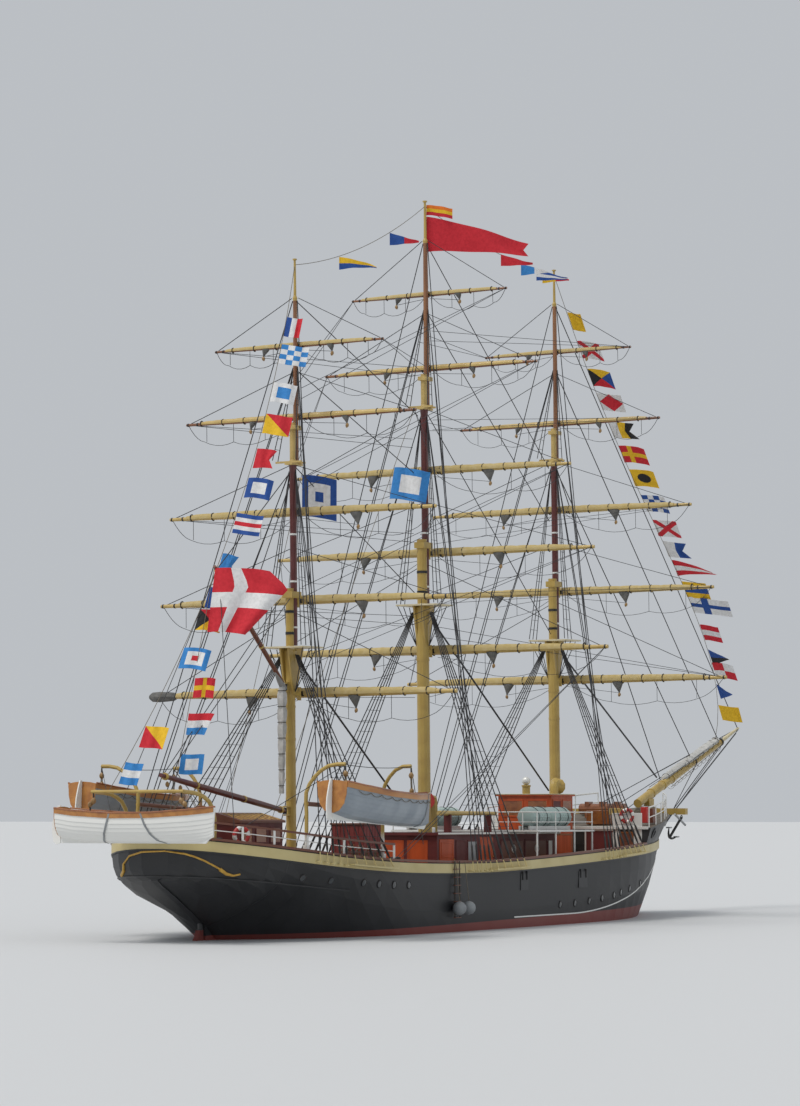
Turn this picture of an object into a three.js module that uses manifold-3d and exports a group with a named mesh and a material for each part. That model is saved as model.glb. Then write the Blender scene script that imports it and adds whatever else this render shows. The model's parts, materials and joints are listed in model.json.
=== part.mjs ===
// A three-masted full-rigged sailing ship, moored with its sails furled, as a half-size model.
// Every size below is the full-size ship's, in metres; the last lines scale the whole group to the model's millimetres.
// +X points to the bow, +Y to port, +Z up. The origin is on the centreline, amidships, at the waterline.
import * as THREE from "three";
import { mergeVertices } from "three/addons/utils/BufferGeometryUtils.js";
import Module from "manifold-3d";

const wasm = await Module();
wasm.setup();

const MODEL_SCALE = 1 / 2;
const MILLIMETRES_PER_METRE = 1000;

// Clearances
const GAP = 0.002; // between pieces that rest on each other
const RUNNING_GAP = 0.014; // between pieces that move past each other at a pivot
const DECK_GAP = 0.008; // under a house or rail that follows the deck's or the sheer's curve

// Hull
const HALF_BEAM = 4.25;
const STERN_X = -21.3; // after end of the counter
const RUN_X = -9; // where the deck starts to narrow aft
const RUN_LENGTH = 12.35;
const ENTRANCE_X = 6; // where the deck starts to narrow forward
const ENTRANCE_LENGTH = 14.5;
const STEM_X = 20.45; // fore end of the sheer line
const SHEER_LOW_X = -4;
const SHEER_LOW_Z = 2.57;
const DEADWOOD_HALF = 0.13;
const STERNPOST_X = -18.1;
const BULWARK = 0.12; // thickness

// Decks, each as a depth below the sheer line
const DECK_THICKNESS = 0.05;
const MAIN_DECK_DEPTH = 0.9;
const QUARTERDECK_DEPTH = 0.35;
const BREAK_X = -9.3; // step between quarterdeck and main deck
const FORECASTLE_X = 11.7;
const FORECASTLE_END_X = 20.9;

// Rails
const CAP_RAIL = { inboard: 0.2, outboard: 0.05, height: 0.09 };
const HAND_RAIL = { height: 0.65, width: 0.1, depth: 0.07, post: 0.05 };

const MATERIALS = {
  hull: { color: 0x24262a, roughness: 0.5 },
  deck: { color: 0xa98a62, roughness: 0.8 },
  varnish: { color: 0x8a4a22, roughness: 0.35 },
  teak: { color: 0x5a2a1c, roughness: 0.5 },
  white: { color: 0xe6e6e0, roughness: 0.45 },
  buff: { color: 0xd8b35e, roughness: 0.45 },
  redbrown: { color: 0x5c2222, roughness: 0.45 },
  canvas: { color: 0xc9c2ae, roughness: 0.9 },
  canister: { color: 0xb9cac4, roughness: 0.5 },
  wire: { color: 0x1c1c1e, roughness: 0.7 },
  antifouling: { color: 0x7d2f26, roughness: 0.6 },
  bronze: { color: 0x9a7a3a, roughness: 0.3, metalness: 0.9 },
};

const clamp = (value, low, high) => Math.min(high, Math.max(low, value));
const mix = (a, b, t) => a + (b - a) * t;
const radians = THREE.MathUtils.degToRad;

// Geometry helpers

// A closed loft through rings of points, each ring listed in the same order, with a flat fan at both ends.
function loft(rings) {
  const sides = rings[0].length;
  const positions = rings.flat(2);
  const faces = [];
  for (let i = 0; i + 1 < rings.length; i++)
    for (let j = 0; j < sides; j++) {
      const next = (j + 1) % sides;
      const [a, b] = [i * sides + j, i * sides + next];
      const [c, d] = [a + sides, b + sides];
      faces.push(a, c, b, b, c, d);
    }
  const last = (rings.length - 1) * sides;
  for (let j = 1; j + 1 < sides; j++) faces.push(0, j, j + 1, last, last + j + 1, last + j);
  const geometry = new THREE.BufferGeometry();
  geometry.setAttribute("position", new THREE.Float32BufferAttribute(positions, 3));
  geometry.setIndex(faces);
  return outward(geometry);
}

// The same geometry with its faces pointing outwards.
function outward(geometry) {
  const p = geometry.getAttribute("position");
  const index = geometry.index.array;
  const [a, b, c] = [new THREE.Vector3(), new THREE.Vector3(), new THREE.Vector3()];
  let volume = 0;
  for (let i = 0; i < index.length; i += 3) {
    a.fromBufferAttribute(p, index[i]);
    b.fromBufferAttribute(p, index[i + 1]);
    c.fromBufferAttribute(p, index[i + 2]);
    volume += a.dot(b.cross(c));
  }
  if (volume < 0)
    for (let i = 0; i < index.length; i += 3) [index[i + 1], index[i + 2]] = [index[i + 2], index[i + 1]];
  return geometry;
}

// A box given by its lowest and highest corners.
function box(low, high) {
  const size = high.map((value, i) => value - low[i]);
  const centre = high.map((value, i) => (value + low[i]) / 2);
  return new THREE.BoxGeometry(...size).translate(...centre);
}

// A straight round bar between two points, tapering from one radius to another.
function bar(from, to, radius, sides = 6, endRadius = radius) {
  const start = new THREE.Vector3(...from);
  const way = new THREE.Vector3(...to).sub(start);
  const geometry = new THREE.CylinderGeometry(endRadius, radius, way.length(), sides);
  geometry.translate(0, way.length() / 2, 0);
  const turn = new THREE.Quaternion().setFromUnitVectors(new THREE.Vector3(0, 1, 0), way.normalize());
  return geometry.applyQuaternion(turn).translate(...from);
}

// A round rod along a line of points that runs more or less level.
function rod(points, radius, sides) {
  const line = points.map((p) => new THREE.Vector3(...p));
  return loft(
    line.map((p, i) => {
      const way = line[Math.min(i + 1, line.length - 1)].clone().sub(line[Math.max(i - 1, 0)]);
      const across = new THREE.Vector3(0, 0, 1).cross(way).normalize();
      const up = way.cross(across).normalize();
      return Array.from({ length: sides }, (_, k) => {
        const angle = (2 * Math.PI * (k + 0.5)) / sides;
        const place = p.clone().addScaledVector(across, radius * Math.cos(angle));
        return place.addScaledVector(up, radius * Math.sin(angle)).toArray();
      });
    }),
  );
}

// A round tube along a smooth curve through points.
function tube(points, radius, sides, steps) {
  const curve = new THREE.CatmullRomCurve3(points.map((p) => new THREE.Vector3(...p)));
  const section = new THREE.Shape();
  for (let i = 0; i < sides; i++) {
    const angle = (2 * Math.PI * i) / sides;
    const place = [radius * Math.cos(angle), radius * Math.sin(angle)];
    if (i) section.lineTo(...place);
    else section.moveTo(...place);
  }
  section.closePath();
  return new THREE.ExtrudeGeometry(section, { steps, extrudePath: curve, bevelEnabled: false });
}

// A solid of revolution about the vertical, from [radius, height] pairs that start and end on the axis.
function turned(profile, sides = 12) {
  const points = profile.map(([radius, height]) => new THREE.Vector2(radius, height));
  return new THREE.LatheGeometry(points, sides).rotateX(Math.PI / 2);
}

// A flat plate cut to an outline of [x, z] points, standing in the centre plane.
function plate(outline, thickness) {
  const shape = new THREE.Shape(outline.map(([x, z]) => new THREE.Vector2(x, z)));
  const geometry = new THREE.ExtrudeGeometry(shape, { depth: thickness, bevelEnabled: false });
  return geometry.translate(0, 0, -thickness / 2).rotateX(Math.PI / 2);
}

function solid(geometry) {
  const plain = new THREE.BufferGeometry();
  plain.setAttribute("position", geometry.getAttribute("position").clone());
  if (geometry.index) plain.setIndex(geometry.index.clone());
  const merged = mergeVertices(plain, 1e-5);
  const vertProperties = merged.attributes.position.array;
  const triVerts = new Uint32Array(merged.index.array);
  return new wasm.Manifold(new wasm.Mesh({ numProp: 3, vertProperties, triVerts }));
}

function geometryOf(body) {
  const { vertProperties, triVerts } = body.getMesh();
  const geometry = new THREE.BufferGeometry();
  geometry.setAttribute("position", new THREE.BufferAttribute(vertProperties, 3));
  return geometry.setIndex(new THREE.BufferAttribute(triVerts, 1));
}

const join = (...pieces) => geometryOf(pieces.map(solid).reduce((a, b) => a.add(b)));
const cut = (piece, ...tools) => geometryOf(tools.map(solid).reduce((a, b) => a.subtract(b), solid(piece)));

const ship = new THREE.Group();

function add(name, material, geometry, parent = ship) {
  const mesh = new THREE.Mesh(geometry, new THREE.MeshStandardMaterial(MATERIALS[material]));
  mesh.name = name;
  parent.add(mesh);
  return mesh;
}

// Hull form

// Top edge of the sheer strake.
function sheer(x) {
  const d = x - SHEER_LOW_X;
  return SHEER_LOW_Z + (d < 0 ? 0.86 * (-d / 16.25) ** 2.6 : 0.85 * (d / 21.5) ** 1.3);
}

// Half-breadth of the hull at the sheer.
function halfBreadth(x) {
  const aft = clamp((RUN_X - x) / RUN_LENGTH, 0, 1);
  const fore = clamp((x - ENTRANCE_X) / ENTRANCE_LENGTH, 0, 1);
  return Math.max(DEADWOOD_HALF, HALF_BEAM * Math.sqrt(1 - aft ** 4) * (1 - fore ** 2.4));
}

// Stations from stern to stem. keel: lowest point. tuck: where the body meets the deadwood.
// power, root and lift shape the section between the tuck and the sheer.
const STATIONS = [
  // x, keel, tuck, power, root, lift
  [STERN_X, 2.12, 2.16, 8, 0.6, 1],
  [-21.1, 2.0, 2.04, 7, 0.6, 1],
  [-20.7, 1.8, 1.84, 5.5, 0.6, 1],
  [-20, 1.46, 1.5, 4.2, 0.6, 1],
  [-19, 0.93, 0.97, 3.1, 0.7, 1.05],
  [-18.2, 0.48, 0.52, 2.5, 0.8, 1.15],
  [STERNPOST_X, -3.7, 0.45, 2.4, 0.8, 1.2],
  [-17, -3.71, -0.35, 2, 0.9, 1.25],
  [-15.6, -3.72, -1.4, 1.9, 0.95, 1.2],
  [-13.6, -3.73, -2.4, 2.1, 0.92, 1.12],
  [-11, -3.74, -3.1, 2.7, 0.86, 1],
  [-7, -3.75, -3.5, 3.5, 0.78, 1],
  [-2, -3.75, -3.6, 4, 0.75, 1],
  [3, -3.75, -3.6, 3.8, 0.76, 1],
  [7, -3.75, -3.6, 3.1, 0.82, 1],
  [10.5, -3.72, -3.55, 2.4, 0.9, 1],
  [13, -3.62, -3.45, 1.9, 0.96, 1],
  [15.2, -3.35, -3.2, 1.5, 1, 1.02],
  [16.8, -2.85, -2.75, 1.25, 1, 1.05],
  [17.9, -2.0, -1.95, 1.1, 1, 1.1],
  [18.6, -0.95, -0.9, 1, 1, 1.1],
  [19.1, 0.3, 0.34, 1, 1, 1.1],
  [19.8, 1.95, 1.99, 1, 1, 1.05],
  [STEM_X, 3.4, 3.44, 1, 1, 1],
].map(([x, keel, tuck, power, root, lift]) => ({ x, keel, tuck, power, root, lift }));

function station(x) {
  const next = clamp(
    STATIONS.findIndex((s) => s.x >= x),
    1,
    STATIONS.length - 1,
  );
  const [a, b] = [STATIONS[next - 1], STATIONS[next]];
  const t = clamp((x - a.x) / (b.x - a.x), 0, 1);
  return Object.fromEntries(Object.keys(a).map((key) => [key, mix(a[key], b[key], t)]));
}

// Half-breadth of the hull's skin at a height.
function skin(x, z) {
  const s = station(x);
  const rise = clamp((z - s.tuck) / (sheer(x) - s.tuck), 0, 1) ** s.lift;
  return DEADWOOD_HALF + (halfBreadth(x) - DEADWOOD_HALF) * (1 - (1 - rise) ** s.power) ** s.root;
}

// A ring across the ship from one side's list of [half-breadth, height], lowest first.
const acrossRing = (x, side) => [
  ...side.map(([y, z]) => [x, -y, z]),
  ...side.toReversed().map(([y, z]) => [x, y, z]),
];

const HULL_LEVELS = [0, 0.05, 0.14, 0.26, 0.4, 0.55, 0.7, 0.85, 1]; // heights of the skin's points, tuck to sheer
const DECK_STEP = 1.4; // longest stretch of deck between sections

function deckStations(from, to) {
  const count = Math.ceil((to - from) / DECK_STEP);
  return Array.from({ length: count + 1 }, (_, i) => mix(from, to, i / count));
}

function hullRing(x) {
  const { keel, tuck } = station(x);
  const side = HULL_LEVELS.map((u) => mix(tuck, sheer(x), u)).map((z) => [skin(x, z), z]);
  return acrossRing(x, [[DEADWOOD_HALF, keel], ...side]);
}

// The stations, with more sections between those that stand far apart.
const HULL_SECTIONS = STATIONS.slice(1)
  .flatMap((s, i) => deckStations(STATIONS[i].x, s.x).slice(1))
  .toSpliced(0, 0, STERN_X);

// The space over a deck, out to the inner face of the bulwarks.
function deckWell(from, to, depth) {
  const above = 1;
  return loft(
    deckStations(from, to).map((x) => {
      const floor = sheer(x) - depth - DECK_THICKNESS - GAP;
      return acrossRing(x, [
        [skin(x, floor) - BULWARK, floor],
        [skin(x, sheer(x)) - BULWARK, sheer(x)],
        [skin(x, sheer(x)) - BULWARK, sheer(x) + above],
      ]);
    }),
  );
}

// Deck planking between the bulwarks.
function deck(from, to, depth) {
  const xs = deckStations(from, to);
  return loft(
    xs.map((x, i) => {
      const top = sheer(x) - depth;
      const half = skin(x, top - DECK_THICKNESS - GAP) - BULWARK - 2 * GAP;
      const inset = (i === 0 ? GAP : 0) - (i === xs.length - 1 ? GAP : 0);
      return acrossRing(x + inset, [
        [half, top - DECK_THICKNESS],
        [half, top],
      ]);
    }),
  );
}

const PROPELLER = { x: -17.45, z: -1.9, radius: 0.72 };
const APERTURE = { fore: -17.05, aft: -17.85, low: -2.75, high: -1.05 };
const RUDDER_AXIS_X = -18.33;
const STOCK = { radius: 0.09, top: 0.95 };
const WELL_AFT_X = -20.85;

function buildHull() {
  const outer = loft(HULL_SECTIONS.map(hullRing));
  const aperture = box([APERTURE.aft, -1, APERTURE.low], [APERTURE.fore, 1, APERTURE.high]);
  const stockBore = bar([RUDDER_AXIS_X, 0, 0], [RUDDER_AXIS_X, 0, STOCK.top + GAP], STOCK.radius + RUNNING_GAP, 12);
  add(
    "hull",
    "hull",
    cut(
      outer,
      deckWell(BREAK_X, FORECASTLE_X, MAIN_DECK_DEPTH),
      deckWell(WELL_AFT_X, BREAK_X, QUARTERDECK_DEPTH),
      aperture,
      stockBore,
    ),
  );
  add("main_deck", "deck", deck(BREAK_X, FORECASTLE_X, MAIN_DECK_DEPTH));
  add("quarterdeck", "deck", deck(WELL_AFT_X, BREAK_X, QUARTERDECK_DEPTH));
}

// Forecastle: a raised deck over plated, flared bulwarks.
const FORECASTLE_TOP = { aft: 3.85, fore: 4.8 };
const FORECASTLE_RAIL = { height: 0.85, fore: 18.6, inset: 0.12, posts: 7 };

const forecastleTop = (x) =>
  mix(FORECASTLE_TOP.aft, FORECASTLE_TOP.fore, (x - FORECASTLE_X) / (FORECASTLE_END_X - FORECASTLE_X));

// Half-breadth of the forecastle's flared top edge.
function forecastleHalf(x) {
  const fore = clamp((x - ENTRANCE_X) / (FORECASTLE_END_X + 0.1 - ENTRANCE_X), 0, 1);
  return HALF_BEAM * (1 - fore ** 3);
}

function forecastleRail(side) {
  const { height, fore, inset, posts } = FORECASTLE_RAIL;
  const feet = Array.from({ length: posts }, (_, i) => {
    const x = mix(FORECASTLE_X + inset, fore, i / (posts - 1));
    return [x, side * (forecastleHalf(x) - inset), forecastleTop(x)];
  });
  const raised = (up) => feet.map(([x, y, z]) => [x, y, z + up]);
  return [
    ...feet.map(([x, y, z]) => bar([x, y, z - 0.04], [x, y, z + height], 0.026, 5)),
    rod(raised(height), 0.034, 6),
    rod(raised(height / 2), 0.022, 6),
  ];
}

function buildForecastle() {
  const xs = [FORECASTLE_X, 13.5, 15, 16.5, 17.7, 18.7, 19.5, 20.1, STEM_X];
  const rings = xs.map((x) =>
    acrossRing(x, [
      [halfBreadth(x), sheer(x) + GAP],
      [forecastleHalf(x), forecastleTop(x)],
    ]),
  );
  const head = acrossRing(FORECASTLE_END_X, [
    [0.1, 4.45],
    [forecastleHalf(FORECASTLE_END_X) + 0.08, FORECASTLE_TOP.fore],
  ]);
  const catheads = [-1, 1].map((side) =>
    loft(
      [
        [18.4, 0.8],
        [17.9, 3.05],
      ].map(([x, y]) => [
        [x - 0.14, side * y, 4.42],
        [x + 0.14, side * y, 4.42],
        [x + 0.14, side * y, 4.7],
        [x - 0.14, side * y, 4.7],
      ]),
    ),
  );
  add("forecastle", "hull", join(loft([...rings, head]), ...catheads, ...forecastleRail(-1), ...forecastleRail(1)));
}

// The line of the rails: points down one side, round the counter and up the other, with outward directions.
function railLine(foreX) {
  const side = deckStations(RUN_X, foreX).toReversed().slice(0, -1);
  const sideLine = side.map((x) => {
    const slope = (halfBreadth(x + 0.01) - halfBreadth(x - 0.01)) / 0.02;
    const length = Math.hypot(1, slope);
    return { x, y: -halfBreadth(x), nx: -slope / length, ny: -1 / length };
  });
  const steps = 15;
  const stern = Array.from({ length: steps }, (_, i) => {
    const angle = (Math.PI * (i + 0.5)) / (2 * steps);
    return { x: RUN_X - RUN_LENGTH * Math.sqrt(Math.sin(angle)), y: -HALF_BEAM * Math.cos(angle) };
  }).map((p) => {
    const along = Math.min(1, (RUN_X - p.x) / RUN_LENGTH);
    const [nx, ny] = [(-4 * along ** 3) / RUN_LENGTH, (2 * p.y) / HALF_BEAM ** 2];
    const length = Math.hypot(nx, ny);
    return { ...p, nx: nx / length, ny: ny / length };
  });
  const starboard = [...sideLine, ...stern];
  const port = starboard.toReversed().map((p) => ({ ...p, y: -p.y, ny: -p.ny }));
  return [...starboard, ...port];
}

// A rectangular bar that follows the rail line.
function railBar(line, outboard, inboard, low, high) {
  return loft(
    line.map(({ x, y, nx, ny }) => [
      [x + nx * outboard, y + ny * outboard, sheer(x) + low],
      [x + nx * outboard, y + ny * outboard, sheer(x) + high],
      [x - nx * inboard, y - ny * inboard, sheer(x) + high],
      [x - nx * inboard, y - ny * inboard, sheer(x) + low],
    ]),
  );
}

function buildRails() {
  const { inboard, outboard, height } = CAP_RAIL;
  add("cap_rail", "teak", railBar(railLine(FORECASTLE_X - 0.03), outboard, inboard, DECK_GAP, height));
  const line = railLine(BREAK_X + 0.2);
  const half = HAND_RAIL.width / 2;
  const inset = 0.07;
  const top = railBar(line, half - inset, half + inset, HAND_RAIL.height - HAND_RAIL.depth, HAND_RAIL.height);
  const posts = line
    .filter((_, i) => i % 2 === 0)
    .map(({ x, y, nx, ny }) => {
      const [px, py] = [x - nx * inset, y - ny * inset];
      return bar([px, py, sheer(x) + height + 2 * DECK_GAP], [px, py, sheer(x) + HAND_RAIL.height - 0.02], HAND_RAIL.post, 4);
    });
  add("quarterdeck_rail", "white", join(top, ...posts));
}

// A house on deck: its foot follows the deck, its top follows another line.
function house(from, to, half, depth, topAt) {
  return loft(
    deckStations(from, to).map((x) =>
      acrossRing(x, [
        [half, sheer(x) - depth + DECK_GAP],
        [half, topAt(x)],
      ]),
    ),
  );
}

// A cowl ventilator: a pipe with a bell mouth that faces along +X or -X.
function ventilator(x, y, foot, top, facing) {
  const radius = 0.2;
  const bell = 0.34;
  const neck = top - bell - 0.05;
  const pipe = tube(
    [
      [x, y, foot],
      [x, y, mix(foot, neck, 0.6)],
      [x, y, neck],
      [x + facing * 0.12, y, neck + 0.22],
      [x + facing * 0.34, y, top - bell],
    ],
    radius,
    10,
    10,
  );
  return [pipe, bar([x + facing * 0.26, y, top - bell], [x + facing * 0.44, y, top - bell], radius * 0.9, 10, bell)];
}

const DECKHOUSE = { aft: -4.1, fore: 6.6, half: 1.9, roof: 3.6, roofOverhang: 0.14, roofThickness: 0.1 };
const SPARE_SPAR = { aft: -3.35, fore: 1.6, z: 4.45, beds: [-2.6, 0.9] };
const RAFT_DECK = { aft: 1.9, fore: 7.3, half: 3.35, z: 3.52, thickness: 0.08, rail: 0.8 };
const CANISTER = { radius: 0.42, length: 1.75, y: 2.55 };
const FORE_HOUSE = { aft: 7.6, fore: 9.7, half: 1.25, top: 5.2 };
const DOOR = { width: 1.24, height: 1.66, thickness: 0.06, sill: 0.12, recess: 0.08 };
const DOORS = [
  // name, x of the hinge edge
  ["deckhouse_door_aft", -3.9],
  ["deckhouse_door_fore", -0.48],
];

function buildDoor(name, hingeX) {
  const sill = sheer(hingeX) - MAIN_DECK_DEPTH + DOOR.sill + GAP;
  const gap = RUNNING_GAP;
  const face = -DECKHOUSE.half - 0.02;
  add(
    name,
    "varnish",
    box(
      [hingeX + gap, face, sill + gap],
      [hingeX + DOOR.width - gap, face + DOOR.thickness, sill + DOOR.height - gap],
    ),
  );
}

function buildMidshipHouse() {
  const { aft, fore, half, roof, roofOverhang, roofThickness } = DECKHOUSE;
  const walls = house(aft, fore, half, MAIN_DECK_DEPTH, () => roof);
  const roofSlab = box(
    [aft - roofOverhang, -half - roofOverhang, roof - 0.01],
    [fore + roofOverhang, half + roofOverhang, roof + roofThickness],
  );
  const recesses = DOORS.map(([, hingeX]) => {
    const sill = sheer(hingeX) - MAIN_DECK_DEPTH + DOOR.sill;
    return box([hingeX, -half - 1, sill], [hingeX + DOOR.width, -half + DOOR.recess, sill + DOOR.height]);
  });
  const mastHole = bar([-1.5, 0, 0], [-1.5, 0, 5], 0.42, 16);
  const vent = ventilator(0.9, 0.9, roof, 5.3, -1);
  const sparBeds = SPARE_SPAR.beds.map((x) => box([x - 0.05, -1.75, roof], [x + 0.05, -1.45, SPARE_SPAR.z - 0.05]));
  const spar = bar([SPARE_SPAR.aft, -1.6, SPARE_SPAR.z], [SPARE_SPAR.fore, -1.6, SPARE_SPAR.z], 0.1, 10, 0.07);
  add("midship_deckhouse", "redbrown", cut(join(walls, roofSlab, ...vent, ...sparBeds, spar), ...recesses, mastHole));
  for (const [name, hingeX] of DOORS) buildDoor(name, hingeX);
}

// The raft deck spans the deckhouse roof out to both sides on stanchions, and carries the life raft canisters.
function buildRaftDeck() {
  const { aft, fore, half, z, thickness, rail } = RAFT_DECK;
  const over = DECKHOUSE.roof + DECKHOUSE.roofThickness + GAP;
  const slab = box([aft, -half, over], [fore, half, over + thickness]);
  const pieces = [slab];
  const xs = [aft + 0.06, mix(aft, fore, 1 / 3), mix(aft, fore, 2 / 3), fore - 0.06];
  for (const side of [-1, 1]) {
    const y = side * (half - 0.06);
    for (const x of xs) {
      pieces.push(bar([x, y, sheer(x) - MAIN_DECK_DEPTH + DECK_GAP], [x, y, over + 0.02], 0.045, 6));
      pieces.push(bar([x, y, over + 0.03], [x, y, over + rail], 0.025, 5));
    }
    for (const [up, radius] of [
      [rail, 0.032],
      [rail / 2, 0.022],
    ])
      pieces.push(bar([xs[0] - 0.05, y, over + up], [xs[3] + 0.05, y, over + up], radius, 6));
  }
  const { radius, length } = CANISTER;
  const [front, gap] = [over + thickness, 0.25];
  for (const side of [-1, 1]) {
    const y = side * CANISTER.y;
    for (const i of [0, 1]) {
      const start = aft + 0.45 + i * (length + gap);
      const profile = [
        [0, 0],
        [radius * 0.6, 0],
        [radius, 0.16],
        [radius, length - 0.16],
        [radius * 0.6, length],
        [0, length],
      ];
      pieces.push(
        turned(profile, 14)
          .rotateY(Math.PI / 2)
          .translate(start, y, front + 0.1 + radius),
      );
    }
    pieces.push(box([aft + 0.4, y - 0.25, front - 0.02], [aft + 0.5 + 2 * length + gap, y + 0.25, front + 0.17]));
  }
  add("raft_deck", "teak", join(...pieces));
}

function buildForeHouse() {
  const { aft, fore, half, top } = FORE_HOUSE;
  const walls = house(aft, fore, half, MAIN_DECK_DEPTH, () => top);
  const lid = box([aft - 0.08, -half - 0.08, top - 0.01], [fore + 0.08, half + 0.08, top + 0.06]);
  const vent = ventilator(8.7, -0.85, top, 5.95, 1);
  add("fore_house", "varnish", join(walls, lid, ...vent));
}

const AFT_HOUSE = { aft: -17.3, fore: -14.3, half: 0.95, top: 4.35 };
const WHEEL = { x: -18.35, z: 4.1, radius: 0.56, spokes: 8, boxAft: -19.35 };

function buildAfterDeck() {
  const { aft, fore, half, top } = AFT_HOUSE;
  const walls = house(aft, fore, half, QUARTERDECK_DEPTH, () => top - 0.25);
  const ridge = loft(
    [aft - 0.08, fore + 0.08].map((x) => [
      [x, -half - 0.08, top - 0.26],
      [x, -half - 0.08, top - 0.18],
      [x, 0, top + 0.1],
      [x, half + 0.08, top - 0.18],
      [x, half + 0.08, top - 0.26],
    ]),
  );
  add("aft_house", "varnish", join(walls, ridge));
  const gear = house(WHEEL.boxAft, WHEEL.x - 0.16, 0.32, QUARTERDECK_DEPTH, () => WHEEL.z + 0.14);
  const spindle = bar([WHEEL.x - 0.2, 0, WHEEL.z], [WHEEL.x - 0.06, 0, WHEEL.z], 0.07, 10);
  add("steering_gear", "white", join(gear, spindle));
  const rim = new THREE.TorusGeometry(WHEEL.radius, 0.045, 6, 24).rotateY(Math.PI / 2);
  const hub = bar([-0.06 + RUNNING_GAP, 0, 0], [0.08, 0, 0], 0.1, 12);
  const spokes = Array.from({ length: WHEEL.spokes }, (_, i) => {
    const angle = (2 * Math.PI * i) / WHEEL.spokes;
    const reach = WHEEL.radius + 0.16;
    return bar([0.01, 0, 0], [0.01, reach * Math.cos(angle), reach * Math.sin(angle)], 0.026, 5);
  });
  const wheel = add("steering_wheel", "varnish", join(rim, hub, ...spokes));
  wheel.position.set(WHEEL.x, 0, WHEEL.z);
}

function buildRudderAndPropeller() {
  const blade = plate(
    [
      [-0.95, -3.62],
      [-1.2, -3.1],
      [-1.12, -0.9],
      [-0.3, 0.1],
      [-0.16, 0.36],
      [0.06, 0.36],
      [0.06, -3.62],
    ],
    0.18,
  );
  const stock = bar([0, 0, 0.2], [0, 0, STOCK.top - RUNNING_GAP], STOCK.radius, 12);
  add("rudder", "antifouling", join(blade, stock)).position.set(RUDDER_AXIS_X, 0, 0);
  const hub = turned(
    [
      [0, PROPELLER.x - APERTURE.fore + RUNNING_GAP],
      [0.13, PROPELLER.x - APERTURE.fore + RUNNING_GAP],
      [0.13, 0.1],
      [0, 0.22],
    ],
    12,
  ).rotateY(-Math.PI / 2);
  const bladeCount = 3;
  const blades = Array.from({ length: bladeCount }, (_, i) =>
    loft(
      [
        // distance from the shaft, half-width, pitch angle
        [0.06, 0.12, 55],
        [0.35, 0.24, 35],
        [0.6, 0.24, 24],
        [PROPELLER.radius, 0.1, 20],
      ].map(([out, half, pitch]) => {
        const [c, s] = [Math.cos(radians(pitch)), Math.sin(radians(pitch))];
        const thick = 0.02;
        return [
          [-half * s - thick * c, -half * c + thick * s, out],
          [-half * s + thick * c, -half * c - thick * s, out],
          [half * s + thick * c, half * c - thick * s, out],
          [half * s - thick * c, half * c + thick * s, out],
        ];
      }),
    ).rotateX((2 * Math.PI * i) / bladeCount),
  );
  add("propeller", "bronze", join(hub, ...blades)).position.set(PROPELLER.x, 0, PROPELLER.z);
}

const WINDLASS = { x: 15.6, half: 1.1, drum: 0.24, z: 0.42 };

function buildWindlass() {
  const foot = (x) => forecastleTop(x) + DECK_GAP;
  const centre = forecastleTop(WINDLASS.x) + WINDLASS.z;
  const drum = bar([WINDLASS.x, -WINDLASS.half, centre], [WINDLASS.x, WINDLASS.half, centre], WINDLASS.drum, 12);
  const cheeks = [-0.8, -0.1, 0.6].map((y) =>
    box([WINDLASS.x - 0.22, y, foot(WINDLASS.x + 0.22)], [WINDLASS.x + 0.22, y + 0.2, centre + 0.32]),
  );
  add("windlass", "wire", join(drum, ...cheeks));
}

// Masts. Every mast rakes aft a little; heights are above the waterline and run along the raked mast.
const RAKE = 0.02;
const RAKE_CENTRE_Z = 10;
const LOWER_AHEAD = -0.17; // each mast section stands this far ahead of the mast's mean line
const TOPMAST_AHEAD = 0.14;
const TOPGALLANT_AHEAD = 0.39;
const MASTS = [
  // name, x, deck depth, top, cap, crosstrees, topmast cap, royal band, truck, lower, topmast and pole radius,
  // foremost shroud's foot ahead of the mast
  ["mizzen", -12.0, QUARTERDECK_DEPTH, 10.5, 12.6, 17.4, 18.8, 23.5, 25.08, 0.185, 0.13, 0.09, -0.45],
  ["main", -1.46, MAIN_DECK_DEPTH, 12.7, 15.25, 20.7, 21.95, 27.4, 29.13, 0.25, 0.145, 0.105, -0.1],
  ["fore", 10.69, MAIN_DECK_DEPTH, 11.9, 14.5, 19.8, 21.1, 26.6, 28.22, 0.23, 0.14, 0.1, -0.1],
].map(([name, x, depth, top, cap, trees, topmastCap, royal, truck, lower, topmast, pole, firstShroud]) => ({
  name,
  x,
  foot: Math.max(sheer(x - lower), sheer(x + lower)) - depth + 2 * DECK_GAP,
  firstShroud,
  top,
  cap,
  trees,
  topmastCap,
  royal,
  truck,
  lower,
  topmast,
  pole,
}));

const TOP = { half: 0.9, aft: -0.75, fore: 0.75, thickness: 0.06 };
const CHEEK = { depth: 1.7, foot: 0.12, aft: 0.62, fore: 0.5, thickness: 0.07, apart: 0.17 }; // brackets under a top
const CAP = { height: 0.24, half: 0.22, ahead: 0.06 };

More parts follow.
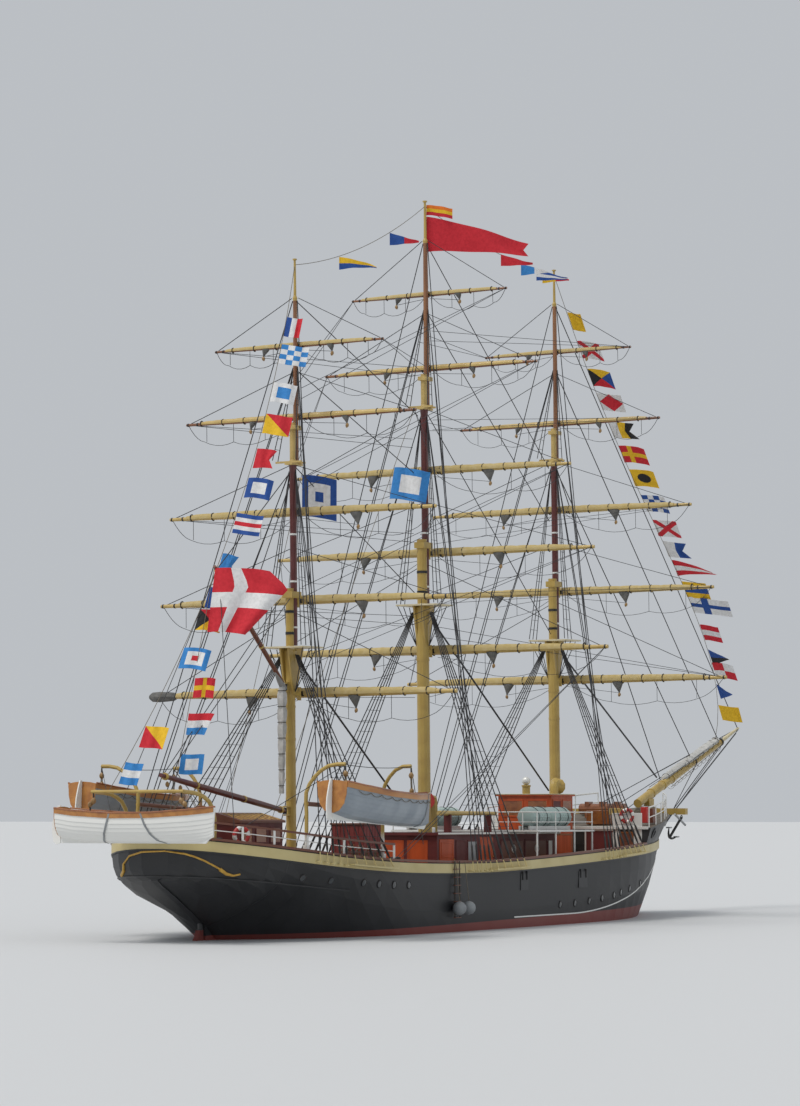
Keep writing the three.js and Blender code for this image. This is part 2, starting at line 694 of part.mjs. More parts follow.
// Yards, from the deck up. ahead: centre of the yard ahead of the mast's mean line.
const YARD_KINDS = [
  // name, ahead, bare radius at the middle, furled depth
  ["course", 0.78, 0.15, 0.12],
  ["lower_topsail", 0.7, 0.135, 0.12],
  ["upper_topsail", 0.66, 0.125, 0.12],
  ["topgallant", 0.5, 0.1, 0.07],
  ["royal", 0.3, 0.08, 0.05],
].map(([name, ahead, radius, furl]) => ({ name, ahead, radius, furl }));
const YARD_SIZES = {
  // height above the waterline and half-length, from the deck up
  mizzen: [
    [8.85, 6.42],
    [12.29, 6.16],
    [15.58, 5.71],
    [19.15, 4.94],
    [21.85, 3.63],
  ],
  main: [
    [10.93, 7.66],
    [14.85, 7.17],
    [18.17, 6.22],
    [22.32, 4.82],
    [25.34, 3.53],
  ],
  fore: [
    [10.22, 7.66],
    [14.07, 7.17],
    [17.64, 6.22],
    [21.45, 4.82],
    [24.61, 3.53],
  ],
};
const TRUSS = { pin: 0.09, ahead: 0.3 }; // pin that a standing yard turns on, and the yard's centre ahead of it

// Where a yard turns: standing yards on their truss pin, hoisting yards on their own part of the mast.
function yardPivot(mast, level) {
  const kind = YARD_KINDS[level];
  if (level < 2) return { x: kind.ahead - TRUSS.ahead, radius: TRUSS.pin };
  if (level === 2) return { x: TOPMAST_AHEAD, radius: mast.topmast };
  return { x: TOPGALLANT_AHEAD, radius: mast.pole * (level === 3 ? 1.1 : 1) };
}

function buildYard(mast, level, rig) {
  const kind = YARD_KINDS[level];
  const [z, half] = YARD_SIZES[mast.name][level];
  const pivot = yardPivot(mast, level);
  const centre = Math.max(kind.ahead, pivot.x + pivot.radius + kind.radius + 0.05) - pivot.x;
  const ring = ([along, radius, furl]) => {
    const sides = 8;
    return Array.from({ length: sides }, (_, i) => {
      const angle = (2 * Math.PI * (i + 0.5)) / sides;
      const up = Math.sin(angle) > 0 ? radius + furl : radius;
      return [centre + (radius + furl * 0.3) * Math.cos(angle), along * half, up * Math.sin(angle)];
    });
  };
  const { radius, furl } = kind;
  const sections = [
    // distance out as a share of the half-length, radius, furled depth
    [1, radius * 0.5, 0],
    [0.9, radius * 0.6, 0],
    [0.86, radius * 0.64, furl * 0.5],
    [0.45, radius * 0.9, furl],
    [0.08, radius, furl],
  ];
  const spar = loft([...sections, ...sections.toReversed().map(([along, ...rest]) => [-along, ...rest])].map(ring));
  const saddle = box(
    [pivot.radius + RUNNING_GAP, -0.12, -radius * 0.7],
    [centre, 0.12, radius * 0.7],
  );
  const name = `${mast.name}_${kind.name}_yard`;
  const colour = level < 3 ? "buff" : "varnish";
  add(name, colour, join(spar, saddle), rig).position.set(pivot.x, 0, z - RAKE_CENTRE_Z);
}

// Lugs above and below the tongues that the spanker's boom and gaff turn on.
function goosenecks(mast) {
  const { half, lug, reach } = GOOSENECK;
  return [BOOM.foot, GAFF.foot].flatMap((z) =>
    [z - half - RUNNING_GAP - lug, z + half + RUNNING_GAP].map((low) => {
      const x = SPANKER_PIVOT_X - mast.x + RAKE * (z - RAKE_CENTRE_Z);
      const foot = low - RAKE_CENTRE_Z - RAKE * x;
      return box([x - reach, -0.07, foot], [LOWER_AHEAD, 0.07, foot + lug]);
    }),
  );
}

function buildMast(mast) {
  const rig = new THREE.Group();
  rig.position.set(mast.x, 0, RAKE_CENTRE_Z);
  rig.rotation.y = -RAKE;
  ship.add(rig);
  const up = (z) => z - RAKE_CENTRE_Z;
  const { lower, topmast, pole } = mast;
  const head = lower * 0.8;
  const lowerSpar = turned([
    [0, up(mast.foot)],
    [lower, up(mast.foot)],
    [lower * 1.02, up(mast.foot) + 3],
    [lower, up(mast.top) - 0.9],
    [lower * 1.35, up(mast.top) - 0.1],
    [head, up(mast.top) + 0.1],
    [head, up(mast.cap) + 0.12],
    [0, up(mast.cap) + 0.12],
  ]).translate(LOWER_AHEAD, 0, 0);
  const platform = box(
    [TOP.aft, -TOP.half, up(mast.top)],
    [TOP.fore, TOP.half, up(mast.top) + TOP.thickness],
  );
  const cheeks = [-1, 1].map((side) =>
    plate(
      [
        [-CHEEK.aft, up(mast.top) + 0.02],
        [LOWER_AHEAD - CHEEK.foot, up(mast.top) - CHEEK.depth],
        [LOWER_AHEAD + CHEEK.foot, up(mast.top) - CHEEK.depth],
        [CHEEK.fore, up(mast.top) + 0.02],
      ],
      CHEEK.thickness,
    ).translate(0, side * CHEEK.apart, 0),
  );
  const cap = box(
    [LOWER_AHEAD - head - 0.04, -CAP.half, up(mast.cap) - CAP.height],
    [TOPMAST_AHEAD + topmast + CAP.ahead, CAP.half, up(mast.cap)],
  );
  const cranes = [0, 1].map((level) => {
    const { x } = yardPivot(mast, level);
    const z = up(YARD_SIZES[mast.name][level][0]);
    const root = level ? TOPMAST_AHEAD + topmast + 0.04 : LOWER_AHEAD;
    const foot = level ? up(mast.cap) - CAP.height : z - 0.1;
    return [
      box([root, -0.06, Math.min(foot, z - 0.1)], [x, 0.06, Math.max(foot, z - 0.1) + 0.14]),
      bar([x, 0, z - 0.26], [x, 0, Math.max(foot, z + 0.18) + 0.05], TRUSS.pin - 0.01, 10),
    ];
  });
  const lugs = mast.name !== "mizzen" ? [] : goosenecks(mast);
  const topmastBore = bar(
    [TOPMAST_AHEAD, 0, up(mast.top) + TOP.thickness + 0.05],
    [TOPMAST_AHEAD, 0, up(mast.cap) + 0.5],
    topmast + 0.008,
    16,
  );
  add(
    `${mast.name}_lower_mast`,
    "buff",
    cut(join(lowerSpar, platform, ...cheeks, cap, ...cranes.flat(), ...lugs), topmastBore),
    rig,
  );
  const heel = up(mast.top) + TOP.thickness + 0.05 + GAP;
  const topmastSpar = turned([
    [0, heel],
    [topmast, heel],
    [topmast, up(mast.trees) - 0.3],
    [topmast * 1.2, up(mast.trees)],
    [topmast * 0.85, up(mast.trees) + 0.12],
    [topmast * 0.85, up(mast.topmastCap) + 0.1],
    [0, up(mast.topmastCap) + 0.1],
  ]).translate(TOPMAST_AHEAD, 0, 0);
  const trees = [
    box([-0.2, -0.55, up(mast.trees) - 0.03], [-0.12, 0.55, up(mast.trees) + 0.04]),
    box([0.32, -0.4, up(mast.trees) - 0.03], [0.4, 0.4, up(mast.trees) + 0.04]),
    box([-0.2, -0.16, up(mast.trees) - 0.09], [0.62, 0.16, up(mast.trees) - 0.02]),
  ];
  const topmastCap = box(
    [TOPMAST_AHEAD - topmast - 0.03, -0.18, up(mast.topmastCap) - 0.16],
    [TOPGALLANT_AHEAD + pole + 0.08, 0.18, up(mast.topmastCap)],
  );
  const topgallantBore = bar(
    [TOPGALLANT_AHEAD, 0, up(mast.trees) + 0.08],
    [TOPGALLANT_AHEAD, 0, up(mast.topmastCap) + 0.5],
    pole * 1.1 + 0.006,
    14,
  );
  add(`${mast.name}_topmast`, "redbrown", cut(join(topmastSpar, ...trees, topmastCap), topgallantBore), rig);
  const hounds = up(mast.royal);
  const topgallant = turned(
    [
      [0, up(mast.trees) + 0.08 + GAP],
      [pole * 1.1, up(mast.trees) + 0.08 + GAP],
      [pole * 1.1, up(mast.topmastCap) + 0.3],
      [pole * 0.85, hounds],
      [pole * 1.0, hounds + 0.1],
      [pole * 0.6, hounds + 0.2],
      [pole * 0.45, up(mast.truck) - 0.06],
      [pole * 0.9, up(mast.truck) - 0.05],
      [pole * 0.9, up(mast.truck)],
      [0, up(mast.truck) + 0.02],
    ],
    10,
  ).translate(TOPGALLANT_AHEAD, 0, 0);
  add(`${mast.name}_topgallant_mast`, "varnish", topgallant, rig);
  for (let level = 0; level < YARD_KINDS.length; level++) buildYard(mast, level, rig);
}

// A place on the raked mast's mean line.
const onMast = (mast, z, ahead = 0) => [mast.x - RAKE * (z - RAKE_CENTRE_Z) + ahead, 0, z];

// Shrouds: five to a side, set up on a channel outside the bulwark, all ending at the lower mast's head.
const SHROUDS = {
  count: 5,
  radius: 0.03,
  spacing: 0.62,
  channel: { reach: 0.38, thickness: 0.07 },
};

function buildShrouds(mast, side) {
  const { count, radius, spacing, channel } = SHROUDS;
  const first = mast.firstShroud;
  const last = first - spacing * (count - 1);
  const ends = [mast.x + first + 0.25, mast.x + last - 0.25];
  const edge = (x, out) => side * (skin(x, sheer(x) - 0.25) + out);
  const steps = [0, 1, 2, 3].map((i) => mix(ends[0], ends[1], i / 3));
  const low = (x) => sheer(x) - 0.3;
  const board = loft(
    steps.map((x) => [
      [x, edge(x, 0.03), low(x)],
      [x, edge(x, channel.reach), low(x)],
      [x, edge(x, channel.reach), low(x) + channel.thickness],
      [x, edge(x, 0.03), low(x) + channel.thickness],
    ]),
  );
  const [headX, , headZ] = onMast(mast, mast.top - 0.25, LOWER_AHEAD);
  const lines = Array.from({ length: count }, (_, i) => {
    const x = mast.x + first - spacing * i;
    const foot = [x, edge(x, channel.reach - 0.09), low(x) + channel.thickness - 0.02];
    const out = side * (mast.lower * 1.35 + 0.06);
    return bar(foot, [headX + 0.12 - 0.06 * i, out, headZ], radius, 5);
  });
  const eye = box(
    [headX - 0.2, Math.min(side * (mast.lower * 1.35 + 0.02), side * (mast.lower * 1.35 + 0.1)), headZ - 0.06],
    [headX + 0.2, Math.max(side * (mast.lower * 1.35 + 0.02), side * (mast.lower * 1.35 + 0.1)), headZ + 0.06],
  );
  const name = `${mast.name}_shrouds_${side < 0 ? "starboard" : "port"}`;
  add(name, "wire", join(board, ...lines, eye));
}

const BOWSPRIT = { heel: [19.4, 4.93], end: [29.45, 7.98], tip: [31.7, 8.68], radius: 0.21, sail: 0.24 };

const bowspritZ = (x) =>
  mix(BOWSPRIT.heel[1], BOWSPRIT.end[1], (x - BOWSPRIT.heel[0]) / (BOWSPRIT.end[0] - BOWSPRIT.heel[0]));

function buildBowsprit() {
  const { heel, end, tip, radius } = BOWSPRIT;
  const ring = ([x, r, furl]) =>
    Array.from({ length: 10 }, (_, i) => {
      const angle = (2 * Math.PI * i) / 10;
      const up = Math.sin(angle) > 0 ? r + furl : r;
      return [x, (r + furl * 0.2) * Math.cos(angle), bowspritZ(x) + up * Math.sin(angle)];
    });
  const spar = loft(
    [
      // x, radius of the spar, depth of the sails furled on it
      [heel[0], radius, 0],
      [20.6, radius, 0],
      [20.9, radius, 0.2],
      [22.5, radius, 0.34],
      [25.5, 0.2, 0.26],
      [28.6, 0.17, 0.22],
      [29.2, 0.16, 0],
      [end[0], 0.16, 0],
    ].map(ring),
  );
  const jibBoom = bar([end[0] - 0.1, 0, end[1] - 0.03], [tip[0], 0, tip[1]], 0.1, 8, 0.06);
  const bed = box([20.2, -0.24, forecastleTop(20.7) + 0.03], [20.75, 0.24, bowspritZ(20.5)]);
  const post = box([19.5, -0.16, forecastleTop(19.8) + 0.03], [19.8, 0.16, bowspritZ(19.6)]);
  add("bowsprit", "white", join(spar, jibBoom, bed, post));
}

// The lowest stay of each mast, from its head down and forward.
function buildStays() {
  const [mizzen, main, fore] = MASTS;
  const stays = [
    // name, mast, height at the mast, foot
    ["fore_stay", fore, fore.top - 0.25, [21.6, 0, bowspritZ(21.6) + 0.55]],
    ["main_stay", main, main.top - 0.25, [9.95, 0, 5.45]],
    ["mizzen_stay", mizzen, mizzen.top - 0.25, [-2.2, 0, 3.95]],
  ];
  for (const [name, mast, height, foot] of stays)
    add(name, "wire", bar(onMast(mast, height, LOWER_AHEAD + mast.lower * 1.35 + 0.05), foot, 0.04, 6));
}

// Boats: open clinker-built hulls with a transom at one end.
const BOAT = { length: 7.1, beam: 1.9, depth: 1.15, shell: 0.06 };
const STERN_BOAT = { length: 6.1, beam: 1.55, depth: 1.05, shell: 0.06 };

// Sections from transom to stem, as shares of the half-beam and depth.
const BOAT_SECTIONS = [
  // along, breadth, floor height, sheer height
  [0, 0.62, 0.2, 1.08],
  [0.15, 0.85, 0.08, 1.02],
  [0.4, 1, 0.03, 0.97],
  [0.65, 0.93, 0.03, 0.98],
  [0.85, 0.58, 0.06, 1.04],
  [0.96, 0.2, 0.12, 1.1],
  [1, 0.04, 0.22, 1.12],
];

function boatShape({ length, beam, depth }, inset) {
  const ring = ([along, breadth, floor, top]) => {
    const x = (along - 0.5) * (length - 2 * inset);
    const half = Math.max(0.02, (breadth * beam) / 2 - inset);
    const [low, high] = [floor * depth + inset, top * depth + (inset ? 0.3 : 0)];
    const bilge = [0.12, 0.5, 0.8, 0.95, 1].map((share, i) => [half * share, mix(low, high, [0, 0.08, 0.3, 0.6, 1][i])]);
    return acrossRing(x, bilge);
  };
  return loft(BOAT_SECTIONS.map(ring));
}

function boat(size) {
  const keel = plate(
    [
      [-size.length / 2 + 0.05, 0.24 * size.depth],
      [-size.length / 2 + 0.02, 0],
      [size.length * 0.44, 0],
      [size.length * 0.492, 0.26 * size.depth],
    ],
    0.09,
  );
  const rim = loft(
    BOAT_SECTIONS.map(([along, breadth, , top]) => {
      const x = (along - 0.5) * size.length;
      const half = Math.max(0.05, (breadth * size.beam) / 2 + 0.02);
      const z = top * size.depth;
      return acrossRing(x, [
        [half, z - 0.07],
        [half, z],
      ]);
    }),
  );
  const hollow = boatShape(size, size.shell);
  const shell = geometryOf(solid(boatShape(size, 0)).add(solid(rim)).subtract(solid(hollow)));
  return join(shell, keel);
}

const QUARTER_BOAT_PLACE = { x: -14.6, y: 5.15, z: 4.02, tilt: 0.052 };
const STERN_BOAT_PLACE = { x: -22.42, z: 3.4 };

function buildBoats() {
  for (const [name, side] of [
    ["starboard_boat", -1],
    ["port_boat", 1],
  ]) {
    const mesh = add(name, "white", boat(BOAT));
    mesh.position.set(QUARTER_BOAT_PLACE.x, side * QUARTER_BOAT_PLACE.y, QUARTER_BOAT_PLACE.z);
    mesh.rotation.y = QUARTER_BOAT_PLACE.tilt;
  }
  const stern = add("stern_boat", "white", boat(STERN_BOAT));
  stern.position.set(STERN_BOAT_PLACE.x, 0, STERN_BOAT_PLACE.z);
  stern.rotation.z = -Math.PI / 2;
}

// Davits: curved arms in pairs, joined by the spar that each boat is griped against.
const DAVIT_XS = [-17, -12.15];
const DAVIT_INSET = 0.36; // inside the edge of the hull
const PEDESTAL_RADIUS = 0.13;

function buildDavits() {
  for (const [name, side] of [
    ["starboard_davits", -1],
    ["port_davits", 1],
  ]) {
    const arms = DAVIT_XS.map((x) => {
      const y = halfBreadth(x) - DAVIT_INSET;
      const foot = sheer(x - PEDESTAL_RADIUS) - QUARTERDECK_DEPTH + DECK_GAP;
      const head = QUARTER_BOAT_PLACE.y - 0.1;
      return [
        tube(
          [
            [x, side * y, foot + 0.4],
            [x, side * y, 4.4],
            [x, side * y, 5.2],
            [x, side * mix(y, head, 0.25), 5.75],
            [x, side * mix(y, head, 0.6), 6.08],
            [x, side * head, 6.12],
          ],
          0.07,
          8,
          12,
        ),
        bar([x, side * y, foot], [x, side * y, foot + 0.6], PEDESTAL_RADIUS, 8),
      ];
    });
    const [aftY, foreY] = DAVIT_XS.map((x) => side * (halfBreadth(x) - DAVIT_INSET));
    const spar = bar([DAVIT_XS[0], aftY, 4.75], [DAVIT_XS[1], foreY, 4.55], 0.08, 8);
    add(name, "buff", join(...arms.flat(), spar));
  }
  const [footX, headX, half] = [-20.32, STERN_BOAT_PLACE.x, 1.77];
  const sternArms = [-1, 1].map((side) =>
    tube(
      [
        [footX, side * half, sheer(-20.7) - QUARTERDECK_DEPTH + DECK_GAP],
        [footX, side * half, 4.3],
        [mix(footX, headX, 0.12), side * half, 4.75],
        [mix(footX, headX, 0.45), side * half, 5.05],
        [headX, side * half, 5.15],
      ],
      0.075,
      8,
      10,
    ),
  );
  const crossBar = bar([headX, -half - 0.08, 5.15], [headX, half + 0.08, 5.15], 0.06, 8);
  add("stern_davits", "buff", join(...sternArms, crossBar));
}

// Spanker boom and gaff, both hinged on the after side of the mizzen.
const SPANKER_PIVOT_X = -12.5;
const GOOSENECK = { radius: 0.075, half: 0.115, lug: 0.05, reach: 0.05 };
const BOOM = { foot: 4.52, end: [-20.95, 5.72], radius: 0.115 };
const GAFF = { foot: 9.05, end: [-17.5, 13.15], radius: 0.09 };
const SPANKER_BUNDLE = { low: 5.15, high: 8.75, radius: 0.2, x: -12.76 };

function buildSpanker() {
  const { half } = GOOSENECK;
  const boom = [
    // share of the length, share of the full radius
    [0, 0.5],
    [0.04, 0.85],
    [0.35, 1],
    [0.75, 0.95],
    [1, 0.65],
  ];
  const sparAlong = (foot, end, radius) =>
    boom.slice(1).map(([share, full], i) => {
      const [last, lastFull] = boom[i];
      const at = (t) => [mix(SPANKER_PIVOT_X - 0.02, end[0], t), 0, mix(foot, end[1], t)];
      return bar(at(last), at(share === 1 ? share : share + 0.002), radius * lastFull, 10, radius * full);
    });
  const tongue = (z) => bar([SPANKER_PIVOT_X, 0, z - half], [SPANKER_PIVOT_X, 0, z + half], GOOSENECK.radius, 10);
  add("spanker_boom", "redbrown", join(...sparAlong(BOOM.foot, BOOM.end, BOOM.radius), tongue(BOOM.foot)));
  const { low, high, radius, x } = SPANKER_BUNDLE;
  const bundle = turned(
    [
      [0, low],
      [radius * 0.6, low],
      [radius * 0.75, mix(low, high, 0.2)],
      [radius, mix(low, high, 0.6)],
      [radius * 0.95, high],
      [0, high + 0.5],
    ],
    10,
  ).translate(x, 0, 0);
  const gaff = sparAlong(GAFF.foot, GAFF.end, GAFF.radius);
  add("spanker_gaff", "redbrown", join(...gaff, tongue(GAFF.foot), bundle));
}

buildHull();
buildForecastle();
buildRails();
buildMidshipHouse();
buildRaftDeck();
buildForeHouse();
buildAfterDeck();
buildRudderAndPropeller();
buildWindlass();
for (const mast of MASTS) {
  buildMast(mast);
  buildShrouds(mast, -1);
  buildShrouds(mast, 1);
}
buildBowsprit();
buildStays();
buildBoats();
buildDavits();
buildSpanker();

ship.scale.setScalar(MODEL_SCALE * MILLIMETRES_PER_METRE);

export default ship;
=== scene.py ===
"""Dresses the half-size model of a three-masted full-rigged ship: paint, planking, rigging, boats and flags.

Every size here is the full-size ship's, in metres, with +X to the bow, +Y to port and the waterline at zero.
MODEL_SCALE turns it into the model's metres.
"""

from __future__ import annotations

import json
import logging
import math
import random
from dataclasses import dataclass
from enum import Enum
from typing import Callable, Iterable, Sequence

import bmesh
import bpy
from mathutils import Matrix, Vector
from mathutils.bvhtree import BVHTree

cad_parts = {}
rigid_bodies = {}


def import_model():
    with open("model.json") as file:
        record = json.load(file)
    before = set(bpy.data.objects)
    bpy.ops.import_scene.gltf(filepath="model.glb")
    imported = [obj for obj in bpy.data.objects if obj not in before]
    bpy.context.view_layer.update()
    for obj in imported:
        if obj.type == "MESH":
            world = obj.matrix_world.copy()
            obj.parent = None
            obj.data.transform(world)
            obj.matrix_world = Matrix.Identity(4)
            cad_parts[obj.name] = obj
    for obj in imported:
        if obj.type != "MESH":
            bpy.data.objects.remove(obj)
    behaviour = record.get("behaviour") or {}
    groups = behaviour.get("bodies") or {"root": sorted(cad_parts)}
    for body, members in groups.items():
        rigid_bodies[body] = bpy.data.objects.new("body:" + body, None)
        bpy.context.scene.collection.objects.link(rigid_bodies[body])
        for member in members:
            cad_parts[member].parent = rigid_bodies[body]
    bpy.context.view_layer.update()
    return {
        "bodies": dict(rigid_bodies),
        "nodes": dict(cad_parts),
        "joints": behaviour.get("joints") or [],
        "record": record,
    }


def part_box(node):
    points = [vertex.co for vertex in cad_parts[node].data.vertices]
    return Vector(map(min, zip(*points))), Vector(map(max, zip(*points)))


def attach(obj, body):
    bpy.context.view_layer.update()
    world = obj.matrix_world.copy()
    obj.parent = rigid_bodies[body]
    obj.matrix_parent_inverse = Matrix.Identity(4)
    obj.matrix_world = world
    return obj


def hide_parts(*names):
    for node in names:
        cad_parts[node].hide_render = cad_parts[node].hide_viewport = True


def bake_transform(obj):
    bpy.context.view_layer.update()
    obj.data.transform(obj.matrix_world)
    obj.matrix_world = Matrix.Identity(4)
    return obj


LOG = logging.getLogger("ship")
MODEL_SCALE = 0.5
SHIP = "ship"
SEED = 7

Point = Sequence[float]
Colour = tuple[float, float, float]
Chooser = Callable[[Vector, Vector], "Finish"]


def mix(a: float, b: float, t: float) -> float:
    """The value a share t of the way from a to b."""
    return a + (b - a) * t


def between(a: Point, b: Point, t: float) -> Vector:
    """The point a share t of the way from a to b."""
    return Vector(a).lerp(Vector(b), t)


AHEAD = Vector((1.0, 0.0, 0.0))
ACROSS = Vector((0.0, 1.0, 0.0))
UP = Vector((0.0, 0.0, 1.0))


def hoop(centre: Point, a: Vector, b: Vector, sides: int, size: float = 1.0) -> list[Vector]:
    """A ring of points round a centre.

    Args:
        centre: its middle.
        a: direction from the middle to the first point.
        b: direction from the middle to the point a quarter of the way round.
        sides: number of points.
        size: the radius, where a and b have unit length.

    Returns:
        The points in turn.
    """
    angles = [2 * math.pi * k / sides for k in range(sides)]
    return [Vector(centre) + (a * math.cos(angle) + b * math.sin(angle)) * size for angle in angles]


# Finishes


class Grain(Enum):
    """The small-scale character of a finish."""

    PAINT = "paint"
    WOOD = "wood"
    PLANKS = "planks"
    CANVAS = "canvas"
    ROPE = "rope"
    CLOTH = "cloth"


@dataclass(frozen=True)
class Finish:
    """A surface finish, and the slot of the record that it belongs to, where it has one."""

    name: str
    slot: str
    colour: Colour
    second: Colour
    roughness: float
    grain: Grain = Grain.PAINT
    size: float = 0.5
    stretch: tuple[float, float, float] = (1.0, 1.0, 1.0)
    bump: float = 0.12
    metallic: float = 0.0
    coat: float = 0.0
    red_below: bool = False

    def material(self) -> bpy.types.Material:
        """The finish's material, made on its first use."""
        return bpy.data.materials.get(self.name) or MaterialMaker(self).make()


@dataclass
class MaterialMaker:
    """Builds the node tree of one finish."""

    finish: Finish
    plank_width: float = 0.14
    plank_length: float = 4.0
    plank_shade: float = 0.7
    seam: float = 0.06
    seam_shade: float = 0.25
    rope_lay: float = 14.0
    bump_depth: float = 0.01
    fine_share: float = 0.12
    ramp_places: tuple[float, float] = (0.38, 0.72)
    red: Colour = (0.22, 0.045, 0.035)
    red_top: float = 0.38
    red_rise: float = 0.012

    def make(self) -> bpy.types.Material:
        """Makes the material.

        Returns:
            The new material, under the finish's name.
        """
        finish = self.finish
        material = bpy.data.materials.new(finish.name)
        material.use_nodes = True
        material.diffuse_color = (*finish.colour, 1.0)
        self.tree = material.node_tree
        coords = self.node("ShaderNodeTexCoord", {}).outputs["Object"]
        scale = [s / (finish.size * MODEL_SCALE) for s in finish.stretch]
        vector = self.node("ShaderNodeMapping", {"Vector": coords, "Scale": scale}).outputs["Vector"]
        factor, height = self.pattern(vector, coords)
        colour = self.blend(factor, finish.colour, finish.second)
        if finish.red_below:
            colour = self.boot_topping(coords, colour)
        bump = self.node("ShaderNodeBump", {
            "Strength": finish.bump, "Distance": self.bump_depth * MODEL_SCALE, "Height": height,
        })
        self.fill(self.tree.nodes["Principled BSDF"], {
            "Metallic": finish.metallic, "Coat Weight": finish.coat, "Base Color": colour,
            "Roughness": self.spread(factor, finish.roughness), "Normal": bump.outputs["Normal"],
        })
        return material

    def node(self, kind: str, inputs: dict[str | int, object], **options: str) -> bpy.types.Node:
        """Adds a node.

        Args:
            kind: its type.
            inputs: what its inputs are set to, or the sockets that feed them.
            options: its own settings.

        Returns:
            The node.
        """
        made = self.tree.nodes.new(kind)
        for name, value in options.items():
            setattr(made, name, value)
        self.fill(made, inputs)
        return made

    def fill(self, node: bpy.types.Node, inputs: dict[str | int, object]) -> None:
        """Sets or feeds a node's inputs.

        Args:
            node: the node.
            inputs: what its inputs are set to, or the sockets that feed them.
        """
        for name, value in inputs.items():
            if isinstance(value, bpy.types.NodeSocket):
                self.tree.links.new(value, node.inputs[name])
            else:
                node.inputs[name].default_value = value

    def noise(self, vector: bpy.types.NodeSocket, scale: float, detail: float) -> bpy.types.NodeSocket:
        """A noise texture's value.

        Args:
            vector: where the texture is read.
            scale: marks per unit of the vector.
            detail: octaves.

        Returns:
            The socket with the noise from 0 to 1.
        """
        node = self.node("ShaderNodeTexNoise", {"Vector": vector, "Scale": scale, "Detail": detail})
        return node.outputs["Fac"]

    def pattern(
        self, vector: bpy.types.NodeSocket, coords: bpy.types.NodeSocket
    ) -> tuple[bpy.types.NodeSocket, bpy.types.NodeSocket]:
        """The finish's pattern.

        Args:
            vector: coordinates stretched to the grain's size.
            coords: the object's coordinates.

        Returns:
            The sockets that mix the colours and that raise the surface.
        """
        grain = self.finish.grain
        mottle = self.noise(vector, 1.0, 6.0)
        if grain is Grain.PLANKS:
            planks = self.node("ShaderNodeTexBrick", {
                "Vector": coords, "Scale": 1.0, "Mortar Size": self.seam * self.plank_width * MODEL_SCALE,
                "Brick Width": self.plank_length * MODEL_SCALE, "Row Height": self.plank_width * MODEL_SCALE,
                "Color1": (1.0, 1.0, 1.0, 1.0), "Color2": (*[self.plank_shade] * 3, 1.0),
                "Mortar": (*[self.seam_shade] * 3, 1.0),
            })
            inputs = {0: planks.outputs["Color"], 1: mottle}
            product = self.node("ShaderNodeMath", inputs, operation="MULTIPLY")
            return product.outputs[0], planks.outputs["Color"]
        if grain is Grain.ROPE:
            inputs = {"Vector": coords, "Scale": self.rope_lay / MODEL_SCALE}
            wave = self.node("ShaderNodeTexWave", inputs, bands_direction="DIAGONAL")
            return wave.outputs["Fac"], wave.outputs["Fac"]
        if grain in (Grain.CANVAS, Grain.CLOTH):
            return mottle, self.noise(vector, 3.0, 4.0)
        return mottle, self.noise(vector, 6.0, 3.0)

    def blend(self, factor: bpy.types.NodeSocket, low: Colour, high: Colour) -> bpy.types.NodeSocket:
        """Mixes two colours.

        Args:
            factor: the pattern.
            low: colour of most of the surface.
            high: colour of the marks.

        Returns:
            The mixed colour's socket.
        """
        ramp = self.node("ShaderNodeValToRGB", {"Fac": factor})
        for element, place, colour in zip(ramp.color_ramp.elements, self.ramp_places, (low, high)):
            element.position = place
            element.color = (*colour, 1.0)
        return ramp.outputs["Color"]

    def spread(self, factor: bpy.types.NodeSocket, middle: float) -> bpy.types.NodeSocket:
        """Roughness that varies a little with the pattern.

        Args:
            factor: the pattern.
            middle: the finish's roughness.

        Returns:
            The roughness's socket.
        """
        lowest, highest = max(0.05, middle - self.fine_share), min(1.0, middle + self.fine_share)
        node = self.node("ShaderNodeMapRange", {"Value": factor, "To Min": lowest, "To Max": highest})
        return node.outputs["Result"]

    def boot_topping(self, coords: bpy.types.NodeSocket, above: bpy.types.NodeSocket) -> bpy.types.NodeSocket:
        """Paints the hull red below a line just over the water.

        Args:
            coords: the object's coordinates.
            above: the topsides' colour.

        Returns:
            The colour's socket.
        """
        parts = self.node("ShaderNodeSeparateXYZ", {"Vector": coords})
        inputs = {0: parts.outputs["X"], 1: self.red_rise, 2: self.red_top * MODEL_SCALE}
        line = self.node("ShaderNodeMath", inputs, operation="MULTIPLY_ADD")
        inputs = {0: parts.outputs["Z"], 1: line.outputs[0]}
        over = self.node("ShaderNodeMath", inputs, operation="GREATER_THAN")
        choice = self.node("ShaderNodeMix", {"Factor": over.outputs[0]}, data_type="RGBA")
        below, higher = [s for s in choice.inputs if s.type == "RGBA"]
        below.default_value = (*self.red, 1.0)
        self.tree.links.new(above, higher)
        return next(s for s in choice.outputs if s.type == "RGBA")


TOPSIDE = Finish(
    "topside_black", "black_hull", (0.011, 0.0115, 0.013), (0.024, 0.025, 0.027), 0.5, size=1.6,
    stretch=(1.0, 1.0, 0.5), bump=0.08, coat=0.05, red_below=True,
)
BLACK = Finish("black_paint", "black_hull", (0.02, 0.021, 0.022), (0.04, 0.04, 0.042), 0.45)
STRAKE = Finish("strake_cream", "buff_paint", (0.62, 0.52, 0.25), (0.54, 0.44, 0.2), 0.45, size=0.9)
BUFF = Finish("mast_buff", "buff_paint", (0.5, 0.35, 0.09), (0.42, 0.28, 0.07), 0.42, size=0.6, coat=0.2)
YARD_BUFF = Finish("yard_buff", "buff_paint", (0.58, 0.42, 0.15), (0.46, 0.32, 0.1), 0.45, size=0.5, coat=0.1)
PALE_BUFF = Finish("pale_buff", "buff_paint", (0.68, 0.6, 0.4), (0.58, 0.5, 0.3), 0.5)
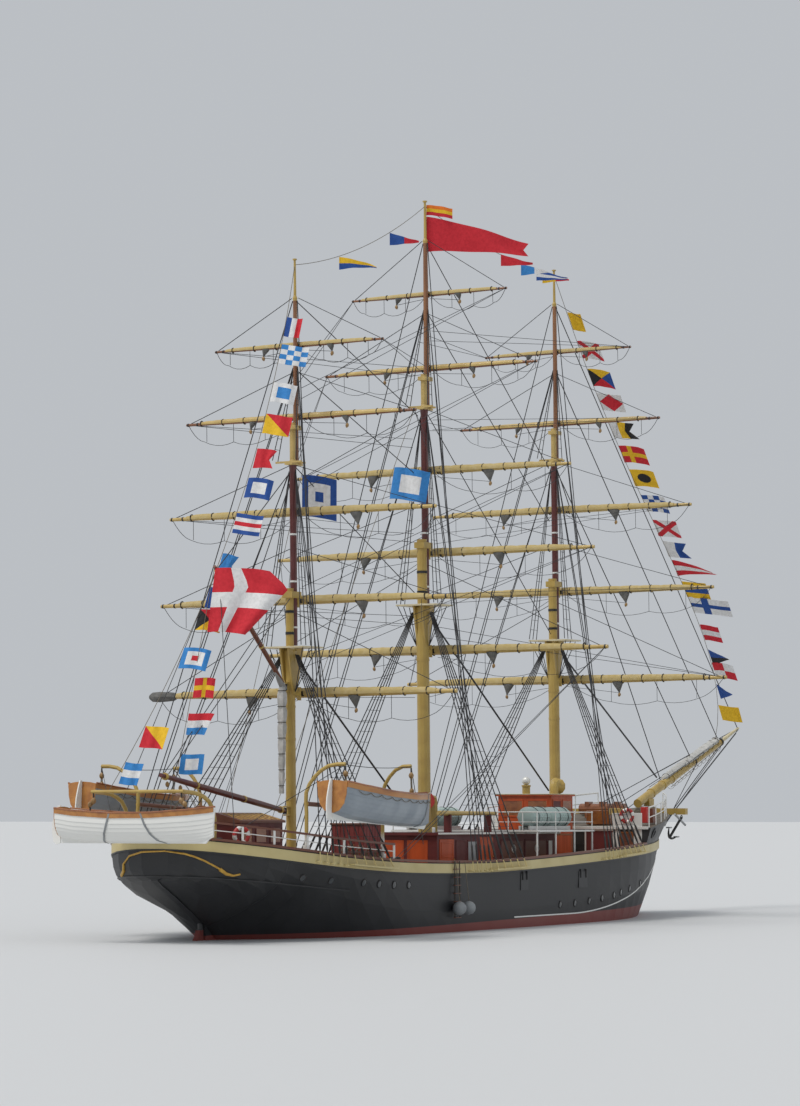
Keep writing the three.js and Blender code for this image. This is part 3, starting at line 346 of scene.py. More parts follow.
MAROON = Finish("mast_maroon", "redbrown_paint", (0.1, 0.022, 0.02), (0.14, 0.035, 0.03), 0.35, coat=0.3)
RED_HOUSE = Finish("house_red", "redbrown_paint", (0.14, 0.024, 0.022), (0.1, 0.019, 0.018), 0.5)
RED_PLANKS = Finish("plank_red", "redbrown_paint", (0.23, 0.035, 0.032), (0.16, 0.025, 0.024), 0.5)
ORANGE = Finish(
    "door_orange", "varnished_wood", (0.56, 0.085, 0.014), (0.4, 0.06, 0.01), 0.5, Grain.WOOD, 0.3,
    (1.0, 1.0, 0.1), coat=0.1,
)
VARNISH = Finish(
    "varnished_teak", "varnished_wood", (0.34, 0.12, 0.035), (0.2, 0.06, 0.02), 0.3, Grain.WOOD, 0.25,
    (0.12, 1.0, 1.0), coat=0.5,
)
BOAT_VARNISH = Finish(
    "boat_varnish", "varnished_wood", (0.5, 0.22, 0.055), (0.34, 0.13, 0.035), 0.4, Grain.WOOD, 0.25,
    (0.12, 1.0, 1.0), coat=0.2,
)
VARNISH_SPAR = Finish(
    "varnished_spar", "varnished_wood", (0.26, 0.1, 0.035), (0.15, 0.05, 0.02), 0.35, Grain.WOOD, 0.2,
    (1.0, 0.1, 1.0), coat=0.4,
)
VARNISH_MAST = Finish(
    "varnished_mast", "varnished_wood", (0.3, 0.13, 0.05), (0.18, 0.07, 0.03), 0.35, Grain.WOOD, 0.2,
    (1.0, 1.0, 0.08), coat=0.4,
)
DARK_WOOD = Finish(
    "dark_wood", "dark_wood", (0.07, 0.025, 0.018), (0.11, 0.045, 0.03), 0.4, Grain.WOOD, 0.3,
    (0.12, 1.0, 1.0), coat=0.2,
)
DECK = Finish("deck_planks", "deck_planks", (0.2, 0.14, 0.085), (0.42, 0.33, 0.22), 0.7, Grain.PLANKS, 0.6)
RAFT_PLANKS = Finish(
    "raft_planks", "dark_wood", (0.05, 0.02, 0.018), (0.13, 0.06, 0.05), 0.6, Grain.PLANKS, 0.6,
)
FORE_PLANKS = Finish(
    "forecastle_planks", "deck_planks", (0.13, 0.11, 0.085), (0.24, 0.2, 0.155), 0.7, Grain.PLANKS, 0.6,
)
WHITE = Finish("white_paint", "white_paint", (0.74, 0.75, 0.74), (0.62, 0.63, 0.62), 0.4, size=0.8)
# Painted shade: a blue-grey copy of the boat white for the quarter boats, whose white outer sides stand in
# shade.
BOAT_PAINTED_SHADE = Finish(
    "boat_painted_shade", "boat_white", (0.3, 0.34, 0.38), (0.22, 0.26, 0.3), 0.45, size=0.8, coat=0.1,
)
BOAT_WHITE = Finish(
    "boat_white", "boat_white", (0.66, 0.68, 0.7), (0.54, 0.56, 0.58), 0.4, size=0.8, coat=0.2,
)
CANVAS = Finish("furled_canvas", "", (0.5, 0.38, 0.15), (0.56, 0.45, 0.23), 0.85, Grain.CANVAS, 0.2, bump=0.4)
PALE_CANVAS = Finish(
    "pale_canvas", "", (0.44, 0.44, 0.42), (0.6, 0.59, 0.57), 0.9, Grain.CANVAS, 0.25, bump=0.5,
)
GREY_CANVAS = Finish(
    "grey_canvas", "", (0.26, 0.26, 0.25), (0.42, 0.42, 0.41), 0.9, Grain.CANVAS, 0.25, bump=0.5,
)
DARK_CANVAS = Finish("dark_canvas", "", (0.1, 0.1, 0.095), (0.18, 0.175, 0.165), 0.9, Grain.CANVAS, 0.2)
WIRE = Finish("tarred_wire", "wire", (0.022, 0.022, 0.024), (0.045, 0.045, 0.048), 0.6, Grain.ROPE)
ROPE = Finish("manila_rope", "wire", (0.12, 0.1, 0.075), (0.22, 0.19, 0.14), 0.85, Grain.ROPE)
GASKET = Finish("gasket_rope", "wire", (0.035, 0.026, 0.018), (0.07, 0.055, 0.04), 0.85, Grain.ROPE)
IRON = Finish("black_iron", "wire", (0.025, 0.025, 0.027), (0.06, 0.055, 0.05), 0.5, size=0.2, metallic=0.4)
BLOCK = Finish("block_wood", "varnished_wood", (0.36, 0.22, 0.08), (0.24, 0.13, 0.05), 0.45, Grain.WOOD, 0.1)
GOLD = Finish("gilding", "buff_paint", (0.6, 0.36, 0.06), (0.44, 0.24, 0.04), 0.35, size=0.1, metallic=0.3)
RAFT_SHELL = Finish("raft_shell", "", (0.42, 0.53, 0.5), (0.34, 0.44, 0.42), 0.45, size=0.5)
GLASS = Finish("port_glass", "wire", (0.02, 0.025, 0.03), (0.04, 0.05, 0.055), 0.12, coat=0.5)
RED_PAINT = Finish("signal_red", "redbrown_paint", (0.5, 0.035, 0.03), (0.4, 0.03, 0.025), 0.4)
FENDER = Finish("fender_grey", "white_paint", (0.28, 0.3, 0.31), (0.2, 0.21, 0.22), 0.6)
STEEL = Finish("galvanised_steel", "white_paint", (0.42, 0.43, 0.44), (0.32, 0.33, 0.34), 0.4, metallic=0.6)
RUDDER_RED = Finish("antifouling_red", "antifouling", (0.22, 0.045, 0.035), (0.16, 0.035, 0.03), 0.6)
BRONZE = Finish("cast_bronze", "bronze", (0.5, 0.34, 0.12), (0.36, 0.24, 0.08), 0.35, size=0.15, metallic=0.9)


# Meshes


class Shape:
    """Collects faces in the full-size ship's metres and turns them into one object of the model."""

    def __init__(self, name: str) -> None:
        """An empty shape.

        Args:
            name: the object's name.
        """
        self.name = name
        self.points: list[Vector] = []
        self.faces: list[list[int]] = []
        self.marks: list[int] = []
        self.finishes: list[Finish] = []

    def mark(self, finish: Finish) -> int:
        """The index of a finish in this shape.

        Args:
            finish: the finish.

        Returns:
            Its index.
        """
        if finish not in self.finishes:
            self.finishes.append(finish)
        return self.finishes.index(finish)

    def add(self, points: Iterable[Point], faces: Iterable[Sequence[int]], finish: Finish) -> None:
        """Adds faces.

        Args:
            points: corners.
            faces: indices of each face's corners.
            finish: the faces' finish.
        """
        start = len(self.points)
        self.points.extend(Vector(p) for p in points)
        mark = self.mark(finish)
        for face in faces:
            self.faces.append([start + i for i in face])
            self.marks.append(mark)

    def rings(self, rings: Sequence[Sequence[Point]], finish: Finish, closed: bool = False) -> None:
        """Adds a skin through rings of points.

        Args:
            rings: rings with the same number of points.
            finish: the skin's finish.
            closed: whether the last ring meets the first, instead of both having caps.
        """
        sides = len(rings[0])
        count = len(rings)
        faces: list[list[int]] = []
        for i in range(count if closed else count - 1):
            a, b = i * sides, ((i + 1) % count) * sides
            for j in range(sides):
                k = (j + 1) % sides
                faces.append([a + j, a + k, b + k, b + j])
        if not closed:
            faces.append(list(range(sides)))
            faces.append([(count - 1) * sides + j for j in reversed(range(sides))])
        self.add([p for ring in rings for p in ring], faces, finish)

    def run(
        self, points: Sequence[Point], radius: float | Sequence[float], finish: Finish, sides: int = 6,
        closed: bool = False,
    ) -> None:
        """Adds a round line through points.

        Args:
            points: the line's points.
            radius: one radius, or one at each point.
            finish: the line's finish.
            sides: sides of its section.
            closed: whether it is a loop.
        """
        path = [Vector(p) for p in points]
        last = len(path) - 1
        radii = [radius] * len(path) if isinstance(radius, (int, float)) else list(radius)
        normal = Vector()
        rings = []
        for i, place in enumerate(path):
            before = path[i - 1] if closed or i else path[0]
            after = path[(i + 1) % len(path)] if closed else path[min(i + 1, last)]
            way = (after - before).normalized()
            normal = (normal - way * normal.dot(way)) if i else way.orthogonal()
            normal.normalize()
            rings.append(hoop(place, normal, way.cross(normal), sides, radii[i]))
        self.rings(rings, finish, closed)

    def line(self, start: Point, end: Point, radius: float, finish: Finish, sides: int = 4) -> None:
        """Adds a straight round line."""
        self.run([start, end], radius, finish, sides)

    def sag(
        self, start: Point, end: Point, drop: float, radius: float, finish: Finish, steps: int = 7,
    ) -> None:
        """Adds a line that hangs slack between its ends.

        Args:
            start: one end.
            end: the other end.
            drop: how far its middle hangs below a straight line.
            radius: its radius.
            finish: its finish.
            steps: stretches.
        """
        points = []
        for i in range(steps + 1):
            t = i / steps
            points.append(between(start, end, t) - UP * (4 * drop * t * (1 - t)))
        self.run(points, radius, finish, 4)

    def box(self, low: Point, high: Point, finish: Finish, chamfer: float = 0.012) -> None:
        """Adds a box with its edges taken off.

        Args:
            low: lowest corner.
            high: highest corner.
            finish: its finish.
            chamfer: width of the bevel.
        """
        bm = bmesh.new()
        bmesh.ops.create_cube(bm, size=1.0)
        size = Vector(high) - Vector(low)
        middle = (Vector(high) + Vector(low)) / 2
        for vertex in bm.verts:
            vertex.co = Vector(c * s for c, s in zip(vertex.co, size)) + middle
        width = min(chamfer, min(size) * 0.3)
        bmesh.ops.bevel(bm, geom=bm.edges[:], offset=width, segments=1, affect="EDGES")
        bm.verts.index_update()
        points = [v.co.copy() for v in bm.verts]
        faces = [[v.index for v in face.verts] for face in bm.faces]
        bm.free()
        self.add(points, faces, finish)

    def turned(
        self, start: Point, way: Point, profile: Sequence[tuple[float, float]], finish: Finish,
        sides: int = 12,
    ) -> None:
        """Adds a turned piece.

        Args:
            start: where its axis starts.
            way: the axis's direction.
            profile: distance along the axis and radius, in turn.
            finish: its finish.
            sides: sides of its section.
        """
        axis = Vector(way).normalized()
        normal = axis.orthogonal().normalized()
        other = axis.cross(normal)
        rings = []
        for along, radius in profile:
            rings.append(hoop(Vector(start) + axis * along, normal, other, sides, max(radius, 0.001)))
        self.rings(rings, finish)

    def block(self, place: Point, way: Point, size: float = 0.09) -> None:
        """Adds a pulley block with its strop.

        Args:
            place: its middle.
            way: the direction of the rope that holds it.
            size: its half-length.
        """
        axis = Vector(way).normalized()
        profile = [
            (0.0, 0.02), (size * 0.5, size * 0.6), (size, size * 0.75), (size * 1.5, size * 0.6),
            (size * 2, 0.02),
        ]
        self.turned(Vector(place) - axis * size, axis, profile, BLOCK, 6)

    def ribbon(
        self, edge: Sequence[tuple[Vector, Vector]], depth: float, thickness: float, finish: Finish,
        sink: float = 0.02,
    ) -> None:
        """Adds a flat strip that follows a surface downwards from its upper edge.

        Args:
            edge: places and outward directions along the upper edge.
            depth: the strip's height.
            thickness: how far it stands proud.
            finish: its finish.
            sink: how far it reaches into the surface.
        """
        rings = []
        for place, outward in edge:
            level = Vector((outward.x, outward.y, 0)).normalized()
            inner, outer = place - level * sink, place + level * thickness
            rings.append([inner, outer, outer - UP * depth, inner - UP * depth])
        self.rings(rings, finish)

    def build(self, body: str, *replaced: str, crease: float = 40.0) -> bpy.types.Object:
        """Makes the object.

        Args:
            body: the body that it moves with, or an empty name for none.
            replaced: CAD nodes that it stands for.
            crease: angle over which an edge stays sharp, in degrees.

        Returns:
            The object.
        """
        mesh = bpy.data.meshes.new(self.name)
        mesh.from_pydata([p * MODEL_SCALE for p in self.points], [], self.faces)
        bm = bmesh.new()
        bm.from_mesh(mesh)
        bmesh.ops.recalc_face_normals(bm, faces=bm.faces)
        bm.to_mesh(mesh)
        bm.free()
        for finish in self.finishes:
            mesh.materials.append(finish.material())
        mesh.polygons.foreach_set("material_index", self.marks)
        mesh.shade_smooth()
        mesh.set_sharp_from_angle(angle=math.radians(crease))
        made = bpy.data.objects.new(self.name, mesh)
        bpy.context.scene.collection.objects.link(made)
        if body:
            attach(made, body)
        if replaced:
            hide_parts(*replaced)
        LOG.info("%s: %d faces", self.name, len(self.faces))
        return made

    def bend(self, body: str, start: Point, end: Point) -> None:
        """Makes the object with no body to move with, its place baked into its mesh.

        Args:
            body: the body; not used.
            start: where the ship's hold ends; not used.
            end: where the body's full hold begins; not used.
        """
        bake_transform(self.build(""))


NODE_OBJECTS: dict[str, str] = {}


def node_mesh(node: str) -> bpy.types.Mesh:
    """The mesh of a CAD node."""
    return bpy.data.objects[NODE_OBJECTS[node]].data


@dataclass
class Repainted:
    """A CAD node's own shape, with a finish chosen for each face and its round surfaces smooth."""

    node: str
    body: str
    choose: Chooser
    crease: float = 35.0

    def build(self) -> bpy.types.Object:
        """Makes the object that stands for the node.

        Returns:
            The object.
        """
        mesh = node_mesh(self.node).copy()
        mesh.name = f"{self.node}_painted"
        mesh.materials.clear()
        finishes: list[Finish] = []
        for face in mesh.polygons:
            finish = self.choose(face.center / MODEL_SCALE, face.normal)
            if finish not in finishes:
                finishes.append(finish)
                mesh.materials.append(finish.material())
            face.material_index = finishes.index(finish)
        mesh.shade_smooth()
        mesh.set_sharp_from_angle(angle=math.radians(self.crease))
        made = bpy.data.objects.new(mesh.name, mesh)
        bpy.context.scene.collection.objects.link(made)
        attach(made, self.body)
        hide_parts(self.node)
        LOG.info("%s: %d faces", made.name, len(mesh.polygons))
        return made


def always(finish: Finish) -> Chooser:
    """A chooser that gives every face the same finish."""
    return lambda centre, normal: finish


# The ship's lines


SHEER_LOW_X = -4.0
SHEER_LOW_Z = 2.57
BREAK_X = -9.3
FORECASTLE_X = 11.7
STERN_CENTRE_X = -16.0


def sheer(x: float) -> float:
    """Height of the sheer strake's upper edge.

    Args:
        x: place along the ship.

    Returns:
        Its height above the water.
    """
    d = x - SHEER_LOW_X
    return SHEER_LOW_Z + (0.86 * (-d / 16.25) ** 2.6 if d < 0 else 0.85 * (d / 21.5) ** 1.3)


class HullSkin:
    """The outer surface of the hull and the forecastle, found by looking at it from outside."""

    reach = 30.0
    turns = 48
    refinements = 3

    def __init__(self) -> None:
        """Reads the two CAD nodes."""
        points: list[Vector] = []
        faces: list[list[int]] = []
        for node in ("hull", "forecastle"):
            mesh = node_mesh(node)
            start = len(points)
            points.extend(v.co / MODEL_SCALE for v in mesh.vertices)
            faces.extend([start + i for i in face.vertices] for face in mesh.polygons)
        self.tree = BVHTree.FromPolygons(points, faces)

    def look(self, centre: Vector, outward: Vector) -> tuple[Vector, Vector]:
        """The skin in a direction.

        Args:
            centre: a point inside the ship.
            outward: direction away from it.

        Returns:
            The point on the skin and the skin's normal.
        """
        place, normal, _, _ = self.tree.ray_cast(centre + outward * self.reach, -outward)
        if place is None:
            raise ValueError(f"no skin from {centre} towards {outward}")
        return place, normal

    def side(self, x: float, z: float, side: int = -1) -> tuple[Vector, Vector]:
        """The skin abreast of a place on the centreline, to port for side 1 and to starboard for side -1."""
        return self.look(Vector((x, 0, z)), Vector((0, side, 0)))

    def around(
        self, height: Callable[[float], float], fore_x: float, steps: int = 22,
    ) -> list[tuple[Vector, Vector]]:
        """A line round the whole ship aft of a place, from starboard to port.

        Args:
            height: the line's height at a place along the ship.
            fore_x: where the line starts and ends.
            steps: places along each side.

        Returns:
            Places and normals.
        """
        xs = [mix(fore_x, STERN_CENTRE_X, i / steps) for i in range(steps + 1)]
        found = [self.side(x, height(x)) for x in xs]
        centre = Vector((STERN_CENTRE_X, 0, 0))
        for i in range(1, self.turns):
            angle = math.pi * i / self.turns
            outward = Vector((-math.sin(angle), -math.cos(angle), 0))
            x = STERN_CENTRE_X
            for _ in range(self.refinements):
                centre.z = height(x)
                place, normal = self.look(centre, outward)
                x = place.x
            found.append((place, normal))
        return found + [self.side(x, height(x), 1) for x in reversed(xs)]


@dataclass
class HullDress:
    """Paint, mouldings, ports and side gear of the hull."""

    skin: HullSkin
    strake_fore: float = 20.2
    strake_drop: float = 0.03
    strake_depth: float = 0.35
    strake_steps: int = 110
    knuckle: float = 0.035
    knuckle_fore: float = -14.6
    moulding_sink: float = 0.12
    light_aft: float = -2.0
    light_fore: float = 15.5
    light_steps: int = 40
    port_radius: float = 0.12
    hawse_pipes: tuple[tuple[float, float], ...] = ((17.2, 2.75), (12.6, 3.62))
    ports: tuple[tuple[float, float], ...] = (
        (-17.19, 2.18), (-15.75, 2.06), (-13.89, 1.96), (-12.89, 1.9), (-11.87, 1.85), (-10.79, 1.83),
        (2.14, 0.81), (3.56, 0.84), (4.97, 0.89), (6.27, 0.98), (7.55, 1.07), (8.35, 1.17),
        (9.49, 1.3), (11.2, 1.5),
    )
    plates: tuple[tuple[float, float], ...] = ((-1.55, -0.88), (3.83, 4.64))
    plate_heights: tuple[float, float] = (1.45, 2.1)
    ladder_x: tuple[float, float] = (-7.35, -6.95)
    ladder_foot: float = 0.55
    rung_step: float = 0.3
    fender_radius: float = 0.26
    fender_height: float = 0.9
    rope: tuple[tuple[float, float], ...] = (
        (1.8, 2.26), (1.52, 2.45), (1.5, 2.68), (1.12, 2.96), (0.51, 3.1), (-0.42, 3.14), (-1.11, 3.04),
        (-1.41, 2.94), (-1.7, 2.8), (-2.03, 2.56), (-2.21, 2.36), (-2.37, 2.3), (-2.52, 2.35),
    )

    def build(self) -> None:
        """Builds every piece of the hull's outside."""
        self.paint()
        self.mouldings()
        self.side_ports()
        self.scroll()
        self.ladder()

    def paint(self) -> None:
        """Paints the hull, its rudder and the screw."""
        Repainted("hull", SHIP, always(TOPSIDE), 50.0).build()
        Repainted("rudder", "rudder", lambda c, n: RUDDER_RED if c.z < 0.3 else BLACK).build()
        Repainted("propeller", "propeller", always(BRONZE)).build()

    def mouldings(self) -> None:
        """Builds the cream strake, the counter's moulding and the thin light line."""
        shape = Shape("hull_mouldings")
        steps, sink = self.strake_steps, self.moulding_sink
        edge = self.skin.around(lambda x: sheer(x) - self.strake_drop, self.strake_fore, steps)
        shape.ribbon(edge, self.strake_depth, 0.03, STRAKE, sink)
        foot = self.strake_drop + self.strake_depth
        lower = self.skin.around(lambda x: sheer(x) - foot, self.strake_fore, steps)
        shape.ribbon(lower, 0.05, 0.045, BLACK, sink)
        counter = self.skin.around(self.knuckle_height, self.knuckle_fore, 8)
        shape.run([p + n * 0.01 for p, n in counter], self.knuckle, BLACK, 6)
        count = self.light_steps
        places = [mix(self.light_aft, self.light_fore, i / count) for i in range(count + 1)]
        for side in (-1, 1):
            light = [self.skin.side(x, self.light_height(x), side) for x in places]
            shape.ribbon(light, 0.05, 0.012, WHITE, 0.05)
        shape.build(SHIP)

    def knuckle_height(self, x: float) -> float:
        """Height of the counter's moulding."""
        return mix(2.27, 1.72, min(1.0, max(0.0, (x + 21.0) / 6.2)))

    def light_height(self, x: float) -> float:
        """Height of the thin light line, which rises towards the bow."""
        return 0.45 + 0.75 * max(0.0, (x - 3.5) / 7.0) ** 1.9

    def side_ports(self) -> None:
        """Builds the portholes, the hinged side plates and the hawse pipes on both sides."""
        shape = Shape("side_ports")
        radius = self.port_radius
        rim = [(-0.02, radius + 0.035), (0.02, radius + 0.035), (0.03, radius + 0.01), (0.015, radius)]
        glass = [(-0.02, radius), (0.018, radius * 0.98), (0.022, radius * 0.5)]
        pipe = [(-0.05, 0.24), (0.05, 0.24), (0.06, 0.16), (-0.02, 0.13)]
        low, high = self.plate_heights
        for side in (-1, 1):
            for x, z in self.ports:
                place, normal = self.skin.side(x, z, side)
                shape.turned(place, normal, rim, IRON, 14)
                shape.turned(place, normal, glass, GLASS, 14)
            for fore, aft in self.plates:
                edge = [self.skin.side(mix(fore, aft, t / 2), high, side) for t in range(3)]
                shape.ribbon(edge, high - low, 0.02, BLACK)
                for x in (fore + 0.15, aft - 0.15):
                    top, _ = self.skin.side(x, high + 0.1, side)
                    foot, normal = self.skin.side(x, high - 0.25, side)
                    shape.line(top + normal * 0.03, foot + normal * 0.03, 0.03, IRON, 6)
            for x, z in self.hawse_pipes:
                place, normal = self.skin.side(x, z, side)
                shape.turned(place, normal, pipe, BLACK, 14)
        shape.build(SHIP)

    def scroll(self) -> None:
        """Builds the gilded rope round the bare name place on the counter, and its two end knots."""
        shape = Shape("stern_scroll")
        for tassel in (self.rope[:4], self.rope[-4:]):
            ends = [self.on_counter(y, z) for y, z in tassel]
            shape.run([between(ends[0], ends[1], 0.2), *ends[1:3]], [0.07, 0.06, 0.04], GOLD, 7)
        shape.run([self.on_counter(y, z) for y, z in self.rope], 0.035, GOLD, 6)
        shape.build(SHIP)

    def on_counter(self, y: float, z: float) -> Vector:
        """The point of the counter straight aft of a place across the ship."""
        place, normal = self.skin.look(Vector((STERN_CENTRE_X, y, z)), Vector((-1, 0, 0)))
        return place + normal * 0.02

    def ladder(self) -> None:
        """Builds the rope ladder over the starboard side, and its two ball fenders."""
        shape = Shape("side_ladder")
        aft, fore = self.ladder_x
        ropes = []
        for x in (aft, fore):
            top, _ = self.skin.side(x, sheer(x) - 0.05)
            foot, _ = self.skin.side(x, self.ladder_foot + 0.3)
            low = Vector((x, min(top.y, foot.y) - 0.1, self.ladder_foot))
            ropes.append((top + Vector((0, -0.09, 0.12)), low))
            shape.line(*ropes[-1], 0.022, GASKET, 5)
        count = int((ropes[0][0].z - self.ladder_foot) / self.rung_step)
        rung = Vector((0.04, 0.05, 0.015))
        for i in range(1, count + 1):
            a, b = (between(top, foot, i / count) for top, foot in ropes)
            shape.box(a - rung, b + rung, DARK_WOOD, 0.006)
        radius, height = self.fender_radius, self.fender_height
        ball = ((-1.0, 0.05), (-0.8, 0.6), (-0.4, 0.92), (0.0, 1.0), (0.4, 0.92), (0.8, 0.6), (1.0, 0.05))
        for x in (aft + 0.1, fore + 0.45):
            side, _ = self.skin.side(x, height)
            centre = Vector((x, side.y - radius - 0.03, height))
            shape.turned(centre, UP, [(a * radius, b * radius) for a, b in ball], FENDER, 14)
            shape.line(centre + UP * radius, (x, side.y - 0.12, sheer(x) + 0.05), 0.014, ROPE)
        shape.build(SHIP)


# Masts, yards and rigging


RAKE = 0.02
RAKE_CENTRE_Z = 10.0
LOWER_AHEAD = -0.17
TOPMAST_AHEAD = 0.14
TOPGALLANT_AHEAD = 0.39


@dataclass(frozen=True)
class Mast:
    """One mast's heights and radii."""

    name: str
    x: float
    deck: float
    top: float
    cap: float
    trees: float
    hounds: float
    royal: float
    truck: float
    lower: float
    topmast: float
    pole: float
    first_shroud: float

    def at(self, z: float, ahead: float = 0.0, y: float = 0.0) -> Vector:
        """A point on the raked mast.

        Args:
            z: height.
            ahead: distance ahead of the mast's mean line.
            y: distance to port.

        Returns:
            The point.
        """
        return Vector((self.x - RAKE * (z - RAKE_CENTRE_Z) + ahead, y, z))


MIZZEN = Mast("mizzen", -12.0, 2.3, 10.5, 12.6, 17.4, 20.9, 23.5, 25.08, 0.185, 0.13, 0.09, -0.45)
MAIN = Mast("main", -1.46, 1.75, 12.7, 15.25, 20.7, 24.6, 27.4, 29.13, 0.25, 0.145, 0.105, -0.1)
FORE = Mast("fore", 10.69, 2.2, 11.9, 14.5, 19.8, 23.7, 26.6, 28.22, 0.23, 0.14, 0.1, -0.1)
MASTS = (MIZZEN, MAIN, FORE)


class Sail(Enum):
    """The five yards of a mast, from the deck up."""

    COURSE = "course"
    LOWER_TOPSAIL = "lower_topsail"
    UPPER_TOPSAIL = "upper_topsail"
    TOPGALLANT = "topgallant"
    ROYAL = "royal"


@dataclass(frozen=True)
class YardKind:
    """What a yard and its furled sail look like."""

    sail: Sail
    ahead: float
    radius: float
    furl: float
    spar: Finish
    roll: Finish
    footrope: float
    clew: float


YARD_KINDS = (
    YardKind(Sail.COURSE, 0.78, 0.15, 0.085, YARD_BUFF, CANVAS, 0.95, 0.34),
    YardKind(Sail.LOWER_TOPSAIL, 0.7, 0.135, 0.08, YARD_BUFF, CANVAS, 0.95, 0.42),
    YardKind(Sail.UPPER_TOPSAIL, 0.66, 0.125, 0.08, YARD_BUFF, CANVAS, 0.9, 0.42),
    YardKind(Sail.TOPGALLANT, 0.5, 0.1, 0.055, VARNISH_SPAR, YARD_BUFF, 0.75, 0.4),
    YardKind(Sail.ROYAL, 0.3, 0.08, 0.045, VARNISH_SPAR, CANVAS, 0.6, 0.38),
)
YARD_SIZES: dict[str, tuple[tuple[float, float], ...]] = {
    "mizzen": ((8.85, 6.42), (12.29, 6.16), (15.58, 5.71), (19.15, 4.94), (21.85, 3.63)),
    "main": ((10.93, 7.66), (14.85, 7.17), (18.17, 6.22), (22.32, 4.82), (25.34, 3.53)),
    "fore": ((10.22, 7.66), (14.07, 7.17), (17.64, 6.22), (21.45, 4.82), (24.61, 3.53)),
}
BRACE_HEIGHTS: dict[str, tuple[float, ...]] = {
    "mizzen": (9.4, 12.3, 15.6, 19.4, 22.3),
    "main": (0.0, 10.2, 12.8, 16.8, 20.2),
    "fore": (11.9, 13.2, 15.6, 20.2, 23.8),
}
BRACE_HOLDERS: dict[str, tuple[Mast, float, float]] = {
    "mizzen": (MAIN, -0.3, 0.35), "main": (MIZZEN, 0.3, 0.4), "fore": (MAIN, 0.3, 0.4),
}


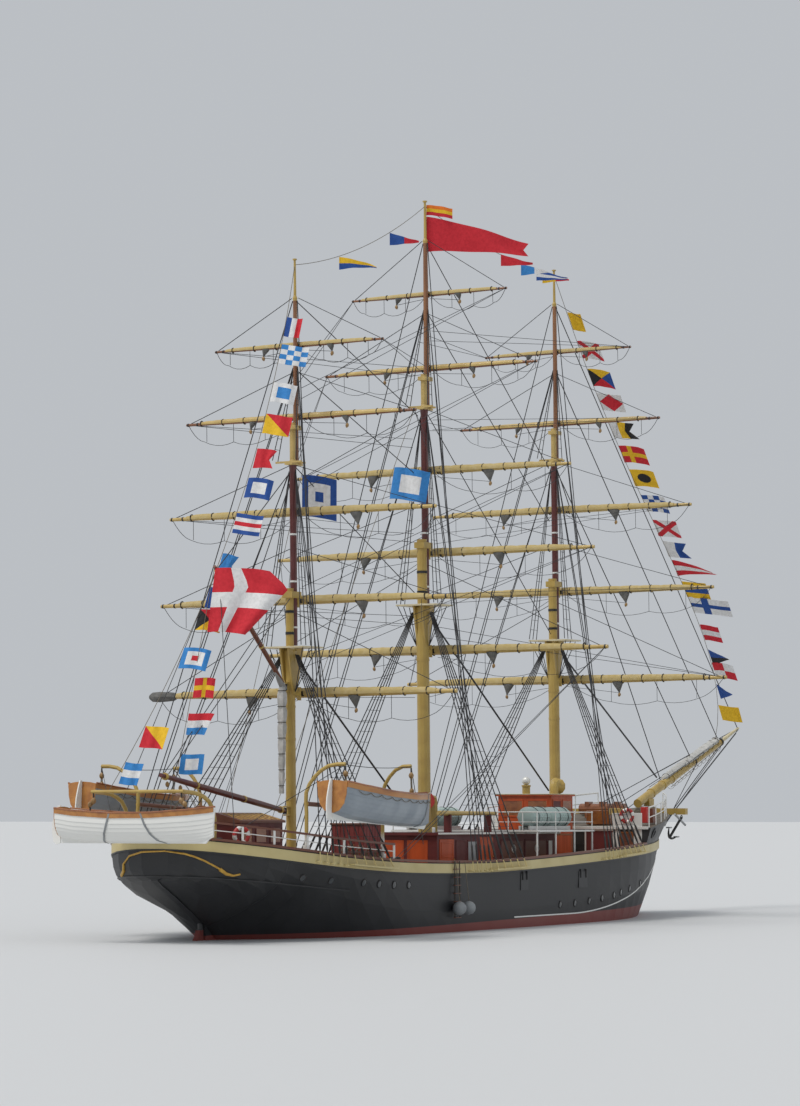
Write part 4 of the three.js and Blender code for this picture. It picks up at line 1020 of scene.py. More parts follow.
@dataclass
class Yard:
    """A yard with its furled sail, gaskets, footropes and clews, and the lines that hold it."""

    mast: Mast
    kind: YardKind
    height: float
    half: float
    gasket_step: float = 0.95
    section_step: float = 0.155
    furled_span: float = 0.87
    furl_start: float = -0.25
    furl_sweep: float = 1.16
    line: float = 0.016
    thin: float = 0.012
    bands: tuple[float, ...] = (-0.985, -0.9, -0.06, 0.06, 0.9, 0.985)
    stirrups: tuple[float, ...] = (0.3, 0.58, 0.82)

    @property
    def node(self) -> str:
        """The CAD node's name."""
        return f"{self.mast.name}_{self.kind.sail.value}_yard"

    @property
    def centre(self) -> Vector:
        """The yard's middle, ahead of its pivot.

        Returns:
            The point.
        """
        ahead = self.kind.ahead
        if self.kind.sail in (Sail.TOPGALLANT, Sail.ROYAL):
            share = 1.1 if self.kind.sail is Sail.TOPGALLANT else 1.0
            ahead = max(ahead, TOPGALLANT_AHEAD + self.mast.pole * share + self.kind.radius + 0.05)
        return self.mast.at(self.height, ahead)

    def along(self, share: float, up: float = 0.0, out: float = 0.0) -> Vector:
        """A point on or near the yard.

        Args:
            share: distance to port as a share of the half-length.
            up: distance above the yard's axis.
            out: distance ahead of it.

        Returns:
            The point.
        """
        return self.centre + Vector((out, share * self.half, up))

    def radius_at(self, share: float) -> float:
        """The bare yard's radius at a share of the half-length."""
        return self.kind.radius * mix(1.0, 0.5, abs(share) ** 1.6)

    def build(self) -> None:
        """Builds the yard and its lines."""
        shape = Shape(f"{self.node}_dressed")
        self.spar(shape)
        self.furled_sail(shape)
        self.footropes(shape)
        self.clews(shape)
        if self.node == "mizzen_course_yard":
            cover = [self.along(share) for share in (0.85, 0.88, 0.98, 1.03, 1.05)]
            shape.run(cover, [0.06, 0.16, 0.2, 0.18, 0.08], DARK_CANVAS, 8)
        shape.build(self.node, self.node)
        self.lifts()
        self.braces()

    def spar(self, shape: Shape) -> None:
        """Adds the spar, its bands and the fitting that it turns on.

        Args:
            shape: where it goes.
        """
        kind = self.kind
        half_shares = (0.25, 0.5, 0.75, 0.9, 0.97, 1.0)
        shares = [*(-share for share in reversed(half_shares)), 0.0, *half_shares]
        shape.run([self.along(s) for s in shares], [self.radius_at(s) for s in shares], kind.spar, 12)
        reach = 0.03 / self.half
        for share in self.bands:
            ends = [self.along(share - reach), self.along(share + reach)]
            shape.run(ends, self.radius_at(share) + 0.012, IRON, 12)
        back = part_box(self.node)[0][0] / MODEL_SCALE
        reach = kind.radius * 0.62
        low = Vector((back, -0.11, self.height - reach))
        shape.box(low, self.centre + Vector((0, 0.11, reach)), IRON)

    def furled_sail(self, shape: Shape) -> None:
        """Adds the sail rolled along the top of the yard, gathered in by its gaskets.

        Args:
            shape: where it goes.
        """
        kind = self.kind
        span = self.furled_span
        steps = int(2 * self.half / self.section_step)
        last = 7
        turns = [math.pi * (k / last) * self.furl_sweep + self.furl_start for k in range(last + 1)]
        chance = random.Random(f"{self.node}{SEED}")
        rings = []
        for i in range(steps + 1):
            share = mix(-span, span, i / steps)
            phase = abs(((share * self.half) / self.gasket_step) % 1.0 - 0.5) * 2
            pinch = 0.72 + 0.28 * (1 - phase**4)
            fade = min(1.0, (span - abs(share)) / 0.1 + 0.25)
            bulk = kind.furl * (1 - 0.25 * abs(share)) * fade * pinch * chance.uniform(0.94, 1.06)
            radius = self.radius_at(share)
            outer = [radius + 0.012 + bulk * (0.35 + 0.65 * max(0.0, math.sin(turn))) for turn in turns]
            ring = [self.off_axis(share, turn, reach) for turn, reach in zip(turns, outer)]
            ring += [self.off_axis(share, turn, radius * 0.8) for turn in reversed(turns)]
            rings.append(ring)
        shape.rings(rings, kind.roll)
        count = int(2 * self.half * span / self.gasket_step)
        sides = 12
        for i in range(count + 1):
            share = (i - count / 2) * self.gasket_step / self.half
            radius = self.radius_at(share)
            ring = []
            for k in range(sides):
                turn = 2 * math.pi * k / sides
                swell = kind.furl * 0.75 * max(0.0, math.sin(turn)) ** 0.7 if k else 0.0
                ring.append(self.off_axis(share, turn, radius + 0.02 + swell))
            shape.run(ring, 0.024, GASKET, 4, closed=True)

    def off_axis(self, share: float, turn: float, reach: float) -> Vector:
        """A point round the yard's axis, at an angle from straight ahead and a distance."""
        return self.along(share, reach * math.sin(turn), reach * math.cos(turn))

    def footropes(self, shape: Shape) -> None:
        """Adds the footropes with their stirrups.

        Args:
            shape: where they go.
        """
        depth = self.kind.footrope
        for side in (-1, 1):
            hung = [self.along(side * share, -depth, 0.02) for share in self.stirrups[:2]]
            start, end = self.along(side * 0.04, -self.kind.radius), self.along(side * 0.985)
            corners = [start, *hung, self.along(side * 0.84, -depth * 0.9), end]
            for a, b in zip(corners, corners[1:]):
                shape.sag(a, b, 0.14, self.thin, WIRE, 5)
            for share in self.stirrups:
                drop = depth if share < 0.8 else depth * 0.9
                shape.line(self.along(side * share), self.along(side * share, -drop, 0.02), 0.01, WIRE)

    def clews(self, shape: Shape) -> None:
        """Adds the sail's two lower corners, hauled up under the yard, with their blocks.

        Args:
            shape: where they go.
        """
        size = 0.42 if self.kind.radius > 0.11 else 0.24
        sections = ((0.0, 0.28, 0.13), (0.3, 0.21, 0.12), (0.65, 0.11, 0.08), (1.0, 0.02, 0.02))
        for side in (-1, 1):
            share = side * self.kind.clew
            top = self.along(share, -self.radius_at(share) * 0.6, -0.02)
            tip = self.along(share + side * 0.1 / self.half, -size - self.kind.radius, -0.05)
            rings = []
            for t, width, depth in sections:
                rings.append(hoop(between(top, tip, t), ACROSS * (width * size / 0.42), AHEAD * depth, 8))
            shape.rings(rings, DARK_CANVAS)
            shape.block(tip - UP * 0.08, (0, side * 0.3, 1))
            shape.line(tip, self.along(side * 0.03, -self.kind.radius - 0.1, -0.1), self.thin, WIRE)

    def lifts(self) -> None:
        """Builds the lines from the yardarms up to the mast."""
        shape = Shape(f"{self.node}_lifts")
        above = {
            Sail.COURSE: YARD_SIZES[self.mast.name][1][0] - 0.5, Sail.LOWER_TOPSAIL: self.mast.cap + 1.6,
            Sail.UPPER_TOPSAIL: self.mast.trees - 0.1, Sail.TOPGALLANT: self.mast.hounds - 0.1,
            Sail.ROYAL: self.mast.royal + 0.1,
        }[self.kind.sail]
        if self.kind.sail is Sail.LOWER_TOPSAIL:
            above = min(above, self.height + 2.4)
        head = self.mast.at(above, TOPMAST_AHEAD if above < self.mast.trees else TOPGALLANT_AHEAD)
        for side in (-1, 1):
            shape.line(head + ACROSS * (side * 0.14), self.along(side * 0.96, 0.05), self.line, WIRE)
        shape.bend(self.node, (0, 0, above - 0.05), (0, 0, self.height + 0.2))

    def brace_anchors(self) -> tuple[Vector, Vector]:
        """Where the starboard brace's two parts are held, on the next mast or at the rail.

        Returns:
            The two places.
        """
        name = self.mast.name
        if self.node == "main_course_yard":
            place = Vector((-11.2, -4.15, sheer(-11.2) + 0.15))
            return place, place + Vector((-0.3, 0.05, 0))
        level = [kind.sail for kind in YARD_KINDS].index(self.kind.sail)
        holder, ahead, drop = BRACE_HOLDERS[name]
        held = holder.at(BRACE_HEIGHTS[name][level], ahead, -0.3)
        return held, held - UP * drop

    def braces(self) -> None:
        """Builds the lines that swing the yard."""
        shape = Shape(f"{self.node}_braces")
        first, second = self.brace_anchors()
        for side in (-1, 1):
            for held in (first, second):
                far = Vector((held.x, -side * held.y, held.z)) if side == 1 else held
                shape.line(far, self.along(side * 0.985), self.thin, WIRE)
        way = 1 if first.x < self.centre.x else -1
        shape.bend(self.node, (first.x + way * 0.1, 0, 0), (self.centre.x - way * 0.3, 0, 0))


@dataclass
class MastDress:
    """Paint and ironwork of one mast, and its shrouds and backstays."""

    mast: Mast
    skin: HullSkin
    shroud_count: int = 5
    shroud_gap: float = 0.62
    shroud: float = 0.022
    backstay: float = 0.02
    ratline: float = 0.01
    ratline_step: float = 0.42
    channel_reach: float = 0.29
    channel_drop: float = 0.25
    painted_foot: float = 0.33

    def build(self) -> None:
        """Builds the whole mast with its standing rigging."""
        self.paint()
        self.ironwork()
        for side in (-1, 1):
            self.shrouds(side)
        self.upper_shrouds()
        self.backstays()

    def paint(self) -> None:
        """Paints the three parts of the mast."""
        mast = self.mast
        Repainted(f"{mast.name}_lower_mast", SHIP, self.lower_finish).build()
        Repainted(f"{mast.name}_topmast", SHIP, self.topmast_finish).build()
        Repainted(f"{mast.name}_topgallant_mast", SHIP, self.topgallant_finish).build()

    def lower_finish(self, centre: Vector, normal: Vector) -> Finish:
        """Buff, with a paler platform.

        Args:
            centre: the face's middle.
            normal: the face's normal.

        Returns:
            The face's finish.
        """
        near_top = abs(centre.z - self.mast.top - 0.03) < 0.06
        away = abs(centre.x - self.mast.at(centre.z).x) + abs(centre.y) > 0.42
        return PALE_BUFF if near_top and away else BUFF

    def topmast_finish(self, centre: Vector, normal: Vector) -> Finish:
        """Red-brown, with buff crosstrees and cap."""
        return YARD_BUFF if centre.z > self.mast.trees - 0.12 else MAROON

    def topgallant_finish(self, centre: Vector, normal: Vector) -> Finish:
        """Varnished, with a buff pole above the royal's rigging."""
        return BUFF if centre.z > self.mast.royal else VARNISH_MAST

    def ironwork(self) -> None:
        """Adds the bands round the mast and the futtock lines under the top."""
        shape = Shape(f"{self.mast.name}_mast_ironwork")
        mast = self.mast
        bands = (
            (LOWER_AHEAD, mast.lower + 0.015, 0.09, BUFF, 14,
             (mast.deck + 1.2, mast.deck + 2.6, mast.top - 3.4, mast.top - 2.2)),
            (TOPMAST_AHEAD, mast.topmast + 0.012, 0.07, WHITE, 12,
             (mast.top + 0.75, mast.cap + 0.35, mast.cap + 2.1)),
            (LOWER_AHEAD, mast.lower * 0.8 + 0.02, 0.1, IRON, 12, (mast.top + 0.5, mast.top + 1.3)),
        )
        for ahead, radius, height, finish, sides, heights in bands:
            for z in heights:
                centre = mast.at(z, ahead)
                shape.run([centre, centre + UP * height], radius, finish, sides)
        for side in (-1, 1):
            foot = mast.at(mast.top - 1.6, LOWER_AHEAD, side * (mast.lower + 0.03))
            for ahead in (-0.7, -0.2, 0.3):
                shape.line(mast.at(mast.top - 0.02, ahead, side * 0.84), foot, 0.018, WIRE, 5)
        shape.build(SHIP)

    def fan(self, side: int) -> list[tuple[Vector, Vector]]:
        """Feet and heads of the lower shrouds on one side.

        Args:
            side: 1 for port, -1 for starboard.

        Returns:
            The foot and the head of each, from the foremost one aft.
        """
        mast = self.mast
        lines = []
        head = mast.at(mast.top - 0.25, LOWER_AHEAD)
        for i in range(self.shroud_count):
            x = mast.x + mast.first_shroud - self.shroud_gap * i
            z = sheer(x) - self.channel_drop
            beam = abs(self.skin.side(x, z, side)[0].y)
            foot = Vector((x, side * (beam + self.channel_reach), z))
            lines.append((foot, head + Vector((0.12 - 0.06 * i, side * (mast.lower * 1.35 + 0.06), 0))))
        return lines

    def shrouds(self, side: int) -> None:
        """Builds one side's lower shrouds with their ratlines, screws and channel.

        Args:
            side: 1 for port, -1 for starboard.
        """
        name = f"{self.mast.name}_shrouds_{'port' if side > 0 else 'starboard'}"
        shape = Shape(f"{name}_rigged")
        lines = self.fan(side)
        for foot, head in lines:
            way = head - foot
            knee = foot + way * self.painted_foot / way.z
            shape.line(foot, knee, self.shroud, STRAKE, 5)
            shape.line(knee, head, self.shroud, WIRE, 5)
            screw = [foot + way * share for share in (0.045, 0.06, 0.12, 0.135)]
            shape.run(screw, [0.02, 0.045, 0.045, 0.02], IRON, 6)
        rail = sheer(self.mast.x) + 0.9
        count = int((lines[0][1].z - 0.7 - rail) / self.ratline_step)
        for i in range(count):
            z = rail + self.ratline_step * i
            row = [between(foot, head, (z - foot.z) / (head.z - foot.z)) for foot, head in lines]
            for a, b in zip(row, row[1:]):
                shape.sag(a, b, 0.012, self.ratline, WIRE, 2)
        ends = (lines[0][0].x + 0.25, lines[-1][0].x - 0.25)
        xs = [mix(*ends, i / 4) for i in range(5)]
        edge = [self.skin.side(x, sheer(x) - 0.24, side) for x in xs]
        shape.ribbon(edge, 0.06, self.channel_reach + 0.09, STRAKE, 0.0)
        shape.build(SHIP, name)

    def upper_shrouds(self) -> None:
        """Builds the topmast and topgallant shrouds with their ratlines."""
        mast = self.mast
        shape = Shape(f"{mast.name}_upper_shrouds")
        sets = (
            (mast.top + 0.08, 0.84, (-0.8, -0.45, -0.1), mast.trees - 0.25, TOPMAST_AHEAD, 0.12),
            (mast.trees + 0.05, 0.5, (-0.5, -0.1), mast.hounds, TOPGALLANT_AHEAD, 0.08),
        )
        for side in (-1, 1):
            for low, out, feet, high, ahead, head_out in sets:
                head = mast.at(high, ahead, side * head_out)
                lines = [(mast.at(low, foot, side * out), head) for foot in feet]
                for foot, _ in lines:
                    shape.line(foot, head, self.backstay * 0.85, WIRE, 4)
                rise = high - low
                for i in range(1, int((rise - 0.8) / self.ratline_step)):
                    t = i * self.ratline_step / rise
                    shape.line(between(*lines[0], t), between(*lines[-1], t), self.ratline, WIRE)
        shape.build(SHIP)

    def backstays(self) -> None:
        """Builds the backstays from the upper masts down to the rail abaft the shrouds."""
        mast = self.mast
        shape = Shape(f"{mast.name}_backstays")
        last = mast.first_shroud - self.shroud_gap * (self.shroud_count - 1)
        heads = (
            (mast.trees - 0.2, TOPMAST_AHEAD, -0.45), (mast.trees - 0.25, TOPMAST_AHEAD, -0.85),
            (mast.hounds, TOPGALLANT_AHEAD, -1.25), (mast.hounds + 0.1, TOPGALLANT_AHEAD, -1.6),
            (mast.royal, TOPGALLANT_AHEAD, -2.0),
        )
        for side in (-1, 1):
            for z, ahead, back in heads:
                x = mast.x + last + back
                place, _ = self.skin.side(x, sheer(x) - 0.3, side)
                foot = place + ACROSS * (side * 0.22)
                head = mast.at(z, ahead, side * 0.1)
                way = (head - foot).normalized()
                shape.line(foot, foot + way * 0.36, self.backstay, STRAKE, 5)
                shape.line(foot + way * 0.36, head, self.backstay, WIRE, 5)
                screw = [foot + way * reach for reach in (0.4, 0.5, 0.95, 1.05)]
                shape.run(screw, [0.02, 0.04, 0.04, 0.02], IRON, 6)
                low = place + Vector((-0.06, min(0, side * 0.26), -0.04))
                shape.box(low, place + Vector((0.06, max(0, side * 0.26), 0.02)), STRAKE)
        shape.build(SHIP)


BOWSPRIT_HEEL = (19.4, 4.93)
BOWSPRIT_END = (29.45, 7.98)
BOWSPRIT_TIP = (31.7, 8.68)


def bowsprit_z(x: float) -> float:
    """Height of the bowsprit's axis."""
    share = (x - BOWSPRIT_HEEL[0]) / (BOWSPRIT_END[0] - BOWSPRIT_HEEL[0])
    return mix(BOWSPRIT_HEEL[1], BOWSPRIT_END[1], share)


@dataclass
class Stays:
    """The fore-and-aft standing rigging between the masts and out to the bowsprit."""

    radius: float = 0.022

    def build(self) -> None:
        """Builds the stays as one piece."""
        shape = Shape("fore_and_aft_stays")
        for low, high in ((MIZZEN, MAIN), (MAIN, FORE)):
            pairs = (
                (low.trees - 0.1, high.top + 0.3, TOPMAST_AHEAD),
                (low.hounds, high.cap + 2.6, TOPGALLANT_AHEAD),
                (low.royal, high.trees - 0.4, TOPGALLANT_AHEAD),
            )
            for z, foot, ahead in pairs:
                end = high.at(foot, LOWER_AHEAD - high.lower)
                shape.line(low.at(z, ahead + 0.1), end, self.radius * 0.85, WIRE, 5)
        for z, ahead, x in (
            (FORE.trees - 0.1, TOPMAST_AHEAD, 22.0), (FORE.trees - 0.3, TOPMAST_AHEAD, 25.6),
            (FORE.hounds, TOPGALLANT_AHEAD, 29.2), (FORE.royal, TOPGALLANT_AHEAD, 31.6),
        ):
            height = bowsprit_z(x) + (0.35 if x < 29 else 0.05)
            shape.line(FORE.at(z, ahead + 0.1), (x, 0, height), self.radius, WIRE, 5)
        for side in (-1, 1):
            for x, back, z in ((26.0, 19.0, 3.9), (29.3, 18.4, 4.1), (31.5, 17.6, 4.3)):
                y = side * (0.2 if x < 31 else 0.08)
                shape.line((x, y, bowsprit_z(x)), (back, side * self.flare(back), z), 0.018, WIRE, 5)
        for x in (29.3, 31.4):
            shape.line((x, 0, bowsprit_z(x) - 0.15), (20.62, 0, 3.1), 0.022, WIRE, 5)
        shape.build(SHIP)

    def flare(self, x: float) -> float:
        """Half-breadth of the forecastle's edge."""
        return 4.25 * (1 - ((x - 6) / 15.0) ** 3) + 0.03


# Boats and davits


@dataclass
class Boat:
    """An open clinker-built boat on its davits, with its gear."""

    node: str
    length: float
    beam: float
    depth: float
    place: Matrix
    # The planks' colour; the quarter boats get the painted-shade copy of the boat white.
    paint: Finish = BOAT_WHITE
    loops: int = 9
    straps: tuple[tuple[float, float], ...] = ()
    shell: float = 0.05
    steps: int = 30
    strakes: int = 9
    lap: float = 0.016
    sections: tuple[tuple[float, float, float, float], ...] = (
        (0, 0.62, 0.2, 1.12), (0.15, 0.85, 0.08, 1.04), (0.4, 1, 0.03, 0.96), (0.65, 0.93, 0.03, 0.97),
        (0.85, 0.58, 0.06, 1.05), (0.96, 0.2, 0.12, 1.12), (1, 0.04, 0.22, 1.15),
    )
    bilge: tuple[tuple[float, float], ...] = ((0.12, 0), (0.5, 0.08), (0.8, 0.3), (0.95, 0.6), (1, 1))

    def at(self, x: float, y: float, z: float) -> Vector:
        """A point of the boat, from its own length, breadth and height."""
        return self.place @ Vector((x, y, z))

    def section(self, along: float) -> tuple[float, float, float]:
        """Half-breadth, floor and rail height at a share of the length from the transom.

        Args:
            along: the share of the length.

        Returns:
            The half-breadth, the floor's height and the rail's height.
        """
        rows = self.sections
        along = min(along, rows[-1][0])
        a, b = next(pair for pair in zip(rows, rows[1:]) if along <= pair[1][0])
        t = (along - a[0]) / (b[0] - a[0])
        soft = mix(t, t * t * (3 - 2 * t), 0.35)
        return (
            mix(a[1], b[1], t) * self.beam / 2, mix(a[2], b[2], soft) * self.depth,
            mix(a[3], b[3], soft) * self.depth,
        )

    def side_point(self, along: float, share: float, out: float = 0.0) -> tuple[float, float, float]:
        """A point of the port side's outer face, in the boat's own frame.

        Args:
            along: share of the length from the transom.
            share: share of the girth from the keel to the rail.
            out: distance outside the face.

        Returns:
            Distance ahead of the middle, to port and above the keel.
        """
        half, floor, top = self.section(along)
        steps = len(self.bilge) - 1
        i = min(steps - 1, int(share * steps))
        t = share * steps - i
        (b0, h0), (b1, h1) = self.bilge[i], self.bilge[i + 1]
        y = max(0.02, half * mix(b0, b1, t))
        z = mix(floor, top, mix(h0, h1, t))
        slope = Vector((max(0.2, (h1 - h0) * (top - floor)), -(b1 - b0) * half)).normalized()
        return (along - 0.5) * self.length, y + out * slope.x, z + out * slope.y

    def build(self) -> None:
        """Builds the boat in place of its CAD solid."""
        shape = Shape(f"{self.node}_dressed")
        self.planking(shape)
        self.rails(shape)
        self.inside(shape)
        self.ends(shape)
        for along, lean in self.straps:
            self.strap(shape, along, lean)
        shape.build(SHIP, self.node, crease=28.0)

    def planking(self, shape: Shape) -> None:
        """Adds the lapped planks and the inner skin.

        Args:
            shape: where they go.
        """
        rings = []
        for i in range(self.steps + 1):
            along = i / self.steps
            side = []
            for k in range(self.strakes):
                side.append(self.side_point(along, k / self.strakes, self.lap))
                side.append(self.side_point(along, (k + 1) / self.strakes))
            inner = [self.side_point(along, share, -self.shell) for share in (1.0, 0.8, 0.55, 0.3, 0.1)]
            side += [(x, max(0.012, y), z) for x, y, z in inner]
            rings.append([self.at(*p) for p in side] + [self.at(x, -y, z) for x, y, z in reversed(side)])
        shape.rings(rings, self.paint)

    def rails(self, shape: Shape) -> None:
        """Adds the varnished sheer plank, the gunwale and the looped lifeline.

        Args:
            shape: where they go.
        """
        plank = ((0.9, 0.0), (0.9, 0.028), (1.0, 0.028), (1.0, 0.0))
        for side in (-1, 1):
            rings = []
            rail = []
            for i in range(self.steps + 1):
                along = i / self.steps
                section = [self.side_point(along, share, out) for share, out in plank]
                rings.append([self.at(x, side * y, z) for x, y, z in section])
                x, y, z = self.side_point(along, 1.0, 0.015)
                rail.append(self.at(x, side * y, z + 0.02))
            shape.rings(rings, BOAT_VARNISH)
            shape.run(rail, 0.035, VARNISH, 6)
            for i in range(self.loops):
                ends = []
                for t in (i, i + 1):
                    x, y, z = self.side_point(mix(0.08, 0.94, t / self.loops), 0.88, 0.035)
                    ends.append(self.at(x, side * y, z))
                shape.sag(ends[0], ends[1], 0.1, 0.012, ROPE, 6)

    def inside(self, shape: Shape) -> None:
        """Adds thwarts and bottom boards.

        Args:
            shape: where they go.
        """
        for along in (0.14, 0.32, 0.5, 0.68, 0.84):
            half, _, top = self.section(along)
            x = (along - 0.5) * self.length
            z = top - 0.24
            edges = ((-0.12, -0.02), (0.12, -0.02), (0.12, 0.02), (-0.12, 0.02))
            corners = [(x + dx, z + dz) for dx, dz in edges]
            self.plate(shape, corners, half * 0.94 - self.shell, VARNISH)
        boards = []
        for along in (0.1, 0.3, 0.5, 0.7, 0.86):
            half, floor, _ = self.section(along)
            x = (along - 0.5) * self.length
            width = half * 0.45
            corners = ((-width, 0.12), (width, 0.12), (width, 0.15), (-width, 0.15))
            boards.append([self.at(x, y, floor + dz) for y, dz in corners])
        shape.rings(boards, VARNISH)

    def plate(
        self, shape: Shape, outline: Sequence[tuple[float, float]], half: float, finish: Finish,
    ) -> None:
        """Adds a plate that stands fore and aft on the centreline.

        Args:
            shape: where it goes.
            outline: corners, as places ahead and heights.
            half: half its thickness.
            finish: its finish.
        """
        shape.rings([[self.at(x, y, z) for x, z in outline] for y in (-half, half)], finish)

    def ends(self, shape: Shape) -> None:
        """Adds the transom, keel, stem and rudder.

        Args:
            shape: where they go.
        """
        half, floor, top = self.section(0)
        x = -self.length / 2
        outline = [
            (half * 0.12, floor), (half * 0.5, mix(floor, top, 0.08)), (half * 0.8, mix(floor, top, 0.3)),
            (half * 0.95, mix(floor, top, 0.6)), (half, top), (half * 0.55, top + 0.05), (0.06, top + 0.07),
        ]
        loop = outline + [(-y, z) for y, z in reversed(outline)]
        shape.rings([[self.at(place, y, z) for y, z in loop] for place in (x - 0.03, x + 0.05)], BOAT_VARNISH)
        long, deep = self.length, self.depth
        keel = (
            (x + 0.02, 0.0), (x - 0.02, floor), (x + 0.3, floor * 0.9), (long * 0.36, 0.06 * deep),
            (long * 0.47, 0.3 * deep), (long * 0.492, 1.1 * deep), (long * 0.507, 1.14 * deep),
            (long * 0.495, 0.3 * deep), (long * 0.45, 0.0),
        )
        self.plate(shape, keel, 0.035, BOAT_WHITE)
        blade = (
            (x - 0.06, top + 0.12), (x - 0.18, top + 0.1), (x - 0.26, top - 0.1), (x - 0.38, floor + 0.5),
            (x - 0.4, floor + 0.2), (x - 0.34, 0.05), (x - 0.22, -0.04), (x - 0.05, 0.0),
        )
        self.plate(shape, blade, 0.022, BOAT_WHITE)

    def strap(self, shape: Shape, along: float, lean: float, width: float = 0.07) -> None:
        """Adds a canvas strap that passes under the boat from rail to rail.

        Args:
            shape: where it goes.
            along: its place on the port rail, as a share of the length.
            lean: how far aft its other end is, as a share of the length.
            width: its width.
        """
        rings = []
        steps = 16
        for i in range(-steps, steps + 1):
            side = 1 if i >= 0 else -1
            share = abs(i) / steps
            here = along - lean * (1 - i / steps) / 2
            ring = []
            for dx, out in ((-0.5, 0.024), (-0.5, 0.036), (0.5, 0.036), (0.5, 0.024)):
                x, y, z = self.side_point(here + dx * width / self.length, share, out)
                ring.append(self.at(x, side * y, z if share else z - out))
            rings.append(ring)
        shape.rings(rings, FENDER)


STARBOARD_BOAT = Matrix.Translation((-14.6, -5.15, 4.02)) @ Matrix.Rotation(0.052, 4, "Y")
PORT_BOAT = Matrix.Translation((-14.6, 5.15, 4.02)) @ Matrix.Rotation(0.052, 4, "Y")
STERN_BOAT = Matrix.Translation((-22.42, 0, 3.4)) @ Matrix.Rotation(-math.pi / 2, 4, "Z")


@dataclass
class Davits:
    """Paint of the three pairs of davits, and the tackles between them and the boats."""

    pedestal_top: float = 3.75
    arm_heads: tuple[tuple[float, float, float], ...] = ((-17.0, -5.05, 6.05), (-12.15, -5.05, 6.05))
    hooks: tuple[float, ...] = (5.25, 5.0)
    stern_head: tuple[float, float, float] = (-22.42, 1.77, 5.1)
    stern_hook: tuple[float, float, float] = (-22.42, 1.9, 4.5)
    aft_guy: tuple[float, float, float] = (-19.9, 2.6, 3.9)
    fore_guy: tuple[float, float, float] = (-9.6, 4.2, 3.3)
    guy_height: float = 6.1

    def build(self) -> None:
        """Builds the davits and their tackles."""
        for side in ("starboard", "port"):
            Repainted(f"{side}_davits", SHIP, self.finish, 50.0).build()
        Repainted("stern_davits", SHIP, always(BUFF), 50.0).build()
        shape = Shape("davit_tackles")
        for (x, y, z), hook in zip(self.arm_heads, self.hooks):
            self.tackle(shape, (x, y, z), (x, y - 0.02, hook))
            self.tackle(shape, (x, -y, z), (x, -y, hook))
        (aft_x, beam, _), (fore_x, _, _) = self.arm_heads
        for side in (-1, 1):
            flip = Vector((1, side, 1))
            self.tackle(shape, Vector(self.stern_head) * flip, Vector(self.stern_hook) * flip)
            a, b = (Vector((x, -side * beam, self.guy_height)) for x in (aft_x, fore_x))
            shape.sag(a, b, 0.08, 0.016, WIRE, 6)
            for head, foot in ((a, self.aft_guy), (b, self.fore_guy)):
                shape.line(head, (foot[0], side * foot[1], foot[2]), 0.014, WIRE)
        shape.build(SHIP)

    def finish(self, centre: Vector, normal: Vector) -> Finish:
        """White pedestals, a brown spar and buff arms.

        Args:
            centre: the face's middle.
            normal: the face's normal.

        Returns:
            The face's finish.
        """
        if centre.z < self.pedestal_top - 0.1 and abs(centre.y) < 4.3:
            return WHITE
        inside = min(abs(centre.x - x) for x, _, _ in self.arm_heads)
        if 4.4 < centre.z < 4.9 and inside > 0.12:
            return DARK_WOOD
        return BUFF

    def tackle(self, shape: Shape, top: Point, foot: Point) -> None:
        """Adds two blocks and the ropes between them.

        Args:
            shape: where it goes.
            top: the davit's head.
            foot: the boat's ring.
        """
        high, low = Vector(top) - UP * 0.15, Vector(foot) + UP * 0.12
        way = high - low
        shape.line(top, high, 0.03, IRON, 6)
        shape.line(low, foot, 0.03, IRON, 6)
        shape.block(high - UP * 0.12, way, 0.13)
        shape.block(low + UP * 0.1, way, 0.12)
        for dx in (-0.05, 0.0, 0.05):
            shape.line(high + Vector((dx, 0, -0.15)), low + Vector((dx, 0, 0.1)), 0.012, ROPE)


# Spanker


